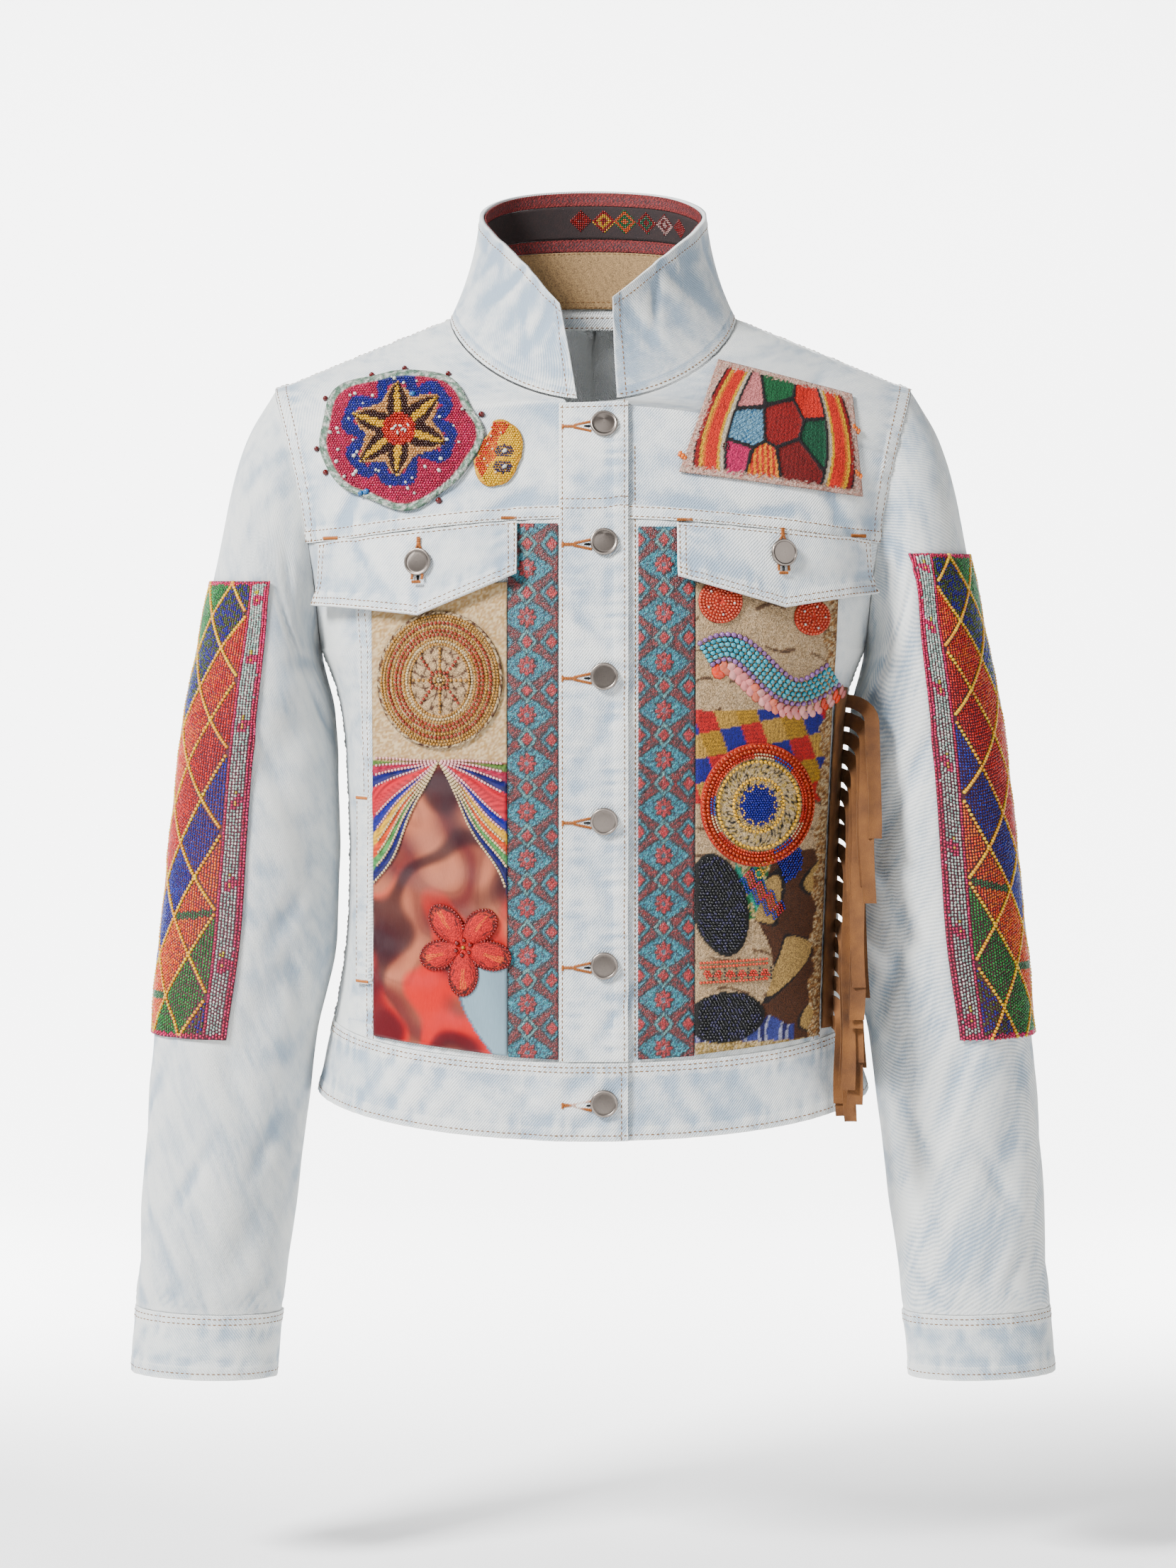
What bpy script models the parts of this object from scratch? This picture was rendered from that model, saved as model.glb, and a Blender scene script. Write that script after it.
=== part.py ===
"""A worn, cropped denim jacket with patches, woven braid, bead panels and a suede fringe.

Metres, +Z up, front towards -Y, viewer's left at -X. The origin is the middle of the neck, level
with the two points where the shoulder seams meet the collar. Tables and named sizes are in
millimetres, and MM turns them into metres when a mesh is made. Every cloth wall is worked out
from one body surface, one sleeve surface and one collar surface; what lies on a panel is made
from that panel's points, moved out.
"""
import math

import bmesh
import bpy
import numpy as np
from mathutils import Vector

MM = 0.001
FRONT, BACK = "front", "back"
LEFT, RIGHT = -1, 1
SIDES = ((LEFT, "left"), (RIGHT, "right"))

# Levels of the body surface, from the hem up.
HEM, BAND, ARMPIT, YOKE, NECK, SHOULDER = range(6)
LEVELS = (HEM, BAND, ARMPIT, YOKE, NECK, SHOULDER)

# Cloth and seam sizes.
SEAM_GAP = 0.3
DENIM = 1.6
BAND_DENIM = 2.4
LAY_CLEARANCE = 0.6
BAND_LIFT = 0.6
BAND_LAP_RUN = (22.0, 44.0)
SAMPLE = 0.004
FRONT_STEP = 1.5

# Neck, shoulder and centre lines.
NECK_HALF = 90.0
NECK_MID_Y = -3.0
NECK_FRONT_DROP = 55.0
NECK_FRONT_REACH = 84.0
NECK_BACK_REACH = 75.0
NECK_BACK_RISE = 6.0
SHOULDER_LINE = (0.925, 0.0, -0.38)
ROUNDNESS = 2.15
SIDE_SEAM_Y = 2.0

# Height of the centre line at each level up to the neck, front and back.
CENTRE_Z = {FRONT: (-506, -458, -205, -127, -55), BACK: (-489, -443, -198, -140, 6)}
SIDE_Z = (-486, -441, -207)

# Depth of the centre line from the middle of the body: height, front, back.
PROFILE = (
    (-506, 113, 109), (-458, 113, 104), (-400, 112, 97), (-340, 113, 94), (-280, 118, 97),
    (-230, 121, 105), (-180, 118.5, 111), (-127, 109.5, 112), (-85, 97.5, 107), (-55, 87, 99),
    (-20, 80, 86), (6, 76, 72),
)
# Half width of the body between its side seams: height, half_width.
WIDTHS = (
    (-486, 174), (-441, 164), (-395, 156.5), (-345, 154), (-297, 155), (-262, 157), (-243, 159.5),
    (-225, 164.5), (-207, 172),
)
# Armhole angle (0 at the shoulder point, 180 at the armpit) at the levels from the armpit up.
ARMHOLE_ANGLE = {FRONT: (180, 100.7, 62, 0), BACK: (180, 100.7, 52, 0)}
# Direction and reach of a level line where it meets the armhole, and its reach at the centre.
ARMHOLE_WAY = {
    FRONT: ((0, 1, 0), (0.5, 0.86, 0), (0.78, 0.55, -0.3), SHOULDER_LINE),
    BACK: ((0, -1, 0), (0.5, -0.86, 0), (0.8, -0.5, -0.33), SHOULDER_LINE),
}
ARMHOLE_REACH = (264, 170, 120, 119)
CENTRE_REACH = (370, 262, 190, 119)

# Soft folds pressed into the body: face, x, z, half_length, half_width, depth, lean in degrees.
BODY_FOLDS = (
    (FRONT, -150, -330, 26, 8, 2.6, 62), (FRONT, 151, -395, 22, 8, 2.4, -60),
    (FRONT, -150, -420, 22, 7, 2.2, 70), (BACK, -118, -300, 70, 13, 3.4, 14),
    (BACK, 112, -320, 76, 13, 3.6, -12), (BACK, -52, -372, 48, 12, 2.6, 4),
    (BACK, 60, -290, 52, 12, 2.4, -6), (BACK, -128, -178, 40, 11, 3.0, 52),
    (BACK, 126, -184, 42, 11, 3.0, -50),
)

# Sleeve sections from the armhole down, each a flat ellipse set by its outer and inner points.
SLEEVE_COLUMNS = ("outer_x", "outer_y", "outer_z", "inner_x", "inner_y", "inner_z",
                  "front", "back", "scoop")
SLEEVE_ROWS = (
    (200, -5, -45, 172, 2, -207, 52, 58, 7),
    (218, -4, -76, 171.5, 1, -215, 60, 64, 3),
    (228, -3, -108, 168.5, 0, -226, 63, 65, 0),
    (238, -3, -159, 164, -1, -243, 63, 64, 0),
    (249, -4, -212, 161.5, -2, -266, 62, 62, 0),
    (259, -6, -271, 160.5, -5, -298, 60, 59, 0),
    (265.5, -8, -330, 160.5, -8, -346, 58, 57, 0),
    (271, -11, -386, 162.5, -11, -396, 56, 55, 0),
    (277, -14, -446, 174, -14, -451, 54, 53, 0),
    (281.5, -17, -501, 181, -17, -506, 50, 49, 0),
    (285, -20, -557, 188, -20, -561, 45, 44, 0),
    (287.5, -22, -600, 193.5, -22, -603, 38, 37, 0),
    (288.5, -23, -621, 196.5, -23, -624, 33, 32, 0),
)
SLEEVE_WALL = 1.9
# Sleeve folds: section, angle, half_length in sections, half_width in degrees, depth, lean.
SLEEVE_FOLDS = (
    (4.2, 118, 1.0, 17, 4.2, 24), (5.6, 132, 0.8, 15, 3.6, -20), (7.6, 112, 0.8, 16, 3.6, 22),
    (9.3, 58, 0.8, 17, 3.0, -24), (10.3, 118, 0.7, 16, 3.4, 18), (3.4, -112, 1.1, 18, 4.0, -20),
    (6.4, -128, 0.9, 16, 3.6, 18), (9.8, -98, 0.9, 18, 3.4, -18), (1.7, 62, 0.7, 15, 2.6, 10),
)
# Cuff rings from the sleeve's end down.
CUFF_ROWS = (
    (289, -23, -621, 196, -23, -624, 32.8, 32, 0),
    (291, -24, -642, 198, -24, -645, 32, 31.5, 0),
    (292, -25, -662, 199.5, -25, -665, 31.5, 31, 0),
)
CUFF_WALL = 2.6

# Collar: angle round the neck from the front, rim_x, rim_y, rim_z for each half.
COLLAR_EDGE = {LEFT: 6.4, RIGHT: 9.6}
RIM_ROWS = {
    LEFT: ((6.4, 21.3, -79, 5.3), (45, 46, -52, 33), (90, 71.8, 6, 65.4), (135, 52, 56, 83),
           (180, 0, 76, 88.7), (225, -52, 56, 83)),
    RIGHT: ((9.6, 12.3, -80, 9.2), (45, 44, -54, 35), (90, 71.8, 6, 65.4), (135, 52, 56, 83),
            (180, 0, 76, 88.7), (225, -52, 56, 83)),
}
COLLAR_WALL = 2.6
COLLAR_WAIST = 3.2
COLLAR_RISE = 1.2
BAND_GAP = 0.9
COLLAR_STEPS = (0.0, 0.056, 0.28, 0.51, 0.611, 0.875, 0.985, 1.0)
# Slanted troughs in the standing collar: angle, height, half_angle, half_height, depth, lean.
COLLAR_FOLDS = {
    LEFT: ((40, 0.62, 9, 0.5, 4.2, 22), (62, 0.5, 8, 0.5, 3.6, 16), (112, 0.5, 12, 0.5, 2.0, 0)),
    RIGHT: ((42, 0.6, 9, 0.5, 4.2, 24), (66, 0.45, 8, 0.5, 3.4, 16), (118, 0.5, 12, 0.5, 2.0, 0)),
}
# Bands sewn inside the collar: name, lower step, upper step, first angle, depth inside the collar.
INNER_BANDS = (
    ("collar_tape_top", 5, 6, 12, 0.9), ("collar_bead_band", 4, 5, 60, 1.6),
    ("collar_tape_low", 3, 4, 60, 0.9), ("collar_canvas", 1, 3, 60, 0.8),
)

# Strip over the back neck seam: heights from the seam, and depth inside the collar's wall.
NECK_STRIP_DROP = (-9.0, -3.5, 1.4)
NECK_STRIP_INSIDE = 1.2
NECK_STRIP_WALL = 1.2
NECK_STRIP_FROM = 112.5

# Column lines of the body panels, at the band, yoke and shoulder levels.
SIDE_LINE = {FRONT: (140, 146, 160), BACK: (72, 100, 128)}
LAP_X = -15.0
LEFT_EDGE_X = -16.6
FRONT_COLUMNS = (8, 3)
BACK_COLUMNS = (4, 5)
BAND_ROWS = (0.0, 0.5, 1.0)
LOW_ROWS = (1.0, 1.12, 1.24, 1.36, 1.48, 1.6, 1.72, 1.82, 1.91, 2.0, 2.33, 2.67, 3.0)
YOKE_ROWS = (3.0, 3.33, 3.67, 4.0, 4.1, 4.25, 4.5, 4.75, 5.0)

# Placket and buttons.
PLACKET_X = (-20.7, 21.2)
PLACKET_LOW_Z = -457.5
PLACKET_TOP_Z = (-57, -56)
PLACKET_WALL = 2.0
BUTTON_X = 6.5
BUTTON_Z = (-70.5, -142, -222.5, -310, -398.5)
BAND_BUTTON_Z = -482.5
BUTTON_PROFILE = ((0.0, 0.0), (7.2, 0.0), (8.4, 1.3), (7.3, 3.0), (5.4, 2.3), (0.0, 2.1))
BUTTON_SIDES = 14

# Flaps: inner top x and z, outer top x and z, inner low z, point x and z, outer low z, button z.
FLAP_COLUMNS = ("inner_x", "inner_z", "outer_x", "outer_z", "inner_low", "point_x", "point_z",
                "outer_low", "button_x", "button_z")
FLAP_ROWS = {
    LEFT: (-46, -129.5, -166, -141, -160.5, -104, -185.5, -177.5, -104.5, -154),
    RIGHT: (50.5, -130.5, 168, -139.5, -162, 113.5, -180.5, -170, 113.5, -148.5),
}
FLAP_STEPS = (0.0, 0.5, 0.78, 1.0)
FLAP_SEAT = 2.6
FLAP_LIFT = 3.6
FLAP_KICK = 4.6
FLAP_FLAT = 0.5
FLAP_WALL = 2.0

# Rectangular trims: low-left, low-right, top-right, top-left corners in x and z, columns, rows,
# lift and thickness.
TRIMS = (
    ("braid_left", ((-51.5, -454.5), (-21.5, -456), (-21.5, -130.5), (-51.5, -130.5)), 2, 15, 0.7, 1.5),
    ("braid_right", ((27.2, -456), (61.2, -454), (61.2, -132.5), (27.2, -132.5)), 2, 15, 0.7, 1.5),
    ("collage_left", ((-134, -445), (-52.1, -454), (-52.1, -166), (-134, -168)), 7, 15, 1.3, 1.2),
    ("collage_right", ((61.8, -453.5), (137.5, -445), (149, -166), (61.8, -166)), 7, 15, 1.4, 1.2),
    ("chest_geometric_patch", ((52, -99), (165, -113), (160, -50), (77, -29)), 9, 6, 1.2, 1.9),
    ("satin_corner", ((-98, -449.5), (-54, -453), (-54, -419), (-84, -419)), 3, 3, 3.1, 0.9),
    ("corded_fan", ((-131, -342), (-56, -322), (-55, -272), (-131, -268)), 6, 4, 3.1, 1.8),
    ("check_patch", ((63, -330), (73, -330), (73, -262), (63, -262)), 1, 4, 3.1, 1.2),
    ("bead_bands", ((66, -418), (112, -418), (116, -392), (66, -396)), 4, 2, 3.1, 2.2),
)
# Welt of the left hand pocket: its four corners, which lean as the pocket does.
WELT = ((-145, -414), (-137, -414), (-135.5, -297), (-144, -297))
WELT_LIFT = 0.8
WELT_WALL = 2.4

# Round appliques: name, x, z, radius_x, radius_z, lobes, lobe depth, turn, lift, edge and crown
# thickness. The outline is an ellipse whose radius swells and shrinks with the lobes.
ROUND_PATCHES = (
    ("chest_flower_patch", -119, -78, 45, 41, 7, 0.04, 20, 1.2, 1.6, 3.4),
    ("chest_wing_patch", -57.5, -87.5, 12, 18, 5, 0.1, 40, 0.8, 1.4, 2.2),
    ("paisley_medallion", -92, -226, 35, 38, 2, 0.06, 30, 3.1, 1.4, 3.0),
    ("flower_applique", -78, -388, 24, 24, 5, 0.22, 18, 3.1, 1.4, 4.0),
    ("bead_disc_inner", 76.5, -177.5, 13.5, 13, 3, 0.0, 0, 3.1, 1.6, 3.2),
    ("bead_disc_outer", 134, -186, 11, 11.5, 3, 0.0, 0, 3.1, 1.6, 3.2),
    ("arch_medallion", 102, -308, 26, 30, 8, 0.05, 0, 3.1, 1.4, 3.2),
    ("petal_ruffle", 116, -256, 20, 11, 5, 0.14, 10, 3.1, 1.6, 3.2),
    ("dark_bead_leaf_high", 82, -365, 14, 16, 2, 0.2, 55, 3.1, 1.6, 3.6),
    ("dark_bead_leaf_low", 92, -435, 16, 10, 2, 0.16, 80, 3.1, 1.6, 3.4),
)
PATCH_STEPS = (0.34, 0.68, 1.0)

# Bead panels round the outside of the sleeves: section at the top and bottom, angles, lift, wall.
BEAD_PANEL_Z = {LEFT: (-165.0, -449.0), RIGHT: (-148.0, -449.0)}
BEAD_PANEL_ROWS = 7
BEAD_PANEL_ANGLES = (-13, 87.8)
BEAD_PANEL_LIFT = 1.3
BEAD_PANEL_WALL = 1.7

# Suede fringe: the root strip's two ends in x and z, its width, and the strips. They hang in front
# of a curtain line, given as its y at the root strip's low end and its slope.
FRINGE_STRIP = ((146.5, -441.0), (156.0, -230.0))
FRINGE_STRIP_WIDTH = 6.5
FRINGE_STRIP_WALL = 1.6
FRINGE_LIFT = 1.2
FRINGE_WIDTH = 9.6
FRINGE_THICKNESS = 1.0
FRINGE_TURN = 12.0
FRINGE_CURTAIN = (-76.0, 0.075)
FRINGE_SPLAY = 0.125
FRINGE_BENDS = 4
FRINGE_HANGS = 2
# Each strip from the top down: how far it reaches sideways, its hanging length, and its lean in
# hundredths of its drop.
FRINGE_ROWS = (
    (15, 72, 1), (12, 100, 0), (10, 78, 2), (8, 128, -1), (7, 136, 0), (5, 96, 2), (7, 118, 1),
    (9, 88, 3), (5, 132, -2), (8, 104, 2), (7, 118, 1), (9, 84, 3), (5, 82, -1), (8, 76, 2),
    (7, 82, 1), (9, 44, 4), (5, 48, -2), (6, 44, 0),
)


# Colour, roughness and metallic value of each material.
FINISHES = {
    "denim": ((0.62, 0.66, 0.70), 0.9, 0.0),
    "denim_inside": ((0.70, 0.72, 0.72), 0.95, 0.0),
    "button_metal": ((0.36, 0.32, 0.29), 0.38, 1.0),
    "braid": ((0.05, 0.20, 0.22), 0.85, 0.0),
    "collage": ((0.60, 0.42, 0.28), 0.85, 0.0),
    "beads": ((0.60, 0.05, 0.12), 0.35, 0.0),
    "sleeve_beads": ((0.75, 0.30, 0.45), 0.4, 0.0),
    "suede": ((0.42, 0.20, 0.06), 0.95, 0.0),
    "satin": ((0.55, 0.45, 0.62), 0.35, 0.0),
    "tape": ((0.42, 0.20, 0.18), 0.9, 0.0),
    "canvas": ((0.66, 0.58, 0.45), 0.95, 0.0),
}


def through(x, knots, values):
    """Smooth curve through the knots: a cubic between each two, sloped as their neighbours are."""
    knots = np.asarray(knots, float)
    values = np.asarray(values, float)
    x = np.clip(np.asarray(x, float), knots[0], knots[-1])
    slope = np.gradient(values, knots)
    i = np.clip(np.searchsorted(knots, x, side="right") - 1, 0, len(knots) - 2)
    step = knots[i + 1] - knots[i]
    t = (x - knots[i]) / step
    return (values[i] * (1 + 2 * t) * (1 - t) ** 2 + values[i + 1] * t * t * (3 - 2 * t)
            + step * (slope[i] * t * (1 - t) ** 2 + slope[i + 1] * t * t * (t - 1)))


def stack(x, y, z):
    """Points from three arrays of one shape."""
    return np.stack(np.broadcast_arrays(x, y, z), axis=-1)


def unit(v):
    """Vectors of length 1."""
    return v / np.maximum(np.linalg.norm(v, axis=-1, keepdims=True), 1e-9)


def hermite(p0, m0, p1, m1, u):
    """Cubic from p0 to p1 that leaves along m0 and arrives along m1."""
    u = u[..., None]
    return (p0 * (1 + 2 * u) * (1 - u) ** 2 + p1 * u * u * (3 - 2 * u)
            + m0 * u * (1 - u) ** 2 + m1 * u * u * (u - 1))


def neck_loop(angle):
    """The neck seam, by its angle in degrees from the front, on the +X side."""
    a = np.radians(angle)
    c = np.cos(a)
    y = NECK_MID_Y - np.where(c > 0, NECK_FRONT_REACH, NECK_BACK_REACH) * c
    z = np.where(c > 0, -NECK_FRONT_DROP * np.maximum(c, 0) ** 1.3, NECK_BACK_RISE * c * c)
    return stack(NECK_HALF * np.sin(a), y, z)


def section(rows, s, angle):
    """Point of a tube on the +X side, by its section number and angle; 0 is the outer side.

    Each section is an ellipse about the middle of its outer and inner points, deeper to the front
    or back as its row says, and scooped towards the body between them.
    """
    row = dict(zip(SLEEVE_COLUMNS, np.asarray(rows, float).T))
    knots = np.arange(len(rows))
    at = {name: through(s, knots, column) for name, column in row.items()}
    a = np.radians(angle)
    c, sn = np.cos(a), np.sin(a)
    x = (at["outer_x"] + at["inner_x"]) / 2 + (at["outer_x"] - at["inner_x"]) / 2 * c
    y = (at["outer_y"] + at["inner_y"]) / 2 + (at["outer_y"] - at["inner_y"]) / 2 * c
    z = (at["outer_z"] + at["inner_z"]) / 2 + (at["outer_z"] - at["inner_z"]) / 2 * c
    depth = np.where(sn > 0, at["front"], at["back"])
    return stack(x - at["scoop"] * sn * sn, y - depth * sn, z)


def armhole(face, v):
    """Where a level line meets the armhole."""
    angle = np.interp(v, LEVELS[ARMPIT:], ARMHOLE_ANGLE[face])
    sign = 1 if face == FRONT else -1
    return section(SLEEVE_ROWS, np.zeros_like(v), sign * angle)


def level_line(face, v):
    """Both ends of the level lines, and the directions in which they leave and arrive."""
    way = -1 if face == FRONT else 1
    heights, front, back = np.asarray(PROFILE, float).T
    centre_z = np.interp(v, LEVELS[:NECK + 1], CENTRE_Z[face])
    depth = through(centre_z, heights, front if face == FRONT else back)
    turn = np.clip(v - NECK, 0, 1)
    neck = neck_loop(90 * turn if face == FRONT else 180 - 90 * turn)
    above = (v > NECK)[..., None]
    start = np.where(above, neck, stack(0 * v, way * depth, centre_z))

    side_z = np.interp(v, LEVELS[:ARMPIT + 1], SIDE_Z)
    width_z, widths = np.asarray(WIDTHS, float).T
    width = through(side_z, width_z, widths)
    low = (v <= ARMPIT)[..., None]
    end = np.where(low, stack(width, SIDE_SEAM_Y + 0 * v, side_z), armhole(face, v))

    upper = LEVELS[ARMPIT:]
    arrive = np.stack([np.interp(v, upper, column) for column in zip(*ARMHOLE_WAY[face])], axis=-1)
    reach = np.interp(v, upper, ARMHOLE_REACH)[..., None]
    side_reach = (ROUNDNESS * (depth - way * SIDE_SEAM_Y))[..., None]
    arrive = np.where(low, stack(0 * v, -way + 0 * v, 0 * v) * side_reach, unit(arrive) * reach)

    lead = np.array((1.0, 0.0, 0.0)) * (1 - turn[..., None]) + np.array(SHOULDER_LINE) * turn[..., None]
    centre_reach = np.interp(v, upper, CENTRE_REACH)[..., None]
    leave = unit(lead) * np.where(low, ROUNDNESS * width[..., None], centre_reach)
    return start, leave, end, arrive


def fold_depth(face, x, z):
    """How far the folds press the body in at a place, each a soft oval trough."""
    depth = 0 * x
    for where, fold_x, fold_z, length, width, deep, lean in BODY_FOLDS:
        if where != face:
            continue
        c, sn = math.cos(math.radians(lean)), math.sin(math.radians(lean))
        along = (z - fold_z) * c + (x - fold_x) * sn
        across = (x - fold_x) * c - (z - fold_z) * sn
        depth = depth + deep * np.exp(-(along / length) ** 2 - (across / width) ** 2)
    return depth


def body(face, side, u, v):
    """Point of the body surface: u runs from the centre to the side, v is the level.

    A level line is one cubic from the centre or neckline to the side seam or armhole. A negative
    u goes on past the centre line. The folds press it in towards the middle of the body.
    """
    u, v = np.broadcast_arrays(np.asarray(u, float), np.asarray(v, float))
    start, leave, end, arrive = level_line(face, v)
    p = hermite(start, leave, end, arrive, np.abs(u))
    x = side * np.where(u < 0, -1, 1) * p[..., 0]
    inward = 1 if face == FRONT else -1
    fade = np.clip((1 - np.abs(u)) * 6, 0, 1)
    y = p[..., 1] + inward * fade * fold_depth(face, x, p[..., 2])
    return stack(x, y, p[..., 2])


def body_normal(face, side, u, v):
    """Outward direction of the body surface, from short steps along its two parameters."""
    u, v = np.broadcast_arrays(np.asarray(u, float), np.asarray(v, float))
    du = np.where(u > 0.5, -SAMPLE, SAMPLE)
    dv = np.where(v - np.floor(v) > 0.5, -SAMPLE, SAMPLE)
    dv = np.where(v >= SHOULDER, -SAMPLE, dv)
    here = body(face, side, u, v)
    across = (body(face, side, u + du, v) - here) / du[..., None]
    up = (body(face, side, u, v + dv) - here) / dv[..., None]
    outward = side * (1 if face == FRONT else -1)
    return unit(np.cross(across, up)) * outward


def u_at(face, x, v):
    """The parameter u at which each level line reaches the distance x from the centre."""
    v = np.asarray(v, float)
    x = np.broadcast_to(x, v.shape)
    fine = np.linspace(0, 1, 81)
    start, leave, end, arrive = level_line(face, v)
    reach = hermite(start[:, None], leave[:, None], end[:, None], arrive[:, None],
                    np.broadcast_to(fine, (len(v), 81)))[..., 0]
    return np.array([np.interp(goal, line, fine) for goal, line in zip(x, reach)])


def side_line(face, v):
    """The parameter u of the seam between the centre panel and the side panel."""
    return u_at(face, np.interp(v, (BAND, YOKE, SHOULDER), SIDE_LINE[face]), v)


def columns(*runs):
    """Column positions along each row, from (first line, last line, number of steps) runs."""
    parts = []
    for first, last, count in runs:
        share = np.linspace(0, 1, count + 1)[1 if parts else 0:]
        parts.append(first[:, None] + (last - first)[:, None] * share)
    return np.concatenate(parts, axis=1)


def front_lookup():
    """Heights of fixed-x lines on the front surface, for pieces placed by x and z."""
    v = np.linspace(HEM, SHOULDER, 201)
    u = np.linspace(0, 1, 81)
    return body(FRONT, RIGHT, u[None, :], v[:, None]), body(FRONT, LEFT, u[None, :], v[:, None])


def on_front(lookup, x, z):
    """Point of the front surface at the given x and z, as seen from the front."""
    x, z = np.broadcast_arrays(np.asarray(x, float), np.asarray(z, float))
    y = np.empty(x.shape)
    for index in np.ndindex(x.shape):
        lines = lookup[0] if x[index] >= 0 else lookup[1]
        goal = abs(x[index])
        reach = np.abs(lines[..., 0])
        rows = np.flatnonzero((reach[:, 0] <= goal + 1e-6) & (reach[:, -1] >= goal))
        k = np.clip((reach[rows] < goal).sum(axis=1), 1, reach.shape[1] - 1)
        near, far = reach[rows, k - 1], reach[rows, k]
        t = (goal - near) / (far - near)
        line = lines[rows, k - 1] * (1 - t)[:, None] + lines[rows, k] * t[:, None]
        y[index] = np.interp(z[index], line[:, 2], line[:, 1])
    return stack(x, y, z)


def front_patch(lookup, x, z, lift):
    """Points over the front surface, moved out by lift along its outward direction."""
    step = FRONT_STEP
    here = on_front(lookup, x, z)
    across = on_front(lookup, x + step, z) - on_front(lookup, x - step, z)
    up = on_front(lookup, x, z + step) - on_front(lookup, x, z - step)
    normal = unit(np.cross(across, up))
    return here + normal * np.asarray(lift, float)[..., None]


def sleeve(side, s, angle, rows=SLEEVE_ROWS, shrink=0.0):
    """Point of a sleeve or cuff; shrink draws a section in towards its middle."""
    s, angle = np.broadcast_arrays(np.asarray(s, float), np.asarray(angle, float))
    p = section(rows, s, angle)
    middle = (section(rows, s, 0 * angle) + section(rows, s, 180 + 0 * angle)) / 2
    fold = 0 * s
    if rows is SLEEVE_ROWS:
        for at, turn, length, width, depth, lean in SLEEVE_FOLDS:
            off = (angle - turn + lean * (s - at) + 180) % 360 - 180
            fold = fold + depth * np.exp(-((s - at) / length) ** 2 - (off / width) ** 2)
        fold = fold * np.clip(s, 0, 1) * np.clip(len(rows) - 1 - s, 0, 1)
    inward = unit(middle - p)
    p = p + inward * (fold + shrink)[..., None]
    return p * np.array((side, 1, 1))


def collar(side, angle, h, inside=0.0):
    """Point of the standing collar: angle round the neck, h from the neck seam to the rim."""
    angle, h = np.broadcast_arrays(np.asarray(angle, float), np.asarray(h, float))
    knots, rim_x, rim_y, rim_z = np.asarray(RIM_ROWS[side], float).T
    base = neck_loop(angle) + np.array((0, 0, COLLAR_RISE))
    rim = stack(through(angle, knots, rim_x), through(angle, knots, rim_y), through(angle, knots, rim_z))
    p = base + (rim - base) * h[..., None]
    centre = np.array((0, NECK_MID_Y, 0))
    inward = (centre - p) * np.array((1, 1, 0))
    inward = unit(inward)
    fold = COLLAR_WAIST * 4 * h * (1 - h)
    for turn, at, wide, tall, depth, lean in COLLAR_FOLDS[side]:
        off = angle - turn + lean * (h - at)
        fold = fold + depth * h * np.exp(-(off / wide) ** 2 - ((h - at) / tall) ** 2)
    p = p + inward * (fold + inside)[..., None]
    return p * np.array((side, 1, 1))


def material(name):
    """Principled material of one finish."""
    found = bpy.data.materials.get(name)
    if found:
        return found
    colour, roughness, metallic = FINISHES[name]
    made = bpy.data.materials.new(name)
    made.use_nodes = True
    shader = made.node_tree.nodes["Principled BSDF"]
    shader.inputs["Base Color"].default_value = (*colour, 1.0)
    shader.inputs["Roughness"].default_value = roughness
    shader.inputs["Metallic"].default_value = metallic
    return made


def add_object(name, points, faces, finish, smooth=True):
    """Object at the origin from points in millimetres, its faces turned outwards."""
    mesh = bpy.data.meshes.new(name)
    mesh.from_pydata([tuple(p) for p in np.asarray(points) * MM], [], faces)
    work = bmesh.new()
    work.from_mesh(mesh)
    bmesh.ops.recalc_face_normals(work, faces=work.faces)
    work.to_mesh(mesh)
    work.free()
    if smooth:
        mesh.shade_smooth()
        mesh.set_sharp_from_angle(angle=math.radians(40))
    made = bpy.data.objects.new(name, mesh)
    bpy.context.scene.collection.objects.link(made)
    mesh.materials.append(material(finish))
    return made


def inset(points, gap=SEAM_GAP / 2):
    """Draw the four edges of a grid in by half a seam gap."""
    p = points.copy()
    p[0] += unit(points[1] - points[0]) * gap
    p[-1] += unit(points[-2] - points[-1]) * gap
    p[:, 0] += unit(p[:, 1] - p[:, 0]) * gap
    p[:, -1] += unit(p[:, -2] - p[:, -1]) * gap
    return p


def grid_solid(name, outer, inner, finish):
    """Closed wall between two grids of points that share their layout."""
    rows, cols = outer.shape[:2]
    points = np.concatenate((outer.reshape(-1, 3), inner.reshape(-1, 3)))
    size = rows * cols

    def at(r, c, layer):
        return layer * size + r * cols + c

    faces = []
    for r in range(rows - 1):
        for c in range(cols - 1):
            quad = ((r, c), (r, c + 1), (r + 1, c + 1), (r + 1, c))
            faces.append([at(i, j, 0) for i, j in quad])
            faces.append([at(i, j, 1) for i, j in reversed(quad)])
    rim = ([(0, c) for c in range(cols)] + [(r, cols - 1) for r in range(1, rows)]
           + [(rows - 1, c) for c in range(cols - 2, -1, -1)] + [(r, 0) for r in range(rows - 2, 0, -1)])
    for a, b in zip(rim, rim[1:] + rim[:1]):
        faces.append([at(*b, 0), at(*a, 0), at(*a, 1), at(*b, 1)])
    return add_object(name, points, faces, finish)


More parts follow.
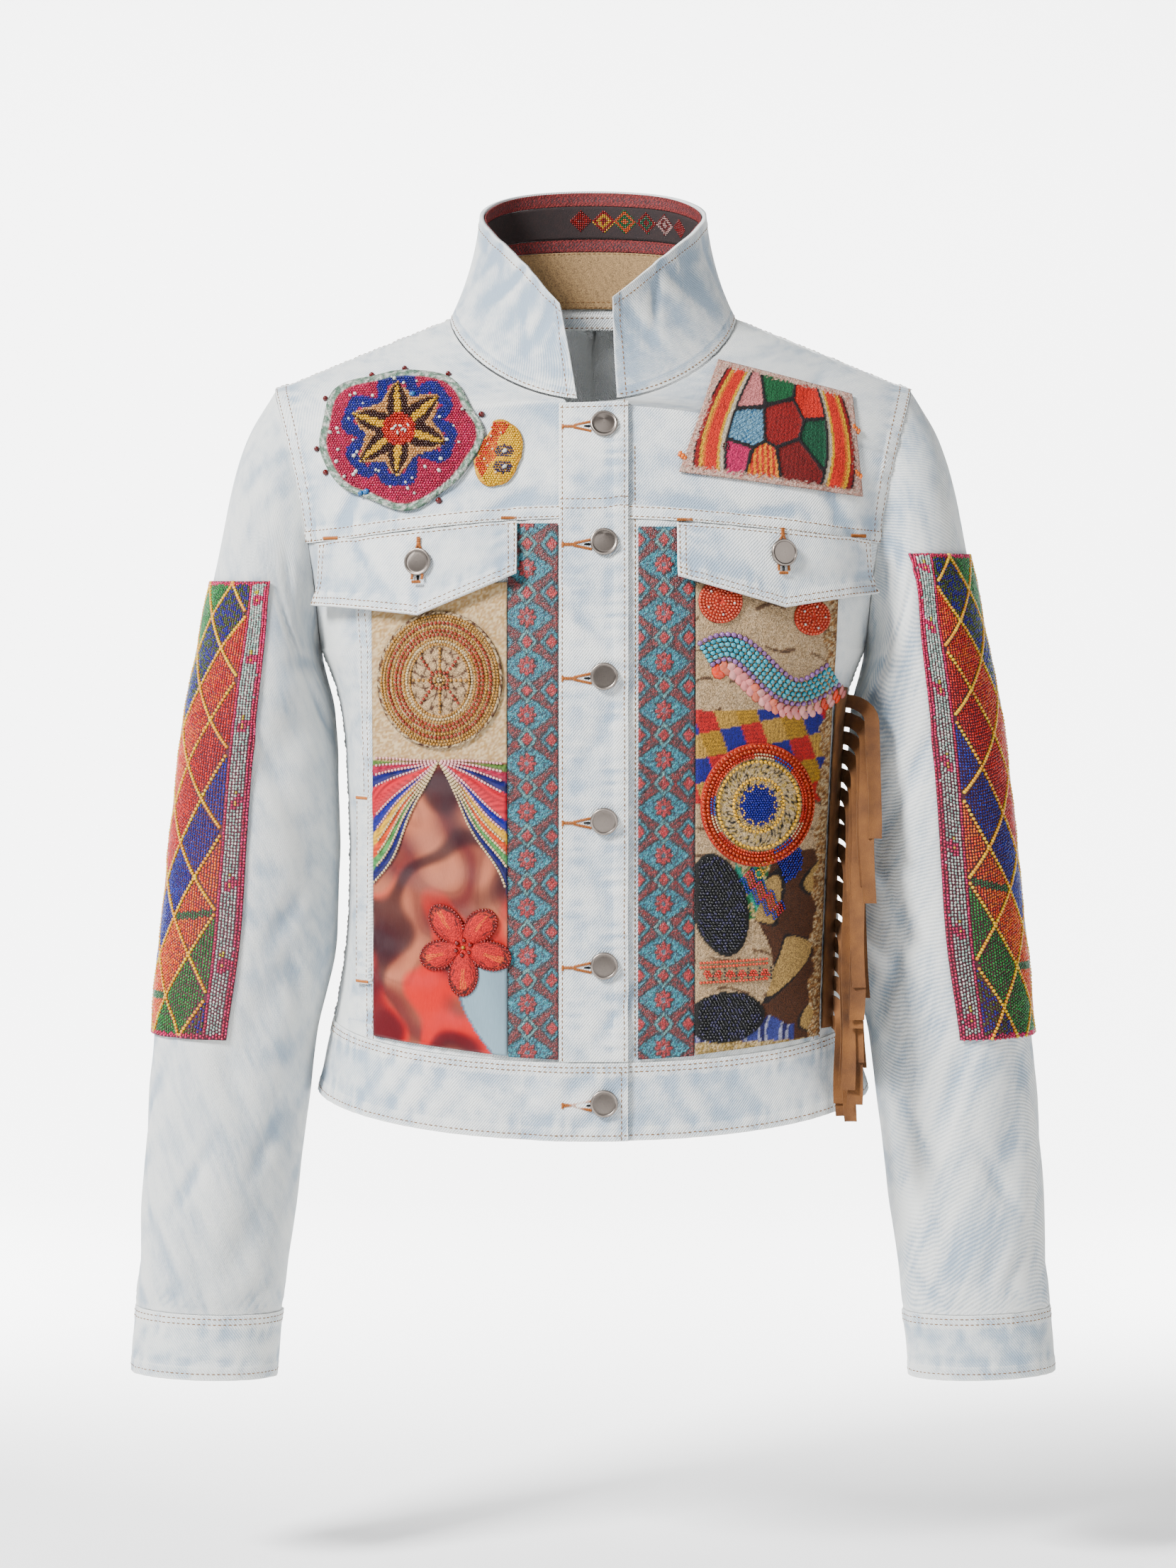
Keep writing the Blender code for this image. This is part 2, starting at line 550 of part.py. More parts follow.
def tube_solid(name, outer, inner, finish):
    """Closed tube wall between two grids whose columns run round and meet."""
    rows, cols = outer.shape[:2]
    points = np.concatenate((outer.reshape(-1, 3), inner.reshape(-1, 3)))
    size = rows * cols

    def at(r, c, layer):
        return layer * size + r * cols + c % cols

    faces = []
    for c in range(cols):
        for r in range(rows - 1):
            faces.append([at(r, c, 0), at(r, c + 1, 0), at(r + 1, c + 1, 0), at(r + 1, c, 0)])
            faces.append([at(r, c, 1), at(r + 1, c, 1), at(r + 1, c + 1, 1), at(r, c + 1, 1)])
        for r in (0, rows - 1):
            faces.append([at(r, c, 0), at(r, c, 1), at(r, c + 1, 1), at(r, c + 1, 0)])
    return add_object(name, points, faces, finish)


def disc_solid(name, rings_out, centre_out, rings_in, centre_in, finish):
    """Closed round patch from matching rings of points over and under it."""
    count, around = rings_out.shape[:2]
    points = np.concatenate((rings_out.reshape(-1, 3), rings_in.reshape(-1, 3),
                             [centre_out], [centre_in]))
    size = count * around
    tops = (2 * size, 2 * size + 1)

    def at(r, c, layer):
        return layer * size + r * around + c % around

    faces = []
    for c in range(around):
        for layer in (0, 1):
            faces.append([tops[layer], at(0, c, layer), at(0, c + 1, layer)])
            for r in range(count - 1):
                faces.append([at(r, c, layer), at(r + 1, c, layer), at(r + 1, c + 1, layer),
                              at(r, c + 1, layer)])
        faces.append([at(count - 1, c, 0), at(count - 1, c, 1), at(count - 1, c + 1, 1),
                      at(count - 1, c + 1, 0)])
    return add_object(name, points, faces, finish)


def panel(name, face, side, u, rows, finish="denim", wall=DENIM, lift=None):
    """Wall over a run of the body surface, with seam gaps at its four edges."""
    v = np.broadcast_to(np.asarray(rows, float)[:, None], u.shape) if np.ndim(rows) == 1 else rows
    normal = body_normal(face, side, u, v)
    points = body(face, side, u, v)
    raised = 0 * u if lift is None else lift
    outer = points + normal * raised[..., None]
    inner = points + normal * (raised - wall)[..., None]
    return grid_solid(name, inset(outer), inset(inner), finish)


def edge_line(side, v):
    """Where a front's inner edge runs: under the placket up to the neck, then along the neckline."""
    x = LEFT_EDGE_X if side == LEFT else LAP_X
    u = u_at(FRONT, abs(x), v)
    return u if side == LEFT else np.where(v > NECK, 0.0, -u)


def make_fronts():
    """Centre front, side front and front yoke on each side."""
    for side, word in SIDES:
        rows = np.array(LOW_ROWS)
        edge, line = edge_line(side, rows), side_line(FRONT, rows)
        panel("front_" + word, FRONT, side, columns((edge, line, FRONT_COLUMNS[0])), rows)
        panel("side_front_" + word, FRONT, side, columns((line, 1 + 0 * line, FRONT_COLUMNS[1])), rows)
        rows = np.array(YOKE_ROWS)
        edge, line = edge_line(side, rows), side_line(FRONT, rows)
        u = columns((edge, line, FRONT_COLUMNS[0]), (line, 1 + 0 * line, FRONT_COLUMNS[1]))
        panel("front_yoke_" + word, FRONT, side, u, rows)


def make_back():
    """Centre back, side backs, and a back yoke cut in one piece across the shoulders."""
    rows = np.array(LOW_ROWS)
    line = side_line(BACK, rows)
    panel("back_centre", BACK, RIGHT, columns((-line, 0 * line, BACK_COLUMNS[0]),
                                              (0 * line, line, BACK_COLUMNS[0])), rows)
    for side, word in SIDES:
        panel("side_back_" + word, BACK, side, columns((line, 1 + 0 * line, BACK_COLUMNS[1])), rows)

    bottom = columns((np.zeros(1), side_line(BACK, np.array([float(YOKE)])), BACK_COLUMNS[0]),
                     (side_line(BACK, np.array([float(YOKE)])), np.ones(1), BACK_COLUMNS[1]))[0]
    neck_steps = np.linspace(0, 1, BACK_COLUMNS[0] + 1)
    shoulder_steps = np.linspace(0, 1, BACK_COLUMNS[1] + 1)[1:]
    top_u = np.concatenate((0 * neck_steps, shoulder_steps))
    top_v = np.concatenate((NECK + neck_steps, SHOULDER + 0 * shoulder_steps))
    share = ((np.array(YOKE_ROWS) - YOKE) / (SHOULDER - YOKE))[:, None]
    u = bottom * (1 - share) + top_u * share
    v = YOKE * (1 - share) + top_v * share
    outer, inner = [], []
    for side in (LEFT, RIGHT):
        points, normal = body(BACK, side, u, v), body_normal(BACK, side, u, v)
        keep = slice(None, 0, -1) if side == LEFT else slice(None)
        outer.append(points[:, keep])
        inner.append((points - normal * DENIM)[:, keep])
    grid_solid("back_yoke", inset(np.concatenate(outer, axis=1)), inset(np.concatenate(inner, axis=1)),
               "denim")


def make_hem_band():
    """Hem band in three lengths; the left one ends in a lap over the right one."""
    rows = np.array(BAND_ROWS)
    line = side_line(FRONT, rows)
    lap = u_at(FRONT, PLACKET_X[1], rows)
    near, far = (u_at(FRONT, x, rows) for x in BAND_LAP_RUN)
    left = columns((-lap, far, 5), (far, line, 6), (line, 1 + 0 * line, FRONT_COLUMNS[1]))
    over = np.clip((far[:, None] - left) / (far - near)[:, None], 0, 1)
    lift = (BAND_DENIM + LAY_CLEARANCE) * over * over * (3 - 2 * over) + BAND_LIFT
    panel("hem_band_left", FRONT, LEFT, left, rows, wall=BAND_DENIM, lift=lift)
    edge = edge_line(RIGHT, rows)
    right = columns((edge, line, FRONT_COLUMNS[0]), (line, 1 + 0 * line, FRONT_COLUMNS[1]))
    panel("hem_band_right", FRONT, RIGHT, right, rows, wall=BAND_DENIM, lift=BAND_LIFT + 0 * right)
    ones = 1 + 0 * line
    back = columns((-ones, 0 * line, 9), (0 * line, ones, 9))
    panel("hem_band_back", BACK, RIGHT, back, rows, wall=BAND_DENIM, lift=BAND_LIFT + 0 * back)


def make_trims(lookup):
    """Placket, braids, collage panels, welt and other four-cornered pieces on the fronts."""
    def lay(name, corners, cols, rows, lift, wall, finish):
        low_left, low_right, top_right, top_left = np.asarray(corners, float)
        across = np.linspace(0, 1, cols + 1)[None, :, None]
        up = np.linspace(0, 1, rows + 1)[:, None, None]
        flat = ((low_left * (1 - across) + low_right * across) * (1 - up)
                + (top_left * (1 - across) + top_right * across) * up)
        inner = front_patch(lookup, flat[..., 0], flat[..., 1], lift + 0 * flat[..., 0])
        outer = front_patch(lookup, flat[..., 0], flat[..., 1], lift + wall + 0 * flat[..., 0])
        grid_solid(name, outer, inner, finish)

    (x0, x1), low, (top0, top1) = PLACKET_X, PLACKET_LOW_Z, PLACKET_TOP_Z
    lay("placket", ((x0, low), (x1, low), (x1, top1), (x0, top0)), 3, 18, LAY_CLEARANCE,
        PLACKET_WALL, "denim")
    finishes = {"braid_left": "braid", "braid_right": "braid", "satin_corner": "satin",
                "corded_fan": "satin", "chest_geometric_patch": "beads", "bead_bands": "beads"}
    for name, corners, cols, rows, lift, wall in TRIMS:
        lay(name, corners, cols, rows, lift, wall, finishes.get(name, "collage"))
    lay("pocket_welt", WELT, 1, 5, WELT_LIFT, WELT_WALL, "denim")


def make_flaps(lookup):
    """Pointed pocket flaps that hang from the yoke seams over the collage panels."""
    for side, word in SIDES:
        row = dict(zip(FLAP_COLUMNS, FLAP_ROWS[side]))
        share = np.linspace(0, 1, 9)
        x = row["inner_x"] + (row["outer_x"] - row["inner_x"]) * share
        top = row["inner_z"] + (row["outer_z"] - row["inner_z"]) * share
        ends = sorted(((row["inner_x"], row["inner_low"]), (row["point_x"], row["point_z"]),
                       (row["outer_x"], row["outer_low"])))
        low = np.interp(x, *zip(*ends))
        down = np.array(FLAP_STEPS)[:, None]
        z = top * (1 - down) + low * down
        x = np.broadcast_to(x, z.shape)
        rise = (FLAP_LIFT - FLAP_SEAT) * np.clip(down / FLAP_FLAT, 0, 1)
        kick = np.clip((down - FLAP_FLAT) / (1 - FLAP_FLAT), 0, 1) ** 2
        lift = FLAP_SEAT + rise + FLAP_KICK * kick + 0 * z
        inner = front_patch(lookup, x, z, lift)
        outer = front_patch(lookup, x, z, lift + FLAP_WALL)
        grid_solid("flap_" + word, outer, inner, "denim")


def make_round_patches(lookup):
    """Appliques with lobed outlines, thicker in the middle than at their edges."""
    for name, x, z, wide, tall, lobes, swell, turn, lift, edge, crown in ROUND_PATCHES:
        around = 20 if wide > 25 else 14
        a = np.radians(np.arange(around) * 360 / around)
        radius = 1 + swell * np.cos(lobes * (a - math.radians(turn)))
        share = np.array(PATCH_STEPS)[:, None]
        px = x + wide * radius * np.cos(a) * share
        pz = z + tall * radius * np.sin(a) * share
        height = edge + (crown - edge) * (1 - share ** 2) + 0 * px
        rings_in = front_patch(lookup, px, pz, lift + 0 * px)
        rings_out = front_patch(lookup, px, pz, lift + height)
        centre = np.array([[x], [z]], float)
        mid_in = front_patch(lookup, centre[0], centre[1], np.array([lift]))[0]
        mid_out = front_patch(lookup, centre[0], centre[1], np.array([lift + crown]))[0]
        disc_solid(name, rings_out, mid_out, rings_in, mid_in, "beads")


def make_buttons(lookup):
    """Turned metal buttons with a raised rim, standing square on the placket, flaps and band."""
    placket_top = LAY_CLEARANCE + PLACKET_WALL + SEAM_GAP
    band_top = BAND_DENIM + LAY_CLEARANCE + BAND_LIFT + SEAM_GAP
    flap_top = FLAP_LIFT + FLAP_WALL + SEAM_GAP
    places = [("button_%d" % (i + 1), BUTTON_X, z, placket_top) for i, z in enumerate(BUTTON_Z)]
    places.append(("button_%d" % (len(BUTTON_Z) + 1), BUTTON_X, BAND_BUTTON_Z, band_top))
    for side, word in SIDES:
        row = dict(zip(FLAP_COLUMNS, FLAP_ROWS[side]))
        places.append(("flap_button_" + word, row["button_x"], row["button_z"], flap_top))
    for name, x, z, lift in places:
        at = np.array([x]), np.array([z])
        seat = front_patch(lookup, *at, np.array([lift]))[0]
        normal = unit(seat - front_patch(lookup, *at, np.array([0.0]))[0])
        turn = Vector((0, 0, 1)).rotation_difference(Vector(normal)).to_matrix()
        rings = []
        for r, h in BUTTON_PROFILE[1:-1]:
            ring = [turn @ Vector((r * math.cos(a), r * math.sin(a), h)) for a in
                    (2 * math.pi * k / BUTTON_SIDES for k in range(BUTTON_SIDES))]
            rings.append(ring)
        points = [seat + np.array(p) for ring in rings for p in ring]
        points += [seat, seat + np.array(turn @ Vector((0, 0, BUTTON_PROFILE[-1][1])))]
        low, high = len(points) - 2, len(points) - 1
        faces = []
        last = (len(rings) - 1) * BUTTON_SIDES
        for k in range(BUTTON_SIDES):
            n = (k + 1) % BUTTON_SIDES
            faces.append([low, n, k])
            faces.append([high, last + k, last + n])
            for r in range(len(rings) - 1):
                a, b = r * BUTTON_SIDES, (r + 1) * BUTTON_SIDES
                faces.append([a + k, a + n, b + n, b + k])
        add_object(name, points, faces, "button_metal")


def sleeve_angles():
    """Angles of the sleeve's columns: those of the level rows round the armhole."""
    rows = np.array([v for v in LOW_ROWS if v >= ARMPIT] + list(YOKE_ROWS[1:]))
    front = np.interp(rows, LEVELS[ARMPIT:], ARMHOLE_ANGLE[FRONT])
    back = np.interp(rows, LEVELS[ARMPIT:], ARMHOLE_ANGLE[BACK])
    return np.concatenate((front[::-1], -back[1:-1]))


def make_sleeves():
    """Sleeves and cuffs as open tubes."""
    angles = sleeve_angles()
    for side, word in SIDES:
        s = np.arange(len(SLEEVE_ROWS), dtype=float)[:, None]
        grow = np.array((side * SEAM_GAP, 0, 0))
        outer = sleeve(side, s, angles)
        inner = sleeve(side, s, angles, shrink=SLEEVE_WALL)
        outer[0] += grow
        inner[0] += grow
        tube_solid("sleeve_" + word, outer, inner, "denim")
        s = np.arange(len(CUFF_ROWS), dtype=float)[:, None]
        drop = np.array((0, 0, -SEAM_GAP))
        outer = sleeve(side, s, angles, CUFF_ROWS) + drop
        inner = sleeve(side, s, angles, CUFF_ROWS, shrink=CUFF_WALL) + drop
        tube_solid("cuff_" + word, outer, inner, "denim")

        top, bottom = BEAD_PANEL_Z[side]
        low, high = BEAD_PANEL_ANGLES
        around = np.sort([a for a in angles if low - 1 <= a <= high + 1])
        fine = np.linspace(1, len(SLEEVE_ROWS) - 1, 121)
        ends = []
        for angle in around:
            heights = sleeve(side, fine, angle)[..., 2]
            ends.append([np.interp(-goal, -heights, fine) for goal in (top, bottom)])
        first, final = np.array(ends).T
        share = np.linspace(0, 1, BEAD_PANEL_ROWS + 1)[:, None]
        s = first * (1 - share) + final * share
        angle = np.broadcast_to(around, s.shape)
        outer = sleeve(side, s, angle, shrink=-BEAD_PANEL_LIFT - BEAD_PANEL_WALL)
        inner = sleeve(side, s, angle, shrink=-BEAD_PANEL_LIFT)
        grid_solid("sleeve_bead_panel_" + word, outer, inner, "sleeve_beads")


def collar_run(first):
    """Angles of the collar's columns and their sides, from the left front round to the right."""
    even = np.linspace(0, 180, 17)
    left, right = (np.concatenate(([start], even[even > start + 3])) for start in
                   (max(first, COLLAR_EDGE[LEFT]), max(first, COLLAR_EDGE[RIGHT])))
    return left, right[::-1][1:]


def collar_grid(first, steps, inside):
    """Grid of collar points over a run of angles and height steps."""
    left, right = collar_run(first)
    h = np.array(steps)[:, None]
    return np.concatenate((collar(LEFT, left, h, inside), collar(RIGHT, right, h, inside)), axis=1)


def make_collar():
    """Standing collar, the bands sewn inside it, and the strip over the back neck seam."""
    grid_solid("collar", collar_grid(0, COLLAR_STEPS, 0.0), collar_grid(0, COLLAR_STEPS, COLLAR_WALL),
               "denim")
    for name, low, high, first, wall in INNER_BANDS:
        steps = COLLAR_STEPS[low:high + 1]
        outer = collar_grid(first, steps, COLLAR_WALL + BAND_GAP)
        inner = collar_grid(first, steps, COLLAR_WALL + BAND_GAP + wall)
        finish = {"collar_canvas": "canvas", "collar_bead_band": "beads"}.get(name, "tape")
        grid_solid(name, inset(outer), inset(inner), finish)
    left, right = collar_run(NECK_STRIP_FROM)
    drop = np.array(NECK_STRIP_DROP)[:, None, None] * np.array((0, 0, 1))
    walls = []
    for inside in (NECK_STRIP_INSIDE, NECK_STRIP_INSIDE + NECK_STRIP_WALL):
        strip = np.concatenate((collar(LEFT, left, np.zeros((1, 1)), COLLAR_WALL + inside),
                                collar(RIGHT, right, np.zeros((1, 1)), COLLAR_WALL + inside)), axis=1)
        walls.append(strip + drop)
    grid_solid("neck_strip", walls[0], walls[1], "denim_inside")


def fringe_path(run, root, reach, lean):
    """Where a strip has got to after a length of it, and its width and thickness directions.

    It leaves the root sideways and forwards, turns down over a short arc up to the curtain line,
    then hangs, splayed out by a fixed share of its drop, so that it stays in front of every strip
    that starts lower. Its width turns from upright to level as it goes round.
    """
    turn_length = math.pi / 2 * FRINGE_TURN
    bend = min(run / FRINGE_TURN, math.pi / 2)
    rest = max(run - turn_length, 0.0)
    drop = FRINGE_TURN * (1 - math.cos(bend)) + rest
    low_y, slope = FRINGE_CURTAIN
    curtain = low_y + slope * (root.z - drop - FRINGE_STRIP[0][1]) - FRINGE_SPLAY * drop
    forward = (curtain - root.y) * math.sin(bend)
    heading = math.atan2(curtain - root.y, reach) * (1 - bend / (math.pi / 2)) ** 2
    level = Vector((math.cos(heading), math.sin(heading), 0))
    sideways = reach * math.sin(bend) + lean / 100 * rest
    place = root + Vector((sideways, forward, -drop))
    width = level * math.sin(bend) + Vector((0, 0, math.cos(bend)))
    ahead = level * math.cos(bend) - Vector((0, 0, math.sin(bend)))
    return place, width, ahead.cross(width)


def make_fringe(lookup):
    """Suede strips cut from one root strip that is sewn down beside the collage.

    The root strip has a lip along its outer face. Every other cell of the lip grows into a strip.
    """
    low, high = np.asarray(FRINGE_STRIP)
    share = np.linspace(0, 1, 2 * len(FRINGE_ROWS) + 1)
    work = bmesh.new()
    top = FRINGE_LIFT + FRINGE_STRIP_WALL
    outline = ((-FRINGE_STRIP_WIDTH, FRINGE_LIFT), (0.0, FRINGE_LIFT), (0.0, top),
               (-FRINGE_STRIP_WALL, top), (-FRINGE_STRIP_WIDTH, top))
    stations = []
    for x, z in low + (high - low) * share[:, None]:
        points = [front_patch(lookup, np.array([x + across]), np.array([z]), np.array([height]))[0]
                  for across, height in outline]
        stations.append([work.verts.new(p) for p in points])
    roots = []
    for a, b in zip(stations, stations[1:]):
        for i in range(5):
            j = (i + 1) % 5
            corners = (a[i], a[j], b[j], b[i])
            if i == 2:
                roots.append(corners)
            else:
                work.faces.new(corners)
    work.faces.new(stations[0][::-1])
    work.faces.new(stations[-1])
    turn_length = math.pi / 2 * FRINGE_TURN
    for index, corners in enumerate(roots):
        if index % 2:
            work.faces.new(corners)
            continue
        reach, hang, lean = FRINGE_ROWS[len(FRINGE_ROWS) - 1 - index // 2]
        runs = [turn_length * step / FRINGE_BENDS for step in range(1, FRINGE_BENDS + 1)]
        runs += [turn_length + hang * step / FRINGE_HANGS for step in range(1, FRINGE_HANGS + 1)]
        root = sum((v.co for v in corners), Vector()) / 4
        signs = ((-1, -1), (1, -1), (1, 1), (-1, 1))
        before = corners
        for run in runs:
            place, width, thick = fringe_path(run, root, reach, lean)
            after = []
            for through_wall, up in signs:
                offset = width * (up * FRINGE_WIDTH / 2) + thick * (through_wall * FRINGE_THICKNESS / 2)
                after.append(work.verts.new(place + offset))
            for i in range(4):
                j = (i + 1) % 4
                work.faces.new((before[i], before[j], after[j], after[i]))
            before = after
        work.faces.new(before)
    bmesh.ops.triangulate(work, faces=work.faces)
    bmesh.ops.recalc_face_normals(work, faces=work.faces)
    for vertex in work.verts:
        vertex.co *= MM
    mesh = bpy.data.meshes.new("suede_fringe")
    work.to_mesh(mesh)
    work.free()
    made = bpy.data.objects.new("suede_fringe", mesh)
    bpy.context.scene.collection.objects.link(made)
    mesh.materials.append(material("suede"))


def main():
    """Clear the scene and build every piece."""
    for old in list(bpy.data.objects):
        bpy.data.objects.remove(old, do_unlink=True)
    lookup = front_lookup()
    make_fronts()
    make_back()
    make_hem_band()
    make_collar()
    make_sleeves()
    make_trims(lookup)
    make_flaps(lookup)
    make_round_patches(lookup)
    make_buttons(lookup)
    make_fringe(lookup)


main()
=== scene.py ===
"""A cropped denim jacket with patches, woven braid, bead panels and a suede fringe.

Tables and named sizes are in millimetres, and MM turns them into metres when a mesh is made. The
cloth lies on three worked-out surfaces, body, sleeve and collar, in fine grids with creases, sewn
ridges and puckers. What lies on a front is placed by x and z as seen from the front, and lifted off
the cloth. Patterns are charted by functions of place into a colour attribute, or sewn from beads,
stitches and cords, each a small shape repeated over arrays of places.
"""
import math

import bpy
import numpy as np
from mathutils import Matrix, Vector


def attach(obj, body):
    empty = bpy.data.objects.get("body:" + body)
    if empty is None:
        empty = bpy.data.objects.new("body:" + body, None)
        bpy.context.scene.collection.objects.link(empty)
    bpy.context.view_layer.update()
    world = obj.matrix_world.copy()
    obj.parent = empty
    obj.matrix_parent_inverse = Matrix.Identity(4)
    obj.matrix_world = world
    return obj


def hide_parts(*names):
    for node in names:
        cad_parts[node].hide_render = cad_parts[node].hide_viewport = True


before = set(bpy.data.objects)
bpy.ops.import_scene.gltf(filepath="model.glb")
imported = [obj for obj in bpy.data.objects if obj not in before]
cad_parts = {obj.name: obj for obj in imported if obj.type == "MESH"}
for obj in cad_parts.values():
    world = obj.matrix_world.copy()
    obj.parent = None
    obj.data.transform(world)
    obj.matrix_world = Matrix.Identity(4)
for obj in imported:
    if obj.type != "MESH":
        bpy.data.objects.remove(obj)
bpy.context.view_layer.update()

MM = 0.001
FRONT, BACK = "front", "back"
LEFT, RIGHT = -1, 1
SIDES = ((LEFT, "left"), (RIGHT, "right"))
HEM, BAND, ARMPIT, YOKE, NECK, SHOULDER = range(6)
LEVELS = (HEM, BAND, ARMPIT, YOKE, NECK, SHOULDER)
rng = np.random.default_rng(11)

# Cloth and seam sizes.
SEAM_GAP = 0.3
DENIM = 1.6
BAND_DENIM = 2.4
LAY_CLEARANCE = 0.6
BAND_LIFT = 0.6
BAND_LAP_RUN = (22.0, 44.0)
RIDGE_WIDTH = 8.6
RIDGE_RISE = 0.85

# Neck, shoulder and centre lines.
NECK_HALF = 90.0
NECK_MID_Y = -3.0
NECK_FRONT_DROP = 55.0
NECK_FRONT_REACH = 84.0
NECK_BACK_REACH = 75.0
NECK_BACK_RISE = 6.0
SHOULDER_LINE = (0.925, 0.0, -0.38)
ROUNDNESS = 2.15
SIDE_SEAM_Y = 2.0
CENTRE_Z = {FRONT: (-506, -458, -205, -127, -55), BACK: (-489, -443, -198, -140, 6)}
SIDE_Z = (-486, -441, -207)

# Depth of the centre line from the middle of the body: height, front, back.
PROFILE = (
    (-506, 113, 109), (-458, 113, 104), (-400, 112, 97), (-340, 113, 94), (-280, 118, 97),
    (-230, 121, 105), (-180, 118.5, 111), (-127, 109.5, 112), (-85, 97.5, 107), (-55, 87, 99),
    (-20, 80, 86), (6, 76, 72),
)
# Half width of the body between its side seams: height, half_width.
WIDTHS = (
    (-486, 174), (-441, 164), (-395, 156.5), (-345, 154), (-297, 155), (-262, 157), (-243, 159.5),
    (-225, 164.5), (-207, 172),
)
ARMHOLE_ANGLE = {FRONT: (180, 100.7, 62, 0), BACK: (180, 100.7, 52, 0)}
ARMHOLE_WAY = {
    FRONT: ((0, 1, 0), (0.5, 0.86, 0), (0.78, 0.55, -0.3), SHOULDER_LINE),
    BACK: ((0, -1, 0), (0.5, -0.86, 0), (0.8, -0.5, -0.33), SHOULDER_LINE),
}
ARMHOLE_REACH = (264, 170, 120, 119)
CENTRE_REACH = (370, 262, 190, 119)

# Soft folds pressed into the body: face, x, z, half_length, half_width, depth, lean in degrees.
BODY_FOLDS = (
    (FRONT, -150, -330, 26, 8, 2.6, 62), (FRONT, 151, -395, 22, 8, 2.4, -60),
    (FRONT, -150, -420, 22, 7, 2.2, 70), (BACK, -118, -300, 70, 13, 3.4, 14),
    (BACK, 112, -320, 76, 13, 3.6, -12), (BACK, -52, -372, 48, 12, 2.6, 4),
    (BACK, 60, -290, 52, 12, 2.4, -6), (BACK, -128, -178, 40, 11, 3.0, 52),
    (BACK, 126, -184, 42, 11, 3.0, -50),
)
# Narrower creases that show only up close, in the same columns.
BODY_CREASES = (
    (FRONT, -154, -262, 18, 5, 2.6, 40), (FRONT, -148, -372, 16, 4, 2.3, 55),
    (FRONT, 154, -252, 18, 5, 2.6, -42), (FRONT, -96, -112, 26, 6, 1.6, 78),
    (FRONT, 60, -118, 24, 6, 1.5, -74), (FRONT, -150, -120, 20, 5, 2.6, 24),
    (FRONT, 150, -122, 20, 5, 2.6, -26), (FRONT, 8, -250, 34, 7, 1.2, 30),
    (FRONT, 4, -350, 40, 8, 1.2, -24), (FRONT, -152, -300, 15, 4, 2.2, -48),
    (FRONT, -145, -436, 16, 4, 2, 66), (FRONT, 152, -310, 15, 4, 2.2, 50),
    (FRONT, 149, -352, 16, 4, 2, -64), (FRONT, -4, -190, 26, 6, 1.1, -40),
    (FRONT, 12, -430, 26, 5, 1.2, 38), (FRONT, -52, -118, 20, 4, 1.4, 62),
    (FRONT, 108, -122, 24, 4, 1.5, 84), (FRONT, -140, -148, 16, 4, 1.9, -30),
    (FRONT, 136, -46, 18, 5, 1.6, 30), (FRONT, -136, -40, 18, 5, 1.6, -32),
    (BACK, -20, -400, 30, 7, 1.6, 20),
    (BACK, 30, -230, 44, 8, 1.8, 26), (BACK, -70, -210, 30, 7, 1.6, -34),
    (BACK, 84, -240, 34, 7, 1.9, 38), (BACK, -90, -420, 26, 6, 1.5, 50),
    (BACK, 96, -415, 28, 6, 1.6, -46), (BACK, 0, -120, 60, 10, 1.1, 82),
    (BACK, -70, -90, 40, 9, 1.4, 70), (BACK, 78, -96, 40, 9, 1.4, -68),
)

SLEEVE_COLUMNS = ("outer_x", "outer_y", "outer_z", "inner_x", "inner_y", "inner_z",
                  "front", "back", "scoop")
SLEEVE_ROWS = (
    (200, -5, -45, 172, 2, -207, 52, 58, 7),
    (218, -4, -76, 171.5, 1, -215, 60, 64, 3),
    (228, -3, -108, 168.5, 0, -226, 63, 65, 0),
    (238, -3, -159, 164, -1, -243, 63, 64, 0),
    (249, -4, -212, 161.5, -2, -266, 62, 62, 0),
    (259, -6, -271, 160.5, -5, -298, 60, 59, 0),
    (265.5, -8, -330, 160.5, -8, -346, 58, 57, 0),
    (271, -11, -386, 162.5, -11, -396, 56, 55, 0),
    (277, -14, -446, 174, -14, -451, 54, 53, 0),
    (281.5, -17, -501, 181, -17, -506, 50, 49, 0),
    (285, -20, -557, 188, -20, -561, 45, 44, 0),
    (287.5, -22, -600, 193.5, -22, -603, 38, 37, 0),
    (288.5, -23, -621, 196.5, -23, -624, 33, 32, 0),
)
SLEEVE_WALL = 1.9
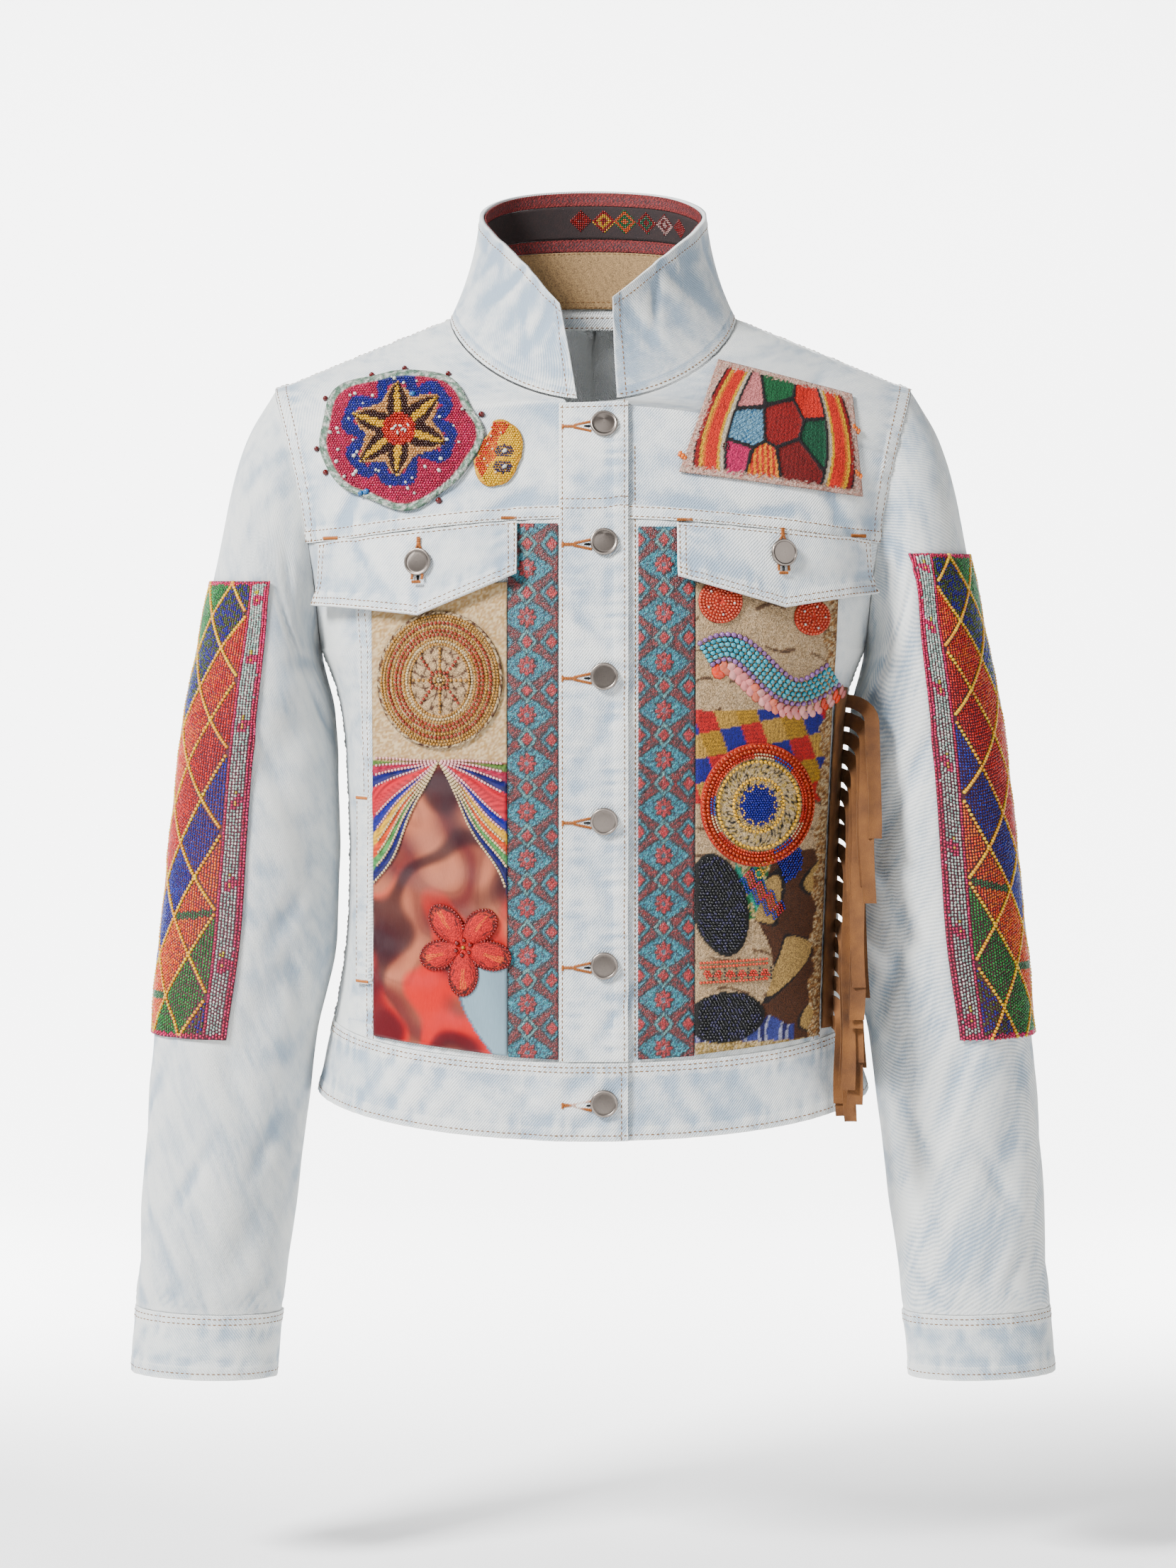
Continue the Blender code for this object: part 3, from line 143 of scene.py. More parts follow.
# Sleeve folds: section, angle, half_length in sections, half_width in degrees, depth, lean.
SLEEVE_FOLDS = (
    (4.2, 118, 1.0, 17, 4.2, 24), (5.6, 132, 0.8, 15, 3.6, -20), (7.6, 112, 0.8, 16, 3.6, 22),
    (9.3, 58, 0.8, 17, 3.0, -24), (10.3, 118, 0.7, 16, 3.4, 18), (3.4, -112, 1.1, 18, 4.0, -20),
    (6.4, -128, 0.9, 16, 3.6, 18), (9.8, -98, 0.9, 18, 3.4, -18), (1.7, 62, 0.7, 15, 2.6, 10),
)
SLEEVE_CREASES = (
    (2.6, 128, 0.5, 8, 3.1, 30), (3.4, 146, 0.5, 9, 3.1, -26), (4.9, 104, 0.5, 8, 2.6, -30),
    (6.6, 118, 0.5, 8, 3, 28), (8.5, 96, 0.6, 9, 3, -26), (9.1, 128, 0.5, 8, 3, 24),
    (10.9, 84, 0.5, 8, 2.6, -22), (11.3, 132, 0.4, 9, 2.6, 26), (8.2, 40, 0.6, 9, 2.2, 22),
    (10.2, 30, 0.6, 9, 2.4, -20), (1.0, 96, 0.5, 8, 2.4, -24), (9.6, 70, 0.4, 6, 2.3, 34),
    (10.7, 56, 0.4, 6, 2.2, -30), (11.4, 62, 0.3, 7, 2.2, 20), (1.4, 40, 0.6, 6, 1.8, 16),
    (2.2, 108, 0.4, 5, 2.2, -36), (7.4, 134, 0.4, 6, 2.4, -34), (8.9, 14, 0.5, 7, 1.9, 26),
    (11.0, 8, 0.5, 8, 1.9, -18), (2.4, -84, 0.6, 10, 2.2, 24),
    (4.8, -104, 0.6, 10, 2.4, -26), (5.6, -90, 0.5, 9, 2.3, 24), (7.4, -112, 0.6, 10, 2.2, -22),
    (8.6, -70, 0.6, 10, 1.9, 24), (11.0, -88, 0.5, 10, 1.9, -20), (10.8, -146, 0.5, 10, 1.8, 20),
)
CUFF_ROWS = (
    (289, -23, -621, 196, -23, -624, 32.8, 32, 0),
    (291, -24, -642, 198, -24, -645, 32, 31.5, 0),
    (292, -25, -662, 199.5, -25, -665, 31.5, 31, 0),
)
CUFF_WALL = 2.6
CUFF_LENGTH = 42.0
SLEEVE_SEAM_ANGLE = -68.0

COLLAR_EDGE = {LEFT: 6.4, RIGHT: 9.6}
RIM_ROWS = {
    LEFT: ((6.4, 21.3, -79, 5.3), (45, 46, -52, 33), (90, 71.8, 6, 65.4), (135, 52, 56, 83),
           (180, 0, 76, 88.7), (225, -52, 56, 83)),
    RIGHT: ((9.6, 12.3, -80, 9.2), (45, 44, -54, 35), (90, 71.8, 6, 65.4), (135, 52, 56, 83),
            (180, 0, 76, 88.7), (225, -52, 56, 83)),
}
COLLAR_WALL = 2.6
COLLAR_WAIST = 3.2
COLLAR_RISE = 1.2
BAND_GAP = 0.9
COLLAR_HEIGHT = 84.0
COLLAR_HALF_LENGTH = 275.0
COLLAR_FOLDS = {
    LEFT: ((40, 0.62, 9, 0.5, 4.2, 22), (62, 0.5, 8, 0.5, 3.6, 16), (112, 0.5, 12, 0.5, 2.0, 0)),
    RIGHT: ((42, 0.6, 9, 0.5, 4.2, 24), (66, 0.45, 8, 0.5, 3.4, 16), (118, 0.5, 12, 0.5, 2.0, 0)),
}
COLLAR_CREASES = {
    LEFT: ((24, 0.55, 4, 0.4, 3.5, 30), (50, 0.75, 4, 0.35, 3.2, 34), (80, 0.5, 5, 0.4, 2.6, 12),
           (15, 0.6, 2.5, 0.35, 2.2, 24), (33, 0.4, 2.5, 0.3, 2.4, -20), (70, 0.7, 3, 0.3, 2.2, 26)),
    RIGHT: ((26, 0.5, 4, 0.4, 3.5, 30), (54, 0.7, 4, 0.35, 3.2, 32), (84, 0.5, 5, 0.4, 2.6, 12),
            (17, 0.55, 2.5, 0.35, 2.2, 26), (36, 0.7, 2.5, 0.3, 2.4, -22), (68, 0.4, 3, 0.3, 2.2, 24)),
}

# Column lines of the body panels, at the band, yoke and shoulder levels.
SIDE_LINE = {FRONT: (140, 146, 160), BACK: (72, 100, 128)}
LAP_X = -15.0
LEFT_EDGE_X = -16.6
# Arc lengths up a front, and the levels that they reach.
LOW_RUN = ((0.0, 251.0, 328.0), (BAND, ARMPIT, YOKE))
YOKE_RUN = ((0.0, 72.0, 148.0), (YOKE, NECK, SHOULDER))
# Widths of cloth that the grids of the panels are spaced over, and the height of the hem band.
FRONT_WIDTH = 128.0
SIDE_FRONT_WIDTH = 27.0
YOKE_END_WIDTH = 32.0
BACK_WIDTH = 176.0
SHOULDER_WIDTH = 120.0
BACK_NECK_WIDTH = 110.0
BAND_HEIGHT = 48.0

PLACKET_X = (-20.7, 21.2)
PLACKET_LOW_Z = -457.5
PLACKET_TOP_Z = (-57, -56)
PLACKET_WALL = 2.0
BUTTON_X = 6.5
BUTTON_Z = (-70.5, -142, -222.5, -310, -398.5)
BAND_BUTTON_Z = -482.5

FLAP_COLUMNS = ("inner_x", "inner_z", "outer_x", "outer_z", "inner_low", "point_x", "point_z",
                "outer_low", "button_x", "button_z")
FLAP_ROWS = {
    LEFT: (-46, -129.5, -166, -141, -160.5, -104, -185.5, -177.5, -104.5, -154),
    RIGHT: (50.5, -130.5, 168, -139.5, -162, 113.5, -180.5, -170, 113.5, -148.5),
}
FLAP_SEAT = 2.6
FLAP_LIFT = 3.6
FLAP_KICK = 4.6
FLAP_FLAT = 0.5
FLAP_WALL = 2.0
FLAP_LENGTH = 40.0
FLAPS = {side: dict(zip(FLAP_COLUMNS, places)) for side, places in FLAP_ROWS.items()}

# Sky, floor, and the camera of the photo: its place, what it looks at, and its lens on a sensor
# 36 mm high. All but the lens are in metres.
SKY_STRENGTH = 0.26
FLOOR_Z = -0.79
CAMERA_PLACE = (-0.0032, -2.5975, -0.1796)
CAMERA_AIM = (-0.0032, 0, -0.293)
CAMERA_LENS = 94.03

# Depth map of the front, built once the body's functions are there.
MAP_STEP = 2.0
MAP_X = np.arange(-172.0, 172.5, MAP_STEP)
MAP_Z = np.arange(-512.0, -14.0, MAP_STEP)


def through(x, knots, values):
    """Smooth curve through the knots: a cubic between each two, sloped as their neighbours are."""
    knots = np.asarray(knots, float)
    values = np.asarray(values, float)
    x = np.clip(np.asarray(x, float), knots[0], knots[-1])
    slope = np.gradient(values, knots)
    i = np.clip(np.searchsorted(knots, x, side="right") - 1, 0, len(knots) - 2)
    step = knots[i + 1] - knots[i]
    t = (x - knots[i]) / step
    return (values[i] * (1 + 2 * t) * (1 - t) ** 2 + values[i + 1] * t * t * (3 - 2 * t)
            + step * (slope[i] * t * (1 - t) ** 2 + slope[i + 1] * t * t * (t - 1)))


def stack(x, y, z):
    """Points from three arrays of one shape."""
    return np.stack(np.broadcast_arrays(x, y, z), axis=-1)


def unit(v):
    """Vectors of length 1."""
    return v / np.maximum(np.linalg.norm(v, axis=-1, keepdims=True), 1e-9)


def smooth(t):
    """Ease from 0 to 1 as t does: t squared times (3 - 2 t)."""
    t = np.clip(t, 0, 1)
    return t * t * (3 - 2 * t)


def hermite(p0, m0, p1, m1, u):
    """Cubic from p0 to p1 that leaves along m0 and arrives along m1."""
    u = u[..., None]
    return (p0 * (1 + 2 * u) * (1 - u) ** 2 + p1 * u * u * (3 - 2 * u)
            + m0 * u * (1 - u) ** 2 + m1 * u * u * (u - 1))


def along_across(x, z, middle_x, middle_z, angle):
    """Distances of a place along and across a line through a middle, at an angle in radians."""
    c, sn = math.cos(angle), math.sin(angle)
    return (x - middle_x) * c + (z - middle_z) * sn, (z - middle_z) * c - (x - middle_x) * sn


def run_of(path):
    """Distance along a path from its first point to each of its points."""
    return np.concatenate(((0.0,), np.cumsum(np.linalg.norm(np.diff(path, axis=0), axis=1))))


def read_off(places, run, values):
    """Values given at each point of a path, read off at places along it."""
    return np.stack([np.interp(places, run, column) for column in values.T], axis=1)


def ripple(a, b, size, seed):
    """Unevenness of worn cloth, about 1 deep: seven slanting sine waves of unlike lengths, added."""
    waves = np.random.default_rng(seed)
    total = 0 * a
    for _ in range(7):
        heading = waves.uniform(0, math.pi)
        length, phase = size * waves.uniform(0.6, 1.9), waves.uniform(0, 7)
        total = total + np.sin(2 * math.pi * (a * math.cos(heading) + b * math.sin(heading)) / length + phase)
    return total / 3.5


def neck_loop(angle):
    """The neck seam, by its angle in degrees from the front, on the +X side."""
    a = np.radians(angle)
    c = np.cos(a)
    y = NECK_MID_Y - np.where(c > 0, NECK_FRONT_REACH, NECK_BACK_REACH) * c
    z = np.where(c > 0, -NECK_FRONT_DROP * np.maximum(c, 0) ** 1.3, NECK_BACK_RISE * c * c)
    return stack(NECK_HALF * np.sin(a), y, z)


def section(rows, s, angle):
    """Point of a tube on the +X side: an ellipse through each section's outer and inner points."""
    columns = zip(SLEEVE_COLUMNS, np.asarray(rows, float).T)
    at = {name: through(s, np.arange(len(rows)), column) for name, column in columns}
    a = np.radians(angle)
    c, sn = np.cos(a), np.sin(a)
    x, y, z = ((at["outer_" + k] + at["inner_" + k]) / 2 + (at["outer_" + k] - at["inner_" + k]) / 2 * c
               for k in "xyz")
    depth = np.where(sn > 0, at["front"], at["back"])
    return stack(x - at["scoop"] * sn * sn, y - depth * sn, z)


def armhole(face, v):
    """Where a level line meets the armhole."""
    angle = np.interp(v, LEVELS[ARMPIT:], ARMHOLE_ANGLE[face])
    sign = 1 if face == FRONT else -1
    return section(SLEEVE_ROWS, np.zeros_like(v), sign * angle)


def level_line(face, v):
    """Both ends of the level lines, and the directions in which they leave and arrive."""
    way = -1 if face == FRONT else 1
    heights, front, back = np.asarray(PROFILE, float).T
    centre_z = np.interp(v, LEVELS[:NECK + 1], CENTRE_Z[face])
    depth = through(centre_z, heights, front if face == FRONT else back)
    turn = np.clip(v - NECK, 0, 1)
    neck = neck_loop(90 * turn if face == FRONT else 180 - 90 * turn)
    begin = np.where((v > NECK)[..., None], neck, stack(0 * v, way * depth, centre_z))
    side_z = np.interp(v, LEVELS[:ARMPIT + 1], SIDE_Z)
    width = through(side_z, *np.asarray(WIDTHS, float).T)
    low = (v <= ARMPIT)[..., None]
    end = np.where(low, stack(width, SIDE_SEAM_Y + 0 * v, side_z), armhole(face, v))
    upper = LEVELS[ARMPIT:]
    arrive = np.stack([np.interp(v, upper, column) for column in zip(*ARMHOLE_WAY[face])], axis=-1)
    reach = np.interp(v, upper, ARMHOLE_REACH)[..., None]
    side_reach = (ROUNDNESS * (depth - way * SIDE_SEAM_Y))[..., None]
    arrive = np.where(low, stack(0 * v, -way + 0 * v, 0 * v) * side_reach, unit(arrive) * reach)
    lead = np.array((1.0, 0.0, 0.0)) * (1 - turn[..., None]) + np.array(SHOULDER_LINE) * turn[..., None]
    centre_reach = np.interp(v, upper, CENTRE_REACH)[..., None]
    leave = unit(lead) * np.where(low, ROUNDNESS * width[..., None], centre_reach)
    return begin, leave, end, arrive


def fold_depth(face, x, z):
    """How far the folds and creases press the body in at a place, each a soft oval trough."""
    depth = 0 * x
    for where, fold_x, fold_z, length, width, deep, lean in BODY_FOLDS + BODY_CREASES:
        if where == face:
            along, across = along_across(z, x, fold_z, fold_x, math.radians(lean))
            depth = depth + deep * np.exp(-(along / length) ** 2 - (across / width) ** 2)
    return depth + 0.35 * ripple(x, z, 60, 3)


def body(face, side, u, v):
    """Point of the body: u from the centre to the side, v the level. Folds press it in."""
    u, v = np.broadcast_arrays(np.asarray(u, float), np.asarray(v, float))
    p = hermite(*level_line(face, v), np.abs(u))
    x = side * np.where(u < 0, -1, 1) * p[..., 0]
    inward = 1 if face == FRONT else -1
    fade = np.clip((1 - np.abs(u)) * 6, 0, 1)
    return stack(x, p[..., 1] + inward * fade * fold_depth(face, x, p[..., 2]), p[..., 2])


def u_at(face, x, v):
    """The parameter u at which each level line reaches the distance x from the centre."""
    v = np.asarray(v, float)
    fine = np.linspace(0, 1, 121)
    ends = (end[:, None] for end in level_line(face, v))
    reach = hermite(*ends, np.broadcast_to(fine, (len(v), len(fine))))[..., 0]
    return np.array([np.interp(goal, line, fine) for goal, line in zip(np.broadcast_to(x, v.shape), reach)])


def side_line(face, v):
    """The parameter u of the seam between the centre panel and the side panel."""
    return u_at(face, np.interp(v, (BAND, YOKE, SHOULDER), SIDE_LINE[face]), v)


def edge_line(side, v):
    """Where a front's inner edge runs: under the placket up to the neck, then along the neckline."""
    u = u_at(FRONT, abs(LEFT_EDGE_X if side == LEFT else LAP_X), v)
    return u if side == LEFT else np.where(v > NECK, 0.0, -u)


def front_map():
    """Depth of the front over an even grid of x and z, read off its level lines."""
    u, v = np.linspace(0, 1, 161), np.linspace(HEM, SHOULDER, 321)
    depth = np.empty((len(MAP_X), len(MAP_Z)))
    for side in (LEFT, RIGHT):
        lines = body(FRONT, side, u[None, :], v[:, None])
        reach = np.abs(lines[..., 0])
        for i in np.flatnonzero(MAP_X < 0 if side == LEFT else MAP_X >= 0):
            goal = abs(MAP_X[i])
            rows = np.flatnonzero((reach[:, 0] <= goal + 1e-6) & (reach[:, -1] >= goal))
            k = np.clip((reach[rows] < goal).sum(axis=1), 1, reach.shape[1] - 1)
            near, far = reach[rows, k - 1], reach[rows, k]
            t = ((goal - near) / (far - near))[:, None]
            line = lines[rows, k - 1] * (1 - t) + lines[rows, k] * t
            depth[i] = np.interp(MAP_Z, line[:, 2], line[:, 1])
    return depth


FRONT_DEPTH = front_map()


def front_depth(x, z):
    """Depth of the front at x and z, between the four nearest points of its map."""
    fx, fz = (x - MAP_X[0]) / MAP_STEP, (z - MAP_Z[0]) / MAP_STEP
    i = np.clip(np.floor(fx).astype(int), 0, len(MAP_X) - 2)
    j = np.clip(np.floor(fz).astype(int), 0, len(MAP_Z) - 2)
    a, b = np.clip(fx - i, 0, 1), np.clip(fz - j, 0, 1)
    low = FRONT_DEPTH[i, j] * (1 - a) + FRONT_DEPTH[i + 1, j] * a
    high = FRONT_DEPTH[i, j + 1] * (1 - a) + FRONT_DEPTH[i + 1, j + 1] * a
    return low * (1 - b) + high * b


def front_way(x, z):
    """Outward direction of the front at x and z, from how its depth changes over 3 mm."""
    step = 1.5
    across = (front_depth(x + step, z) - front_depth(x - step, z)) / (2 * step)
    up = (front_depth(x, z + step) - front_depth(x, z - step)) / (2 * step)
    return unit(stack(across, -1 + 0 * across, up))


def on_front(x, z, lift=0.0):
    """Point over the front surface at x and z, moved out by lift."""
    x, z, lift = np.broadcast_arrays(np.asarray(x, float), np.asarray(z, float), np.asarray(lift, float))
    return stack(x, front_depth(x, z), z) + front_way(x, z) * lift[..., None]


def sleeve(side, s, angle, rows=SLEEVE_ROWS, lift=0.0):
    """Point of a sleeve or cuff, moved out from its section's middle by lift."""
    s, angle = np.broadcast_arrays(np.asarray(s, float), np.asarray(angle, float))
    p = section(rows, s, angle)
    middle = (section(rows, s, 0 * angle) + section(rows, s, 180 + 0 * angle)) / 2
    fold = 0 * s
    if rows is SLEEVE_ROWS:
        for at, turn, length, width, depth, lean in SLEEVE_FOLDS + SLEEVE_CREASES:
            off = (angle - turn + lean * (s - at) + 180) % 360 - 180
            fold = fold + depth * np.exp(-((s - at) / length) ** 2 - (off / width) ** 2)
        around = np.radians(angle)
        fold = fold + 0.45 * ripple(60 * np.sin(around) + side * 9, 48 * s + 60 * np.cos(around), 70, 8)
        fold = fold * np.clip(s, 0, 1) * np.clip(len(rows) - 1 - s, 0, 1)
    p = p + unit(middle - p) * (fold - lift)[..., None]
    return p * np.array((side, 1, 1))


def collar(side, angle, h, inside=0.0):
    """Point of the standing collar: angle round the neck, h from the neck seam to the rim."""
    angle, h = np.broadcast_arrays(np.asarray(angle, float), np.asarray(h, float))
    knots, rim_x, rim_y, rim_z = np.asarray(RIM_ROWS[side], float).T
    base = neck_loop(angle) + np.array((0, 0, COLLAR_RISE))
    rim = stack(through(angle, knots, rim_x), through(angle, knots, rim_y), through(angle, knots, rim_z))
    p = base + (rim - base) * h[..., None]
    inward = unit((np.array((0, NECK_MID_Y, 0)) - p) * np.array((1, 1, 0)))
    fold = COLLAR_WAIST * 4 * h * (1 - h)
    for turn, at, wide, tall, depth, lean in COLLAR_FOLDS[side] + COLLAR_CREASES[side]:
        off = angle - turn + lean * (h - at)
        fold = fold + depth * h * np.exp(-(off / wide) ** 2 - ((h - at) / tall) ** 2)
    p = p + inward * (fold + inside)[..., None]
    return p * np.array((side, 1, 1))


# Colours: spread from grey, power, scale and limits that turn screen levels into an albedo.
TINT_SPREAD = 1.3
TINT_POWER = 1.25
TINT_SCALE = 0.46
TINT_LIMITS = (0.002, 0.8)


def tint(*levels):
    """Albedo that, in this studio's light, comes near the given 0 to 255 levels on a screen."""
    c = np.asarray(levels, float) / 255
    linear = np.where(c <= 0.04045, c / 12.92, ((c + 0.055) / 1.055) ** 2.4)
    grey = linear.mean()
    spread = np.maximum(grey + TINT_SPREAD * (linear - grey), 0.0)
    return np.clip(TINT_SCALE * spread ** TINT_POWER, *TINT_LIMITS)


def add(tree, kind, inputs=None, **settings):
    """New node with its settings, its inputs linked or set; gives its first output."""
    made = tree.nodes.new(kind)
    for key, value in settings.items():
        setattr(made, key, value)
    for key, value in (inputs or {}).items():
        if isinstance(value, bpy.types.NodeSocket):
            tree.links.new(value, made.inputs[key])
        else:
            made.inputs[key].default_value = value
    return made.outputs[0]


def calc(tree, operation, *values):
    """Math node."""
    return add(tree, "ShaderNodeMath", dict(enumerate(values)), operation=operation)


def limited(tree, value, low, high):
    """Value kept between two others."""
    return calc(tree, "MAXIMUM", calc(tree, "MINIMUM", value, high), low)


def blend(tree, share, first, second):
    """Colour between two others."""
    return add(tree, "ShaderNodeMixRGB", {0: share, 1: first, 2: second})


def rgba(colour):
    """Colour with its alpha."""
    return (*[float(c) for c in colour], 1.0)


def noise(tree, vector, scale, detail=2.0, stretch=None):
    """Noise between 0 and 1, in cells of 1 / scale of the vector's unit."""
    if stretch:
        vector = add(tree, "ShaderNodeMapping", {"Vector": vector, "Scale": stretch})
    return add(tree, "ShaderNodeTexNoise", {"Vector": vector, "Scale": scale, "Detail": detail})


def start(name, roughness, **sockets):
    """New material, its tree and its shader, with plain values set on the shader."""
    made = bpy.data.materials.new(name)
    made.use_nodes = True
    shader = made.node_tree.nodes["Principled BSDF"]
    shader.inputs["Roughness"].default_value = roughness
    for key, value in sockets.items():
        shader.inputs[key.replace("_", " ")].default_value = value
    return made, made.node_tree, shader


def bump(tree, shader, height, distance):
    """Bump of the shader, in metres."""
    normal = add(tree, "ShaderNodeBump", {"Height": height, "Distance": distance})
    tree.links.new(normal, shader.inputs["Normal"])


def place_on(tree):
    """Place on the object, in metres."""
    return add(tree, "ShaderNodeTexCoord").node.outputs["Object"]


def lay_chart(tree, shader, shade):
    """Colour the shader by the object's chart, made darker or paler by a shade."""
    colour = add(tree, "ShaderNodeAttribute", attribute_name="chart")
    shaded = add(tree, "ShaderNodeVectorMath", {0: colour, "Scale": shade}, operation="SCALE")
    tree.links.new(shaded, shader.inputs["Base Color"])


def denim(name):
    """Bleached twill: slanting wales over blurred blue and cream, with painted shade making it bluer in its
    hollows.

    It is paler on its ridges, partly with wear and partly as painted highlight, and where its seams have
    paled with wear. Its inner face is paler and greyer.
    """
    made, tree, shader = start(name, 0.88, Sheen_Weight=0.08, Sheen_Roughness=0.5)
    uv = add(tree, "ShaderNodeUVMap", uv_map="cloth")
    split = add(tree, "ShaderNodeSeparateXYZ", {0: uv}).node
    slant = calc(tree, "MULTIPLY_ADD", split.outputs[1], -0.8, split.outputs[0])
    wobble = noise(tree, uv, 3.0, 1.0)
    wale = calc(tree, "SINE", calc(tree, "MULTIPLY_ADD", slant, 36.0, calc(tree, "MULTIPLY", wobble, 2.4)))
    slub = noise(tree, uv, 1.0, 3.0, (14.0, 1.6, 1.0))
    pick = noise(tree, uv, 1.0, 2.0, (1.6, 18.0, 1.0))
    wash = noise(tree, uv, 0.22, 3.0)
    cloud = noise(tree, uv, 1.1, 3.0)
    wear = add(tree, "ShaderNodeAttribute", attribute_name="wear")
    pale, inner, blue_wear_and_shade = add(tree, "ShaderNodeSeparateColor", {0: wear}).node.outputs[:3]

    blue = calc(tree, "MULTIPLY_ADD", wash, 2.4, -0.88)
    for cells, share in ((cloud, 1.1), (slub, 0.6), (pick, 0.4)):
        blue = calc(tree, "ADD", blue, calc(tree, "MULTIPLY_ADD", cells, share, -share / 2))
    # The wear attribute's pale channel holds paled seam edges and painted highlight on crease ridges. Its
    # blue channel holds wear and painted shade beside seams, in crease hollows and over the whole collar.
    for value, share in ((wale, -0.3), (pale, -0.55), (blue_wear_and_shade, 0.9)):
        blue = calc(tree, "MULTIPLY_ADD", value, share, blue)
    # Painted shade: concave places, read off the pointiness, are made bluer. Convex ones are made paler,
    # partly as painted highlight and partly as wear on edges.
    bend = add(tree, "ShaderNodeNewGeometry").node.outputs["Pointiness"]
    concave_shade = calc(tree, "MULTIPLY", calc(tree, "SUBTRACT", 0.5, bend), 16.0)
    blue = limited(tree, calc(tree, "ADD", blue, limited(tree, concave_shade, -0.3, 1.0)), 0.0, 1.0)
    face = blend(tree, blue, rgba((0.63, 0.645, 0.63)), rgba((0.24, 0.315, 0.40)))
    back = blend(tree, slub, rgba((0.66, 0.66, 0.63)), rgba((0.48, 0.52, 0.56)))
    tree.links.new(blend(tree, inner, face, back), shader.inputs["Base Color"])
    height = calc(tree, "ADD", calc(tree, "MULTIPLY", wale, 0.4), calc(tree, "ADD", slub, pick))
    bump(tree, shader, height, 0.00032)
    return made


def charted(name, roughness, grain, depth, vary=0.35, **sockets):
    """Cloth whose colours come from its chart: cells of thread or small beads with a domed bump, and painted
    light on each cell, paler at its middle and darker towards its edge.
    """
    made, tree, shader = start(name, roughness, **sockets)
    cells = add(tree, "ShaderNodeTexVoronoi", {"Vector": place_on(tree), "Scale": grain}).node
    tone = add(tree, "ShaderNodeSeparateColor", {0: cells.outputs["Color"]})
    shade = calc(tree, "MULTIPLY_ADD", tone, vary * 2, 1 - vary)
    # Painted light: each cell paler at its middle and darker towards its edge.
    cell_shade = calc(tree, "MULTIPLY_ADD", cells.outputs["Distance"], -0.9, 1.25)
    lay_chart(tree, shader, calc(tree, "MULTIPLY", shade, cell_shade))
    bump(tree, shader, calc(tree, "SUBTRACT", 1.0, cells.outputs["Distance"]), depth)
    return made


def thread(name, colour):
    """Sewing thread: one colour with paler and darker strands."""
    made, tree, shader = start(name, 0.65, Sheen_Weight=0.05)
    strand = noise(tree, place_on(tree), 900.0, 2.0)
    dark, pale = rgba(colour * 0.62), rgba(np.minimum(colour * 1.25, 1))
    tree.links.new(blend(tree, strand, dark, pale), shader.inputs["Base Color"])
    bump(tree, shader, strand, 0.0002)
    return made


def glass_beads(name):
    """Glass seed beads: the chart's colour, glossy, with a clear coat."""
    made, tree, shader = start(name, 0.26, Coat_Weight=0.2, Coat_Roughness=0.1, Specular_IOR_Level=0.3)
    cloud = noise(tree, place_on(tree), 420.0, 1.0)
    lay_chart(tree, shader, calc(tree, "MULTIPLY_ADD", cloud, 0.5, 0.75))
    return made


def satin(name):
    """Printed satin: the chart's colour with a soft gloss and fine threads."""
    made, tree, shader = start(name, 0.36, Anisotropic=0.5, Specular_IOR_Level=0.3)
    fibre = noise(tree, place_on(tree), 1.0, 2.0, (2400.0, 2400.0, 160.0))
    lay_chart(tree, shader, calc(tree, "MULTIPLY_ADD", fibre, 0.3, 0.86))
    bump(tree, shader, fibre, 0.00008)
    return made


def suede(name):
    """Caramel suede: brushed nap in soft darker and paler clouds."""
    made, tree, shader = start(name, 0.92, Sheen_Weight=0.08, Sheen_Roughness=0.4)
    shader.inputs["Sheen Tint"].default_value = (0.8, 0.5, 0.2, 1)
    place = place_on(tree)
    nap, cloud = noise(tree, place, 1400.0, 3.0), noise(tree, place, 60.0, 3.0)
    mixed = calc(tree, "ADD", calc(tree, "MULTIPLY", nap, 0.4), calc(tree, "MULTIPLY_ADD", cloud, 1.5, -0.5))
    colour = blend(tree, mixed, rgba((0.05, 0.016, 0.003)), rgba((0.175, 0.064, 0.011)))
    tree.links.new(colour, shader.inputs["Base Color"])
    bump(tree, shader, nap, 0.0003)
    return made


def gunmetal(name):
    """Brown gunmetal with a brushed face and a rim made paler by painted highlight, from its chart."""
    made, tree, shader = start(name, 0.34, Metallic=1.0, Anisotropic=0.4)
    brush = noise(tree, place_on(tree), 1.0, 3.0, (5000.0, 5000.0, 500.0))
    lay_chart(tree, shader, calc(tree, "MULTIPLY_ADD", brush, 0.35, 0.82))
    bump(tree, shader, brush, 0.00004)
    return made


MAKERS = {
    "denim": denim,
    "braid": lambda name: charted(name, 0.5, 1050.0, 0.0005),
    "stitched": lambda name: charted(name, 0.7, 1300.0, 0.0004, Specular_IOR_Level=0.25),
    "plain_weave": lambda name: charted(name, 0.9, 1500.0, 0.0002, 0.15),
    "satin": satin,
    "beads": glass_beads,
    "tan_thread": lambda name: thread(name, tint(168, 130, 82)),
    "gold_thread": lambda name: thread(name, tint(216, 148, 62)),
    "suede": suede,
    "gunmetal": gunmetal,
}
SLOTS = {"tan_thread": "denim", "gold_thread": "denim", "stitched": "collage", "plain_weave": "canvas",
         "gunmetal": "button_metal"}


def finish_of(name):
    """The material of that name, made at its first use."""
    return bpy.data.materials.get(name + "_finish") or MAKERS[name](name + "_finish")


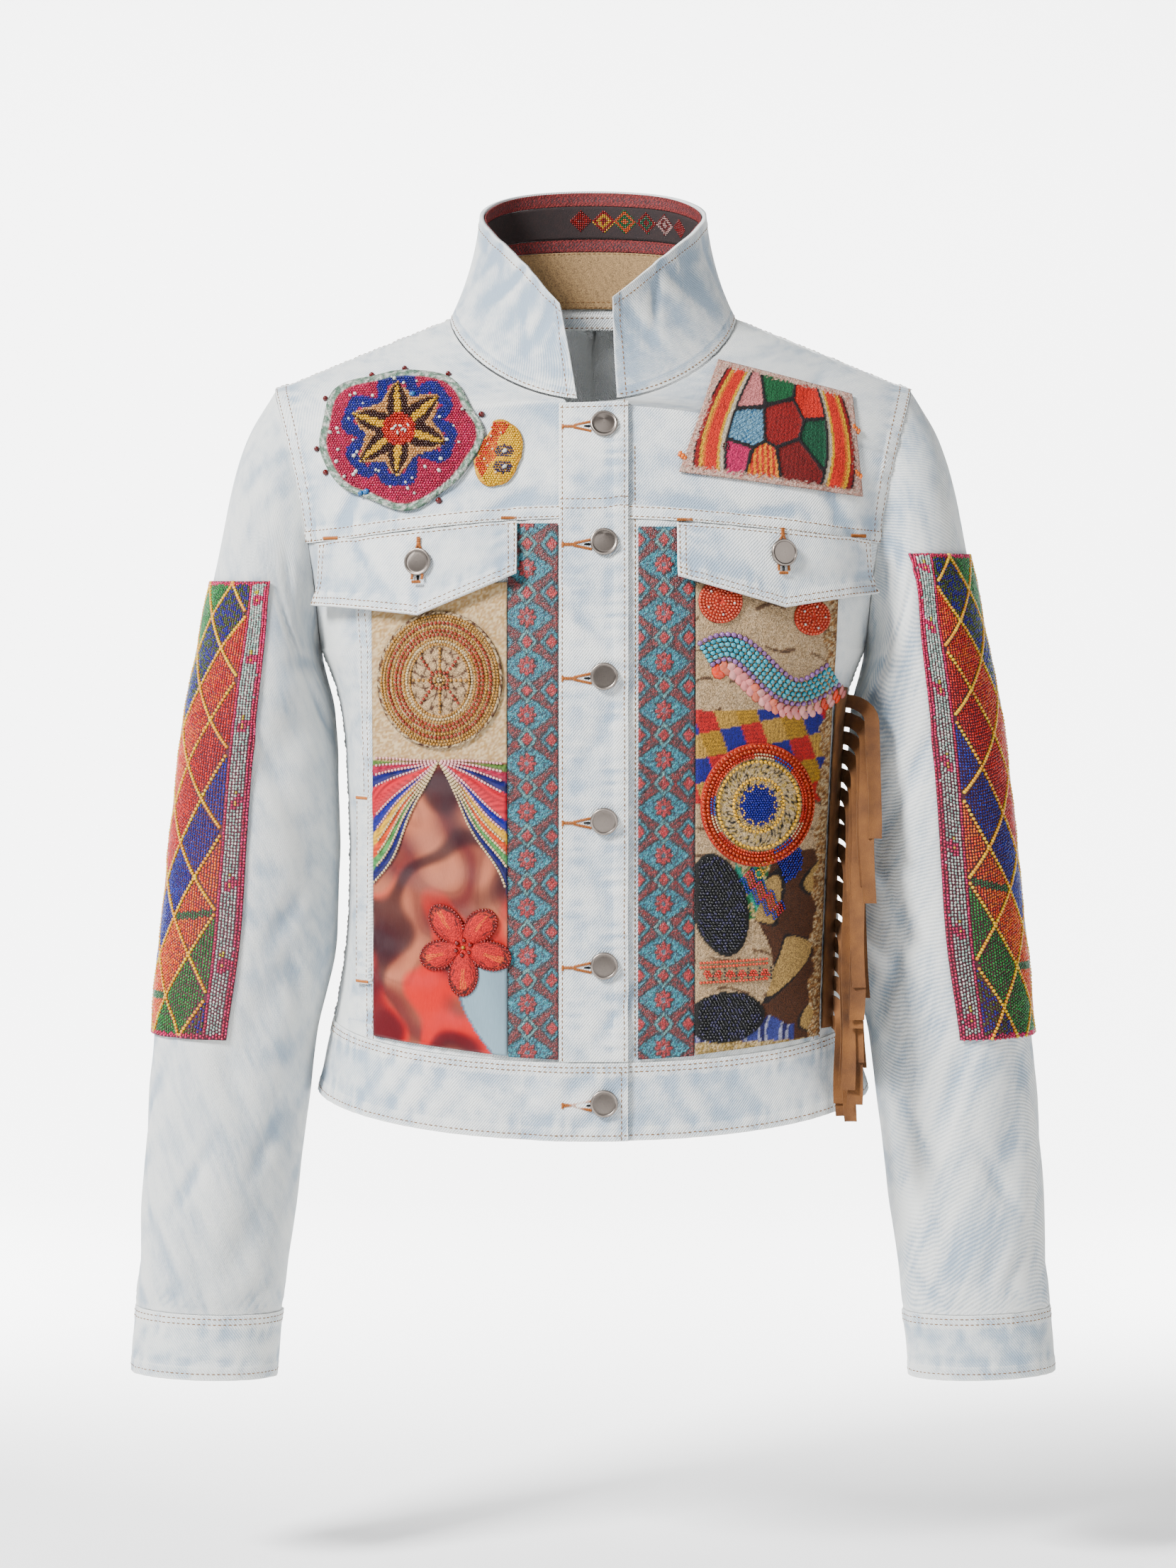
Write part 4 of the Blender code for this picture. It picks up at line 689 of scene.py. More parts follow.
def make_object(name, points, faces, finish, nodes=(), slot=None, uv=None, chart=None, wear=None,
                sharp=False):
    """Smooth object at the origin, riding on the body, with its UV map and its attributes."""
    mesh = bpy.data.meshes.new(name)
    mesh.from_pydata(np.asarray(points) * MM, [], faces)
    if uv is not None:
        mesh.uv_layers.new(name="cloth").uv.foreach_set("vector", np.asarray(uv, np.float32).ravel())
    for key, values in (("chart", chart), ("wear", wear)):
        if values is not None:
            colours = np.concatenate((values, np.ones((len(values), 1))), axis=1).astype(np.float32)
            mesh.attributes.new(key, "FLOAT_COLOR", "POINT").data.foreach_set("color", colours.ravel())
    mesh.shade_smooth()
    if sharp:
        mesh.set_sharp_from_angle(angle=math.radians(50))
    mesh.materials.append(finish_of(finish))
    made = bpy.data.objects.new(name, mesh)
    bpy.context.scene.collection.objects.link(made)
    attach(made, "root")
    if nodes:
        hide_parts(*nodes)
    slot or SLOTS.get(finish, finish)
    return made


def quads_of(at):
    """Four-sided faces of a grid of point numbers."""
    return np.stack((at[:-1, :-1], at[:-1, 1:], at[1:, 1:], at[1:, :-1]), axis=-1).reshape(-1, 4)


def border_of(at):
    """Point numbers round a grid, in order."""
    return np.concatenate((at[0, :-1], at[:-1, -1], at[-1, :0:-1], at[:0:-1, 0]))


def hidden_cells(rows, cols, every, around):
    """Faces of a grid's hidden side in cells of several steps, with every point of its own border."""
    up = list(range(0, rows - 1, every)) + [rows - 1]
    over = list(range(0, cols - 1, every)) + [cols - 1]
    cells = []
    for r0, r1 in zip(up, up[1:]):
        for c0, c1 in zip(over, over[1:]):
            low = range(c0, c1) if r0 == 0 else (c0,)
            last = range(r0, r1) if c1 == cols - 1 and not around else (r0,)
            top = range(c1, c0, -1) if r1 == rows - 1 else (c1,)
            first = range(r1, r0, -1) if c0 == 0 and not around else (r1,)
            loop = ([r0 * cols + c for c in low] + [r * cols + c1 for r in last]
                    + [r1 * cols + c for c in top] + [r * cols + c0 for r in first])
            cells.append(loop[::-1])
    return cells


def shell(name, outer, inner, finish, nodes, slot, chart=None, wear=None, uv=None, every=2, around=False):
    """Closed wall between two grids: fine on its shown side, coarser on its hidden side."""
    rows, cols = outer.shape[:2]
    wide = cols + 1 if around else cols
    size = rows * wide
    ids = np.arange(rows)[:, None] * cols + np.arange(wide)[None, :] % cols
    ids = np.concatenate((ids.ravel(), ids.ravel() + rows * cols))
    at = np.arange(size).reshape(rows, wide)
    backs = [[i + size for i in cell] for cell in hidden_cells(rows, wide, every, around)]
    if around:
        runs = [list(zip(at[0, :-1], at[0, 1:])), list(zip(at[-1, 1:], at[-1, :-1]))]
    else:
        ring = border_of(at)
        runs = [list(zip(ring, np.roll(ring, -1)))]
    rim = [[int(b), int(a), int(a) + size, int(b) + size] for run in runs for a, b in run]
    faces = quads_of(at).tolist() + backs + rim
    points = np.concatenate((outer.reshape(-1, 3), inner.reshape(-1, 3)))

    middle = (rows - 1) // 2, (cols - 1) // 2
    a, b, c = outer[middle], outer[middle[0], middle[1] + 1], outer[middle[0] + 1, middle[1]]
    if np.dot(np.cross(b - a, c - a), outer[middle] - inner[middle]) < 0:
        faces = [face[::-1] for face in faces]
    used = np.unique(np.concatenate([ids[face] for face in faces]))
    place = np.zeros(2 * rows * cols, int)
    place[used] = np.arange(len(used))
    uv_loops = None
    if uv is not None:
        uv_loops = np.concatenate((uv.reshape(-1, 2), uv.reshape(-1, 2)))[np.concatenate(faces)]
    meshed = [place[ids[face]].tolist() for face in faces]

    def both(values, back):
        """Values of the shown side and of the hidden side, for the points in use."""
        if values is None:
            return None
        values = values.reshape(-1, 3)
        return np.concatenate((values, back(values)))[used]

    chart = both(chart, lambda c: c)
    wear = both(wear, lambda c: np.broadcast_to((0.0, 1.0, 0.0), c.shape))
    return make_object(name, points[used], meshed, finish, nodes, slot, uv_loops, chart, wear)


def cut(points, around=False):
    """Width, length and area in metres of the flat piece that a grid was cut as."""
    if around:
        points = np.concatenate((points, points[:, :1]), axis=1)
    wide = np.linalg.norm(np.diff(points, axis=1), axis=-1).sum(axis=1).max() * MM
    long = np.linalg.norm(np.diff(points, axis=0), axis=-1).sum(axis=0).max() * MM
    a = points[1:, :-1] - points[:-1, :-1]
    b = points[:-1, 1:] - points[:-1, :-1]
    area = np.linalg.norm(np.cross(a, b), axis=-1).sum() * MM * MM
    return round(wide, 4), round(long, 4), float(np.clip(area, 0.31 * wide * long, wide * long))


def declare(piece, points, held, around=False):
    """Work out the width, length and area of the sheet that a piece's grid was cut from; nothing is kept."""
    wide, long, area = cut(points, around)
    wide, long = max(wide, 0.01), max(long, 0.01)
    max(area, 0.31 * wide * long)


def inset(points):
    """Draw the edges of a grid in by half a seam gap."""
    gap = SEAM_GAP / 2
    p = points.copy()
    p[0] += unit(points[1] - points[0]) * gap
    p[-1] += unit(points[-2] - points[-1]) * gap
    p[:, 0] += unit(p[:, 1] - p[:, 0]) * gap
    p[:, -1] += unit(p[:, -2] - p[:, -1]) * gap
    return p


def spaced(length, step, sewn=(True, True)):
    """Distances along a length: even steps, with closer lines over the ridge of each sewn edge."""
    near = np.array((0.5, 1.2, 4.4, 7.8, 8.6, 9.4))
    first = near if sewn[0] else np.array((0.6,))
    last = length - near[::-1] if sewn[1] else np.array((length - 0.6,))
    count = max(int(round((last[0] - first[-1]) / step)), 2)
    return np.concatenate(((0.0,), first, np.linspace(first[-1], last[0], count + 1)[1:-1], last, (length,)))


def arcs(points):
    """Distance along each row and up each column of a grid, from its first column and first row."""
    along = np.linalg.norm(np.diff(points, axis=1), axis=-1)
    up = np.linalg.norm(np.diff(points, axis=0), axis=-1)
    along = np.concatenate((np.zeros((len(points), 1)), np.cumsum(along, axis=1)), axis=1)
    up = np.concatenate((np.zeros((1, points.shape[1])), np.cumsum(up, axis=0)))
    return along, up


def outward(points, way):
    """Outward direction of a grid at each point, on the side that way points to."""
    du, dv = np.gradient(points, axis=1), np.gradient(points, axis=0)
    normal = unit(np.cross(du, dv))
    return normal * np.sign((normal * way).sum(axis=-1, keepdims=True).mean())


# Sewn edges: ridge height, pucker depth, how much the edge has paled, which also sets the painted shade that
# blues the troughs beside it.
EDGES = {
    "lap": (RIDGE_RISE, 0.55, 1.0), "tuck": (0.0, 0.6, 0.35), "hem": (0.3, 0.7, 0.9),
    "fold": (0.0, 0.2, 1.0), "free": (0.0, 0.05, 0.3),
}


def relief(points, edges, slant=0.0, around=False, seed=1):
    """Height of sewn cloth over its surface, its wear with painted shade, and its UV map in centimetres.

    A lapped edge is a flat ridge. Beside every edge the cloth puckers in waves about 9 mm long that
    die away within 14 mm, pale on their crests and bluer in their troughs, partly as wear and partly as
    painted shade. slant adds slanting ripples all over, bluer in their troughs in the same way.
    """
    along, up = arcs(points)
    width, height = along[:, -1:], up[-1:]
    away = {"first": along, "last": width - along, "low": up, "top": height - up}
    run = {"first": up, "last": up, "low": along, "top": along}
    rise, pale, blue = 0 * along, 0 * along, 0 * along
    for number, (edge, style) in enumerate(edges.items()):
        ridge, pucker, wear_and_shade_share = EDGES[style]
        d, t = away[edge], run[edge] + 13 * number + 29 * seed
        wave = np.sin(2 * math.pi * t / 9.2 + 2.4 * np.sin(2 * math.pi * t / 51)) * (
            0.6 + 0.4 * np.sin(2 * math.pi * t / 33 + number))
        fade = np.exp(-((d - 4) / 8.5) ** 2)
        rise = rise + ridge * smooth((RIDGE_WIDTH - d) / 0.9 + 0.5) + pucker * fade * wave
        crest = 0.6 + 0.5 * wave
        pale = pale + wear_and_shade_share * crest * (np.exp(-(d / 1.3) ** 2) + 0.7 * np.exp(-((d - RIDGE_WIDTH) / 1.3) ** 2)
                                      * (ridge > 0))
        # Painted shade, partly wear: bluer in the pucker troughs just beside each seam.
        blue = blue + wear_and_shade_share * 0.5 * np.exp(-((d - 11.5) / 4.5) ** 2) * (0.6 - 0.6 * wave)
    if slant:
        t = along + 0.75 * up + 9 * np.sin(along / 37 + seed)
        waves = np.sin(2 * math.pi * t / 23 + seed) * (0.55 + 0.45 * np.sin(along / 19 + 2 * seed))
        middle = smooth(away["low"] / 9) * smooth(away["top"] / 9) if not around else 1
        rise = rise + slant * waves * middle
        # Painted shade, partly wear: bluer in the troughs of the slanting ripples.
        blue = blue + 0.35 * np.clip(-waves, 0, 1) * middle
    uv = np.stack((along - along.mean(axis=1, keepdims=True), up), axis=-1) / 10
    wear = np.stack((np.clip(pale, 0, 1), 0 * pale, np.clip(blue, 0, 1)), axis=-1)
    return rise, wear, uv


# Stitches of each thread, and sizes: length, width and height of a stitch in a seam.
STITCHES = {"tan_thread": [], "gold_thread": []}
STITCH_PITCH = 3.3
STITCH_SIZE = (2.5, 0.75, 0.42)
STITCH_SINK = 0.05
BAR_PITCH = 0.75
BAR_WIDTH = 0.8
# Distances of the two rows of a felled seam from its edge.
FELLED = (1.4, 7.2)
# Places each way that a crease is measured over.
CREASE_WINDOW = 7


def keep_stitches(kind, centre, along, up, length, width, height):
    """Keep stitches for the mesh of their thread, sunk a little into the cloth."""
    size = np.broadcast_to((length / 2, width / 2, height), centre.shape)
    STITCHES[kind].append((centre - up * STITCH_SINK, along, up, size))


def sew(path, normals):
    """Row of tan stitches along a path of points: even places on it, each a low pointed ridge."""
    run = run_of(path)
    places = np.arange(STITCH_PITCH / 2, run[-1], STITCH_PITCH)
    if len(places):
        centre, up = read_off(places, run, path), unit(read_off(places, run, normals))
        along = unit(read_off(places + 0.5, run, path) - read_off(places - 0.5, run, path))
        keep_stitches("tan_thread", centre, along, up, *STITCH_SIZE)


def cross_sew(x, z, lift, length=2.0, height=0.55):
    """Bar of close golden stitches that lie across a line of places on the front, as round a buttonhole."""
    path = on_front(x, z, lift)
    run = run_of(path)
    places = np.arange(0, run[-1], BAR_PITCH)
    centre, up = read_off(places, run, path), unit(read_off(places, run, front_way(x, z)))
    ahead = unit(np.broadcast_to(path[-1] - path[0], centre.shape))
    keep_stitches("gold_thread", centre, unit(np.cross(up, ahead)), up, length, BAR_WIDTH, height)


def sew_edges(points, normals, rows):
    """Rows of stitches at set distances from a grid's edges, from (edge, distance) pairs."""
    seen_from = {"low": lambda g: g, "top": lambda g: g[::-1], "first": lambda g: g.transpose(1, 0, 2),
                 "last": lambda g: g.transpose(1, 0, 2)[::-1]}
    for edge, away in rows:
        grid, ways = (seen_from[edge](g) for g in (points, normals))
        steps = np.linalg.norm(np.diff(grid, axis=0), axis=-1)
        run = np.concatenate((np.zeros((1, grid.shape[1])), np.cumsum(steps, axis=0)))
        k = np.clip((run < away).sum(axis=0), 1, len(grid) - 1)
        c = np.arange(grid.shape[1])
        t = ((away - run[k - 1, c]) / (run[k, c] - run[k - 1, c]))[:, None]
        sew(grid[k - 1, c] * (1 - t) + grid[k, c] * t, ways[k, c])


def rows_at(edges, *distances):
    """Rows of stitches at the same distances from each of some edges: (edge, distance) pairs."""
    return tuple((edge, away) for edge in edges for away in distances)


def repeated(name, form, faces, centre, along, up, size, finish, **more):
    """One mesh of a small shape repeated: scaled by its sizes, set at its centres, along its ways."""
    across = np.cross(up, along)
    offset = form[None] * size[:, None]
    points = (centre[:, None] + along[:, None] * offset[..., :1] + across[:, None] * offset[..., 1:2]
              + up[:, None] * offset[..., 2:])
    every = [[i + len(form) * n for i in face] for n in range(len(centre)) for face in faces]
    make_object(name, points.reshape(-1, 3), every, finish, **more)


def stitch_mesh(kind):
    """All stitches of one thread as a mesh: a flat six-sided base under a ridge, seven faces each."""
    form = np.array(((-1, 0, 0), (-0.55, -1, 0), (0.55, -1, 0), (1, 0, 0), (0.55, 1, 0), (-0.55, 1, 0),
                     (-0.5, 0, 1), (0.5, 0, 1)), float)
    faces = ((0, 1, 6), (1, 2, 7, 6), (2, 3, 7), (3, 4, 7), (4, 5, 6, 7), (5, 0, 6), (5, 4, 3, 2, 1, 0))
    repeated(kind, form, faces, *(np.concatenate(part) for part in zip(*STITCHES[kind])), kind)


def dome(sides, rings):
    """Bead on the unit base: rings of points rising to a pole, and its faces."""
    a = np.arange(sides) * 2 * math.pi / sides
    rise = np.arange(rings) / rings * math.pi / 2
    points = [(math.cos(t) * math.cos(x), math.cos(t) * math.sin(x), math.sin(t)) for t in rise for x in a]
    points.append((0, 0, 1))
    top = len(points) - 1
    faces = [tuple(range(sides))[::-1]]
    for r in range(rings - 1):
        for k in range(sides):
            n = (k + 1) % sides
            faces.append((r * sides + k, r * sides + n, (r + 1) * sides + n, (r + 1) * sides + k))
    for k in range(sides):
        faces.append(((rings - 1) * sides + k, (rings - 1) * sides + (k + 1) % sides, top))
    return np.array(points), faces


def bead_mesh(name, bags, slot="beads", sides=5, rings=2, nodes=()):
    """Beads as one mesh: each bag holds centres, outward ways, headings, sizes and colours."""
    centre, up, along, size, colour = (np.concatenate(part) for part in zip(*bags))
    form, faces = dome(sides, rings)
    along = unit(along - up * (along * up).sum(axis=1, keepdims=True))
    repeated(name, form, faces, centre, along, up, size, "beads", nodes=nodes, slot=slot,
             chart=np.repeat(colour, len(form), axis=0))


def bag(x, z, lift, radius, colour, heading=0.0, stretch=1.0, high=1.0):
    """Bag of beads on the front, at x and z, their long side turned by heading in radians."""
    x, z, lift, heading = (np.asarray(a, float).ravel() for a in np.broadcast_arrays(x, z, lift, heading))
    centre = on_front(x, z, lift)
    up = front_way(x, z)
    along = stack(np.cos(heading), 0 * x, np.sin(heading))
    radius = np.broadcast_to(radius, x.shape) * rng.uniform(0.93, 1.07, x.shape)
    size = np.stack((radius * stretch, radius, radius * high), axis=1)
    colour = np.broadcast_to(colour, (len(x), 3)) * rng.uniform(0.82, 1.15, (len(x), 1))
    return centre, up, along, size, np.clip(colour, 0, 1)


def line_of(points, pitch):
    """Even places and headings along a path of (x, z) points."""
    points = np.asarray(points, float)
    run = run_of(points)
    count = max(int(run[-1] / pitch), 1)
    x, z = read_off(np.linspace(0, run[-1], count + 1), run, points).T
    return x, z, np.arctan2(np.gradient(z), np.gradient(x))


def shade_creases(points, normal, wear, base=0.0):
    """Wear of a grid with its hollows made bluer and its ridges paler, by their height over a mean: partly
    wash wear, partly painted shade in the hollows and painted highlight on the ridges.

    The height is (p - mean of p over CREASE_WINDOW places each way) . normal, less its median. base adds even
    painted shade, bluer all over.
    """
    mean = points
    half = CREASE_WINDOW // 2
    for axis in (0, 1):
        pad = [(half, half) if axis == k else (0, 0) for k in range(3)]
        wide = np.pad(mean, pad, mode="reflect", reflect_type="odd")
        shifted = (np.take(wide, np.arange(points.shape[axis]) + k, axis=axis) for k in range(CREASE_WINDOW))
        mean = sum(shifted) / CREASE_WINDOW
    off = ((points - mean) * normal).sum(axis=-1)
    off = off - np.median(off)
    shade = wear.copy()
    # Painted shade, bluer, in the hollows and by base all over; then painted highlight, paler, on the ridges.
    shade[..., 2] += base + np.clip(-0.8 * off, 0, 0.8)
    shade[..., 0] += np.clip(0.5 * off, 0, 0.5)
    return shade


def cloth(name, points, way, edges, rows, held="hung", wall=DENIM, lift=0.0, slant=0.0, every=2, seed=1,
          drawn=True, extra=0.0):
    """Denim piece over a grid of its surface, with its relief, stitches and underside."""
    normal = outward(points, way)
    rise, wear, uv = relief(points, edges, slant, seed=seed)
    # Painted shade in the hollows of its folds and painted highlight on their ridges, added to its wear.
    if min(points.shape[:2]) > CREASE_WINDOW - 1:
        wear = shade_creases(points, normal, wear)
    right = np.cross((0.0, 0.0, 1.0), normal)
    uv = uv * (np.sign((right[:, 1:] * np.diff(points, axis=1)).sum()), 1.0)
    lift = lift + 0 * rise
    flat = inset(points) if drawn else points
    outer = flat + normal * (lift + (rise + extra))[..., None]
    inner = flat + normal * (lift - wall)[..., None]
    piece = shell(name, outer, inner, "denim", (name,), "denim", wear=wear, uv=uv, every=every)
    declare(piece, points, held)
    sew_edges(outer, normal, rows)


def share_of(length, step, sewn=(True, True)):
    """Shares of a length at even steps and over its sewn edges."""
    return spaced(length, step, sewn) / length


def between(first, last, share):
    """Columns along each row from one line of parameters to another."""
    return first[:, None] + (last - first)[:, None] * share[None, :]


def make_fronts():
    """Centre fronts, side fronts and front yokes; yokes and centre panels lap over and are felled."""
    low = np.interp(spaced(LOW_RUN[0][-1], 4.0), *LOW_RUN)
    high = np.interp(spaced(YOKE_RUN[0][-1], 4.0), *YOKE_RUN)
    for side, word in SIDES:
        line, edge = side_line(FRONT, low), edge_line(side, low)
        points = body(FRONT, side, between(edge, line, share_of(FRONT_WIDTH, 4.0, (False, True))),
                      low[:, None])
        edges = {"low": "tuck", "top": "tuck", "last": "lap"}
        cloth("front_" + word, points, (0, -1, 0), edges, rows_at(("last",), *FELLED), seed=2 + side)
        share = share_of(SIDE_FRONT_WIDTH, 3.4, (True, False))
        points = body(FRONT, side, between(line, 1 + 0 * line, share), low[:, None])
        edges = {"low": "tuck", "top": "tuck", "first": "tuck"}
        cloth("side_front_" + word, points, (side, -1, 0), edges, (), seed=5 + side)
        line, edge = side_line(FRONT, high), edge_line(side, high)
        share = share_of(YOKE_END_WIDTH, 3.6, (False, True))
        u = np.concatenate((between(edge, line, share_of(FRONT_WIDTH, 4.0, (False, False))),
                            between(line, 1 + 0 * line, share)[:, 1:]), axis=1)
        points = body(FRONT, side, u, high[:, None])
        edges = {"low": "lap", "top": "tuck", "last": "lap"}
        cloth("front_yoke_" + word, points, (0, -1, 0), edges, rows_at(("low", "last"), 1.3, 7.3),
              seed=8 + side)


def make_back():
    """Centre back, side backs, and a back yoke cut in one piece across the shoulders."""
    low = np.interp(spaced(300, 4.4), (0, 231, 300), LOW_RUN[1])
    line = side_line(BACK, low)
    points = body(BACK, RIGHT, between(-line, line, share_of(BACK_WIDTH, 4.4)), low[:, None])
    edges = {"low": "tuck", "top": "tuck", "first": "lap", "last": "lap"}
    rows = rows_at(("first", "last"), *FELLED)
    cloth("back_centre", points, (0, 1, 0), edges, rows, every=3, seed=21)
    for side, word in SIDES:
        points = body(BACK, side, between(line, 1 + 0 * line, share_of(SHOULDER_WIDTH, 4.4)), low[:, None])
        edges = {"low": "tuck", "top": "tuck", "first": "tuck", "last": "lap"}
        cloth("side_back_" + word, points, (side, 1, 0), edges, rows_at(("last",), *FELLED), every=3,
              seed=23 + side)

    middle = side_line(BACK, np.array([float(YOKE)]))
    neck_steps = share_of(BACK_NECK_WIDTH, 4.4, (False, False))
    shoulder_steps = share_of(SHOULDER_WIDTH, 4.4, (False, True))[1:]
    bottom = np.concatenate((neck_steps * middle, middle + shoulder_steps * (1 - middle)))
    top_u = np.concatenate((0 * neck_steps, shoulder_steps))
    top_v = np.concatenate((NECK + neck_steps, SHOULDER + 0 * shoulder_steps))
    share = np.interp(spaced(YOKE_RUN[0][-1], 4.4), YOKE_RUN[0], (0, 0.5, 1))[:, None]
    u = bottom * (1 - share) + top_u * share
    v = YOKE * (1 - share) + top_v * share
    halves = [body(BACK, LEFT, u, v)[:, :0:-1], body(BACK, RIGHT, u, v)]
    edges = {"low": "lap", "top": "lap", "first": "lap", "last": "lap"}
    cloth("back_yoke", np.concatenate(halves, axis=1), (0, 1, 0.5), edges, rows_at(edges, *FELLED), every=3,
          seed=31)


def make_hem_band():
    """Hem band in three lengths, rippled by its seams; the left one laps over the right one."""
    rows = spaced(BAND_HEIGHT, 4.2) / BAND_HEIGHT
    line = side_line(FRONT, rows)
    edges = {"low": "hem", "top": "hem"}
    sewn = (("low", 3.4), ("top", 2.6), ("top", 5.6))
    alike = {"wall": BAND_DENIM, "slant": 0.62, "held": "stretched"}
    free = (False, False)
    side_u = between(line, 1 + 0 * line, share_of(118, 4.4, free))[:, 1:]
    lap = u_at(FRONT, PLACKET_X[1], rows)
    near, far = (u_at(FRONT, x, rows) for x in BAND_LAP_RUN)
    u = np.concatenate((between(-lap, far, share_of(65, 3.6, (True, False))),
                        between(far, line, share_of(98, 4.0, free))[:, 1:], side_u), axis=1)
    over = smooth((far[:, None] - u) / (far - near)[:, None])
    lift = (BAND_DENIM + LAY_CLEARANCE) * over + BAND_LIFT
    cloth("hem_band_left", body(FRONT, LEFT, u, rows[:, None]), (-0.3, -1, 0), {**edges, "first": "fold"},
          sewn + (("first", 4.0),), lift=lift, seed=41, **alike)
    edge = edge_line(RIGHT, rows)
    u = np.concatenate((between(edge, line, share_of(157, 4.0, free)), side_u), axis=1)
    cloth("hem_band_right", body(FRONT, RIGHT, u, rows[:, None]), (0.3, -1, 0), edges, sewn, lift=BAND_LIFT,
          seed=43, **alike)
    ones = 1 + 0 * line
    points = body(BACK, RIGHT, between(-ones, ones, share_of(400, 4.6)), rows[:, None])
    cloth("hem_band_back", points, (0, 1, 0), edges, sewn, lift=BAND_LIFT, seed=45, every=3, **alike)


def tube_of(name, side, rows, span, steps, wall, shift, edges, stitches, seed, slant):
    """Open tube of denim: a sleeve or a cuff, felled along its back seam."""
    angles = np.linspace(-180, 180, steps + 1)
    at = span[:, None]
    bare = sleeve(side, at, angles, rows)
    rise, wear, uv = relief(bare, edges, slant, around=True, seed=seed)
    turn = np.abs(angles - SLEEVE_SEAM_ANGLE) * np.pi / 180 * 55
    rise = rise + RIDGE_RISE * smooth((4.4 - turn) / 0.9 + 0.5)
    uv = uv * (-side, 1.0)
    outer = (sleeve(side, at, angles, rows, rise) + shift)[:, :-1]
    inner = (sleeve(side, at, angles, rows, -wall) + shift)[:, :-1]
    piece = shell(name, outer, inner, "denim", (name,), "denim", wear=wear[:, :-1], uv=uv, around=True)
    declare(piece, bare[:, :-1], "hung", around=True)
    closed = np.concatenate((outer, outer[:, :1]), axis=1)
    normals = unit(closed - np.concatenate((inner, inner[:, :1]), axis=1))
    sew_edges(closed, normals, stitches)
    for angle in (SLEEVE_SEAM_ANGLE + 2.8, SLEEVE_SEAM_ANGLE - 2.8):
        k = int(round((angle + 180) / 360 * steps))
        sew(closed[:, k], normals[:, k])


def make_sleeves():
    """Sleeves and cuffs as open tubes."""
    run = run_of(np.asarray(SLEEVE_ROWS, float)[:, :3])
    span = np.interp(spaced(run[-1], 4.3, (False, False)), run, np.arange(len(run)))
    cuff_span = spaced(CUFF_LENGTH, 3.8) / CUFF_LENGTH * 2
    for side, word in SIDES:
        tube_of("sleeve_" + word, side, SLEEVE_ROWS, span, 84, SLEEVE_WALL, (side * SEAM_GAP, 0, 0),
                {"low": "tuck", "top": "tuck"}, (), 51 + side, 0.16)
        tube_of("cuff_" + word, side, CUFF_ROWS, cuff_span, 64, CUFF_WALL, (0, 0, -SEAM_GAP),
                {"low": "hem", "top": "hem"}, (("low", 2.6), ("low", 6.0), ("top", 4.0)), 55 + side, 0.22)


def collar_grid(steps, inside, first=0.0, step=4.0):
    """Grid of collar points from the left front round to the right, at heights given as shares."""
    h = np.asarray(steps, float)[:, None]
    halves = []
    for side in (LEFT, RIGHT):
        begin = max(first, COLLAR_EDGE[side])
        length = (180 - begin) / 180 * COLLAR_HALF_LENGTH
        angles = begin + (180 - begin) * share_of(length, step, (first == 0, False))
        halves.append(collar(side, angles, h, inside))
    return np.concatenate((halves[0], halves[1][:, -2::-1]), axis=1)


def make_collar():
    """Standing collar, stitched inside its free edges, with painted shade making all of it bluer than other
    pieces and its hollows bluer still.
    """
    steps = spaced(COLLAR_HEIGHT, 3.9) / COLLAR_HEIGHT
    outer, inner = collar_grid(steps, 0.0), collar_grid(steps, COLLAR_WALL)
    way = unit(outer - inner)
    edges = {"low": "tuck", "top": "fold", "first": "fold", "last": "fold"}
    rise, wear, uv = relief(outer, edges, seed=61)
    # Painted shade: the whole collar is made bluer by 0.22, over the painted shade in its hollows.
    wear = shade_creases(outer, way, wear, 0.22)
    shown = outer + way * (rise * 0.6)[..., None]
    piece = shell("collar", shown, inner, "denim", ("collar",), "denim", wear=wear, uv=uv, every=1)
    declare(piece, outer, "hung")
    sew_edges(shown, way, (("top", 5.6), ("first", 5.6), ("last", 5.6), ("low", 2.2)))


def rect(corners, across, up):
    """Places between four corners in x and z: shares across its columns and up its rows."""
    low_left, low_right, top_right, top_left = np.asarray(corners, float)
    a, b = across[None, :, None], up[:, None, None]
    flat = (low_left * (1 - a) + low_right * a) * (1 - b) + (top_left * (1 - a) + top_right * a) * b
    return flat[..., 0], flat[..., 1]


def laid(name, x, z, lift, wall, finish, slot, chart=None, rise=0.0, nodes=None, every=8):
    """Cloth laid on the front over a grid of places, with a charted colour and a raised pattern."""
    bare = on_front(x, z, lift)
    outer = on_front(x, z, lift + wall + rise)
    uv = np.stack((x, z), axis=-1) / 10
    declare(shell(name, outer, bare, finish, nodes or (name,), slot, chart=chart, uv=uv, every=every), bare,
            "laid")


def laid_denim(name, corners, width, length, lift, wall, edges, rows, seed, step_z=None):
    """Denim strip laid on the front between four corners, thicker above step_z if that is given."""
    x, z = rect(corners, share_of(width, 3.4), share_of(length, 2.4))
    points = on_front(x, z, 0.0)
    extra = 0.0 if step_z is None else 0.55 * smooth((z - step_z) / 2.2 + 0.5)
    cloth(name, points, (0, -1, 0), edges, rows, wall=wall, lift=lift + wall, held="laid", seed=seed,
          drawn=False, extra=extra)


PLACKET_CORNERS = ((PLACKET_X[0], PLACKET_LOW_Z), (PLACKET_X[1], PLACKET_LOW_Z),
                   (PLACKET_X[1], PLACKET_TOP_Z[1]), (PLACKET_X[0], PLACKET_TOP_Z[0]))
WELT = ((-145, -414), (-137, -414), (-135.5, -297), (-144, -297))
WELT_LIFT = 0.8
WELT_WALL = 2.4


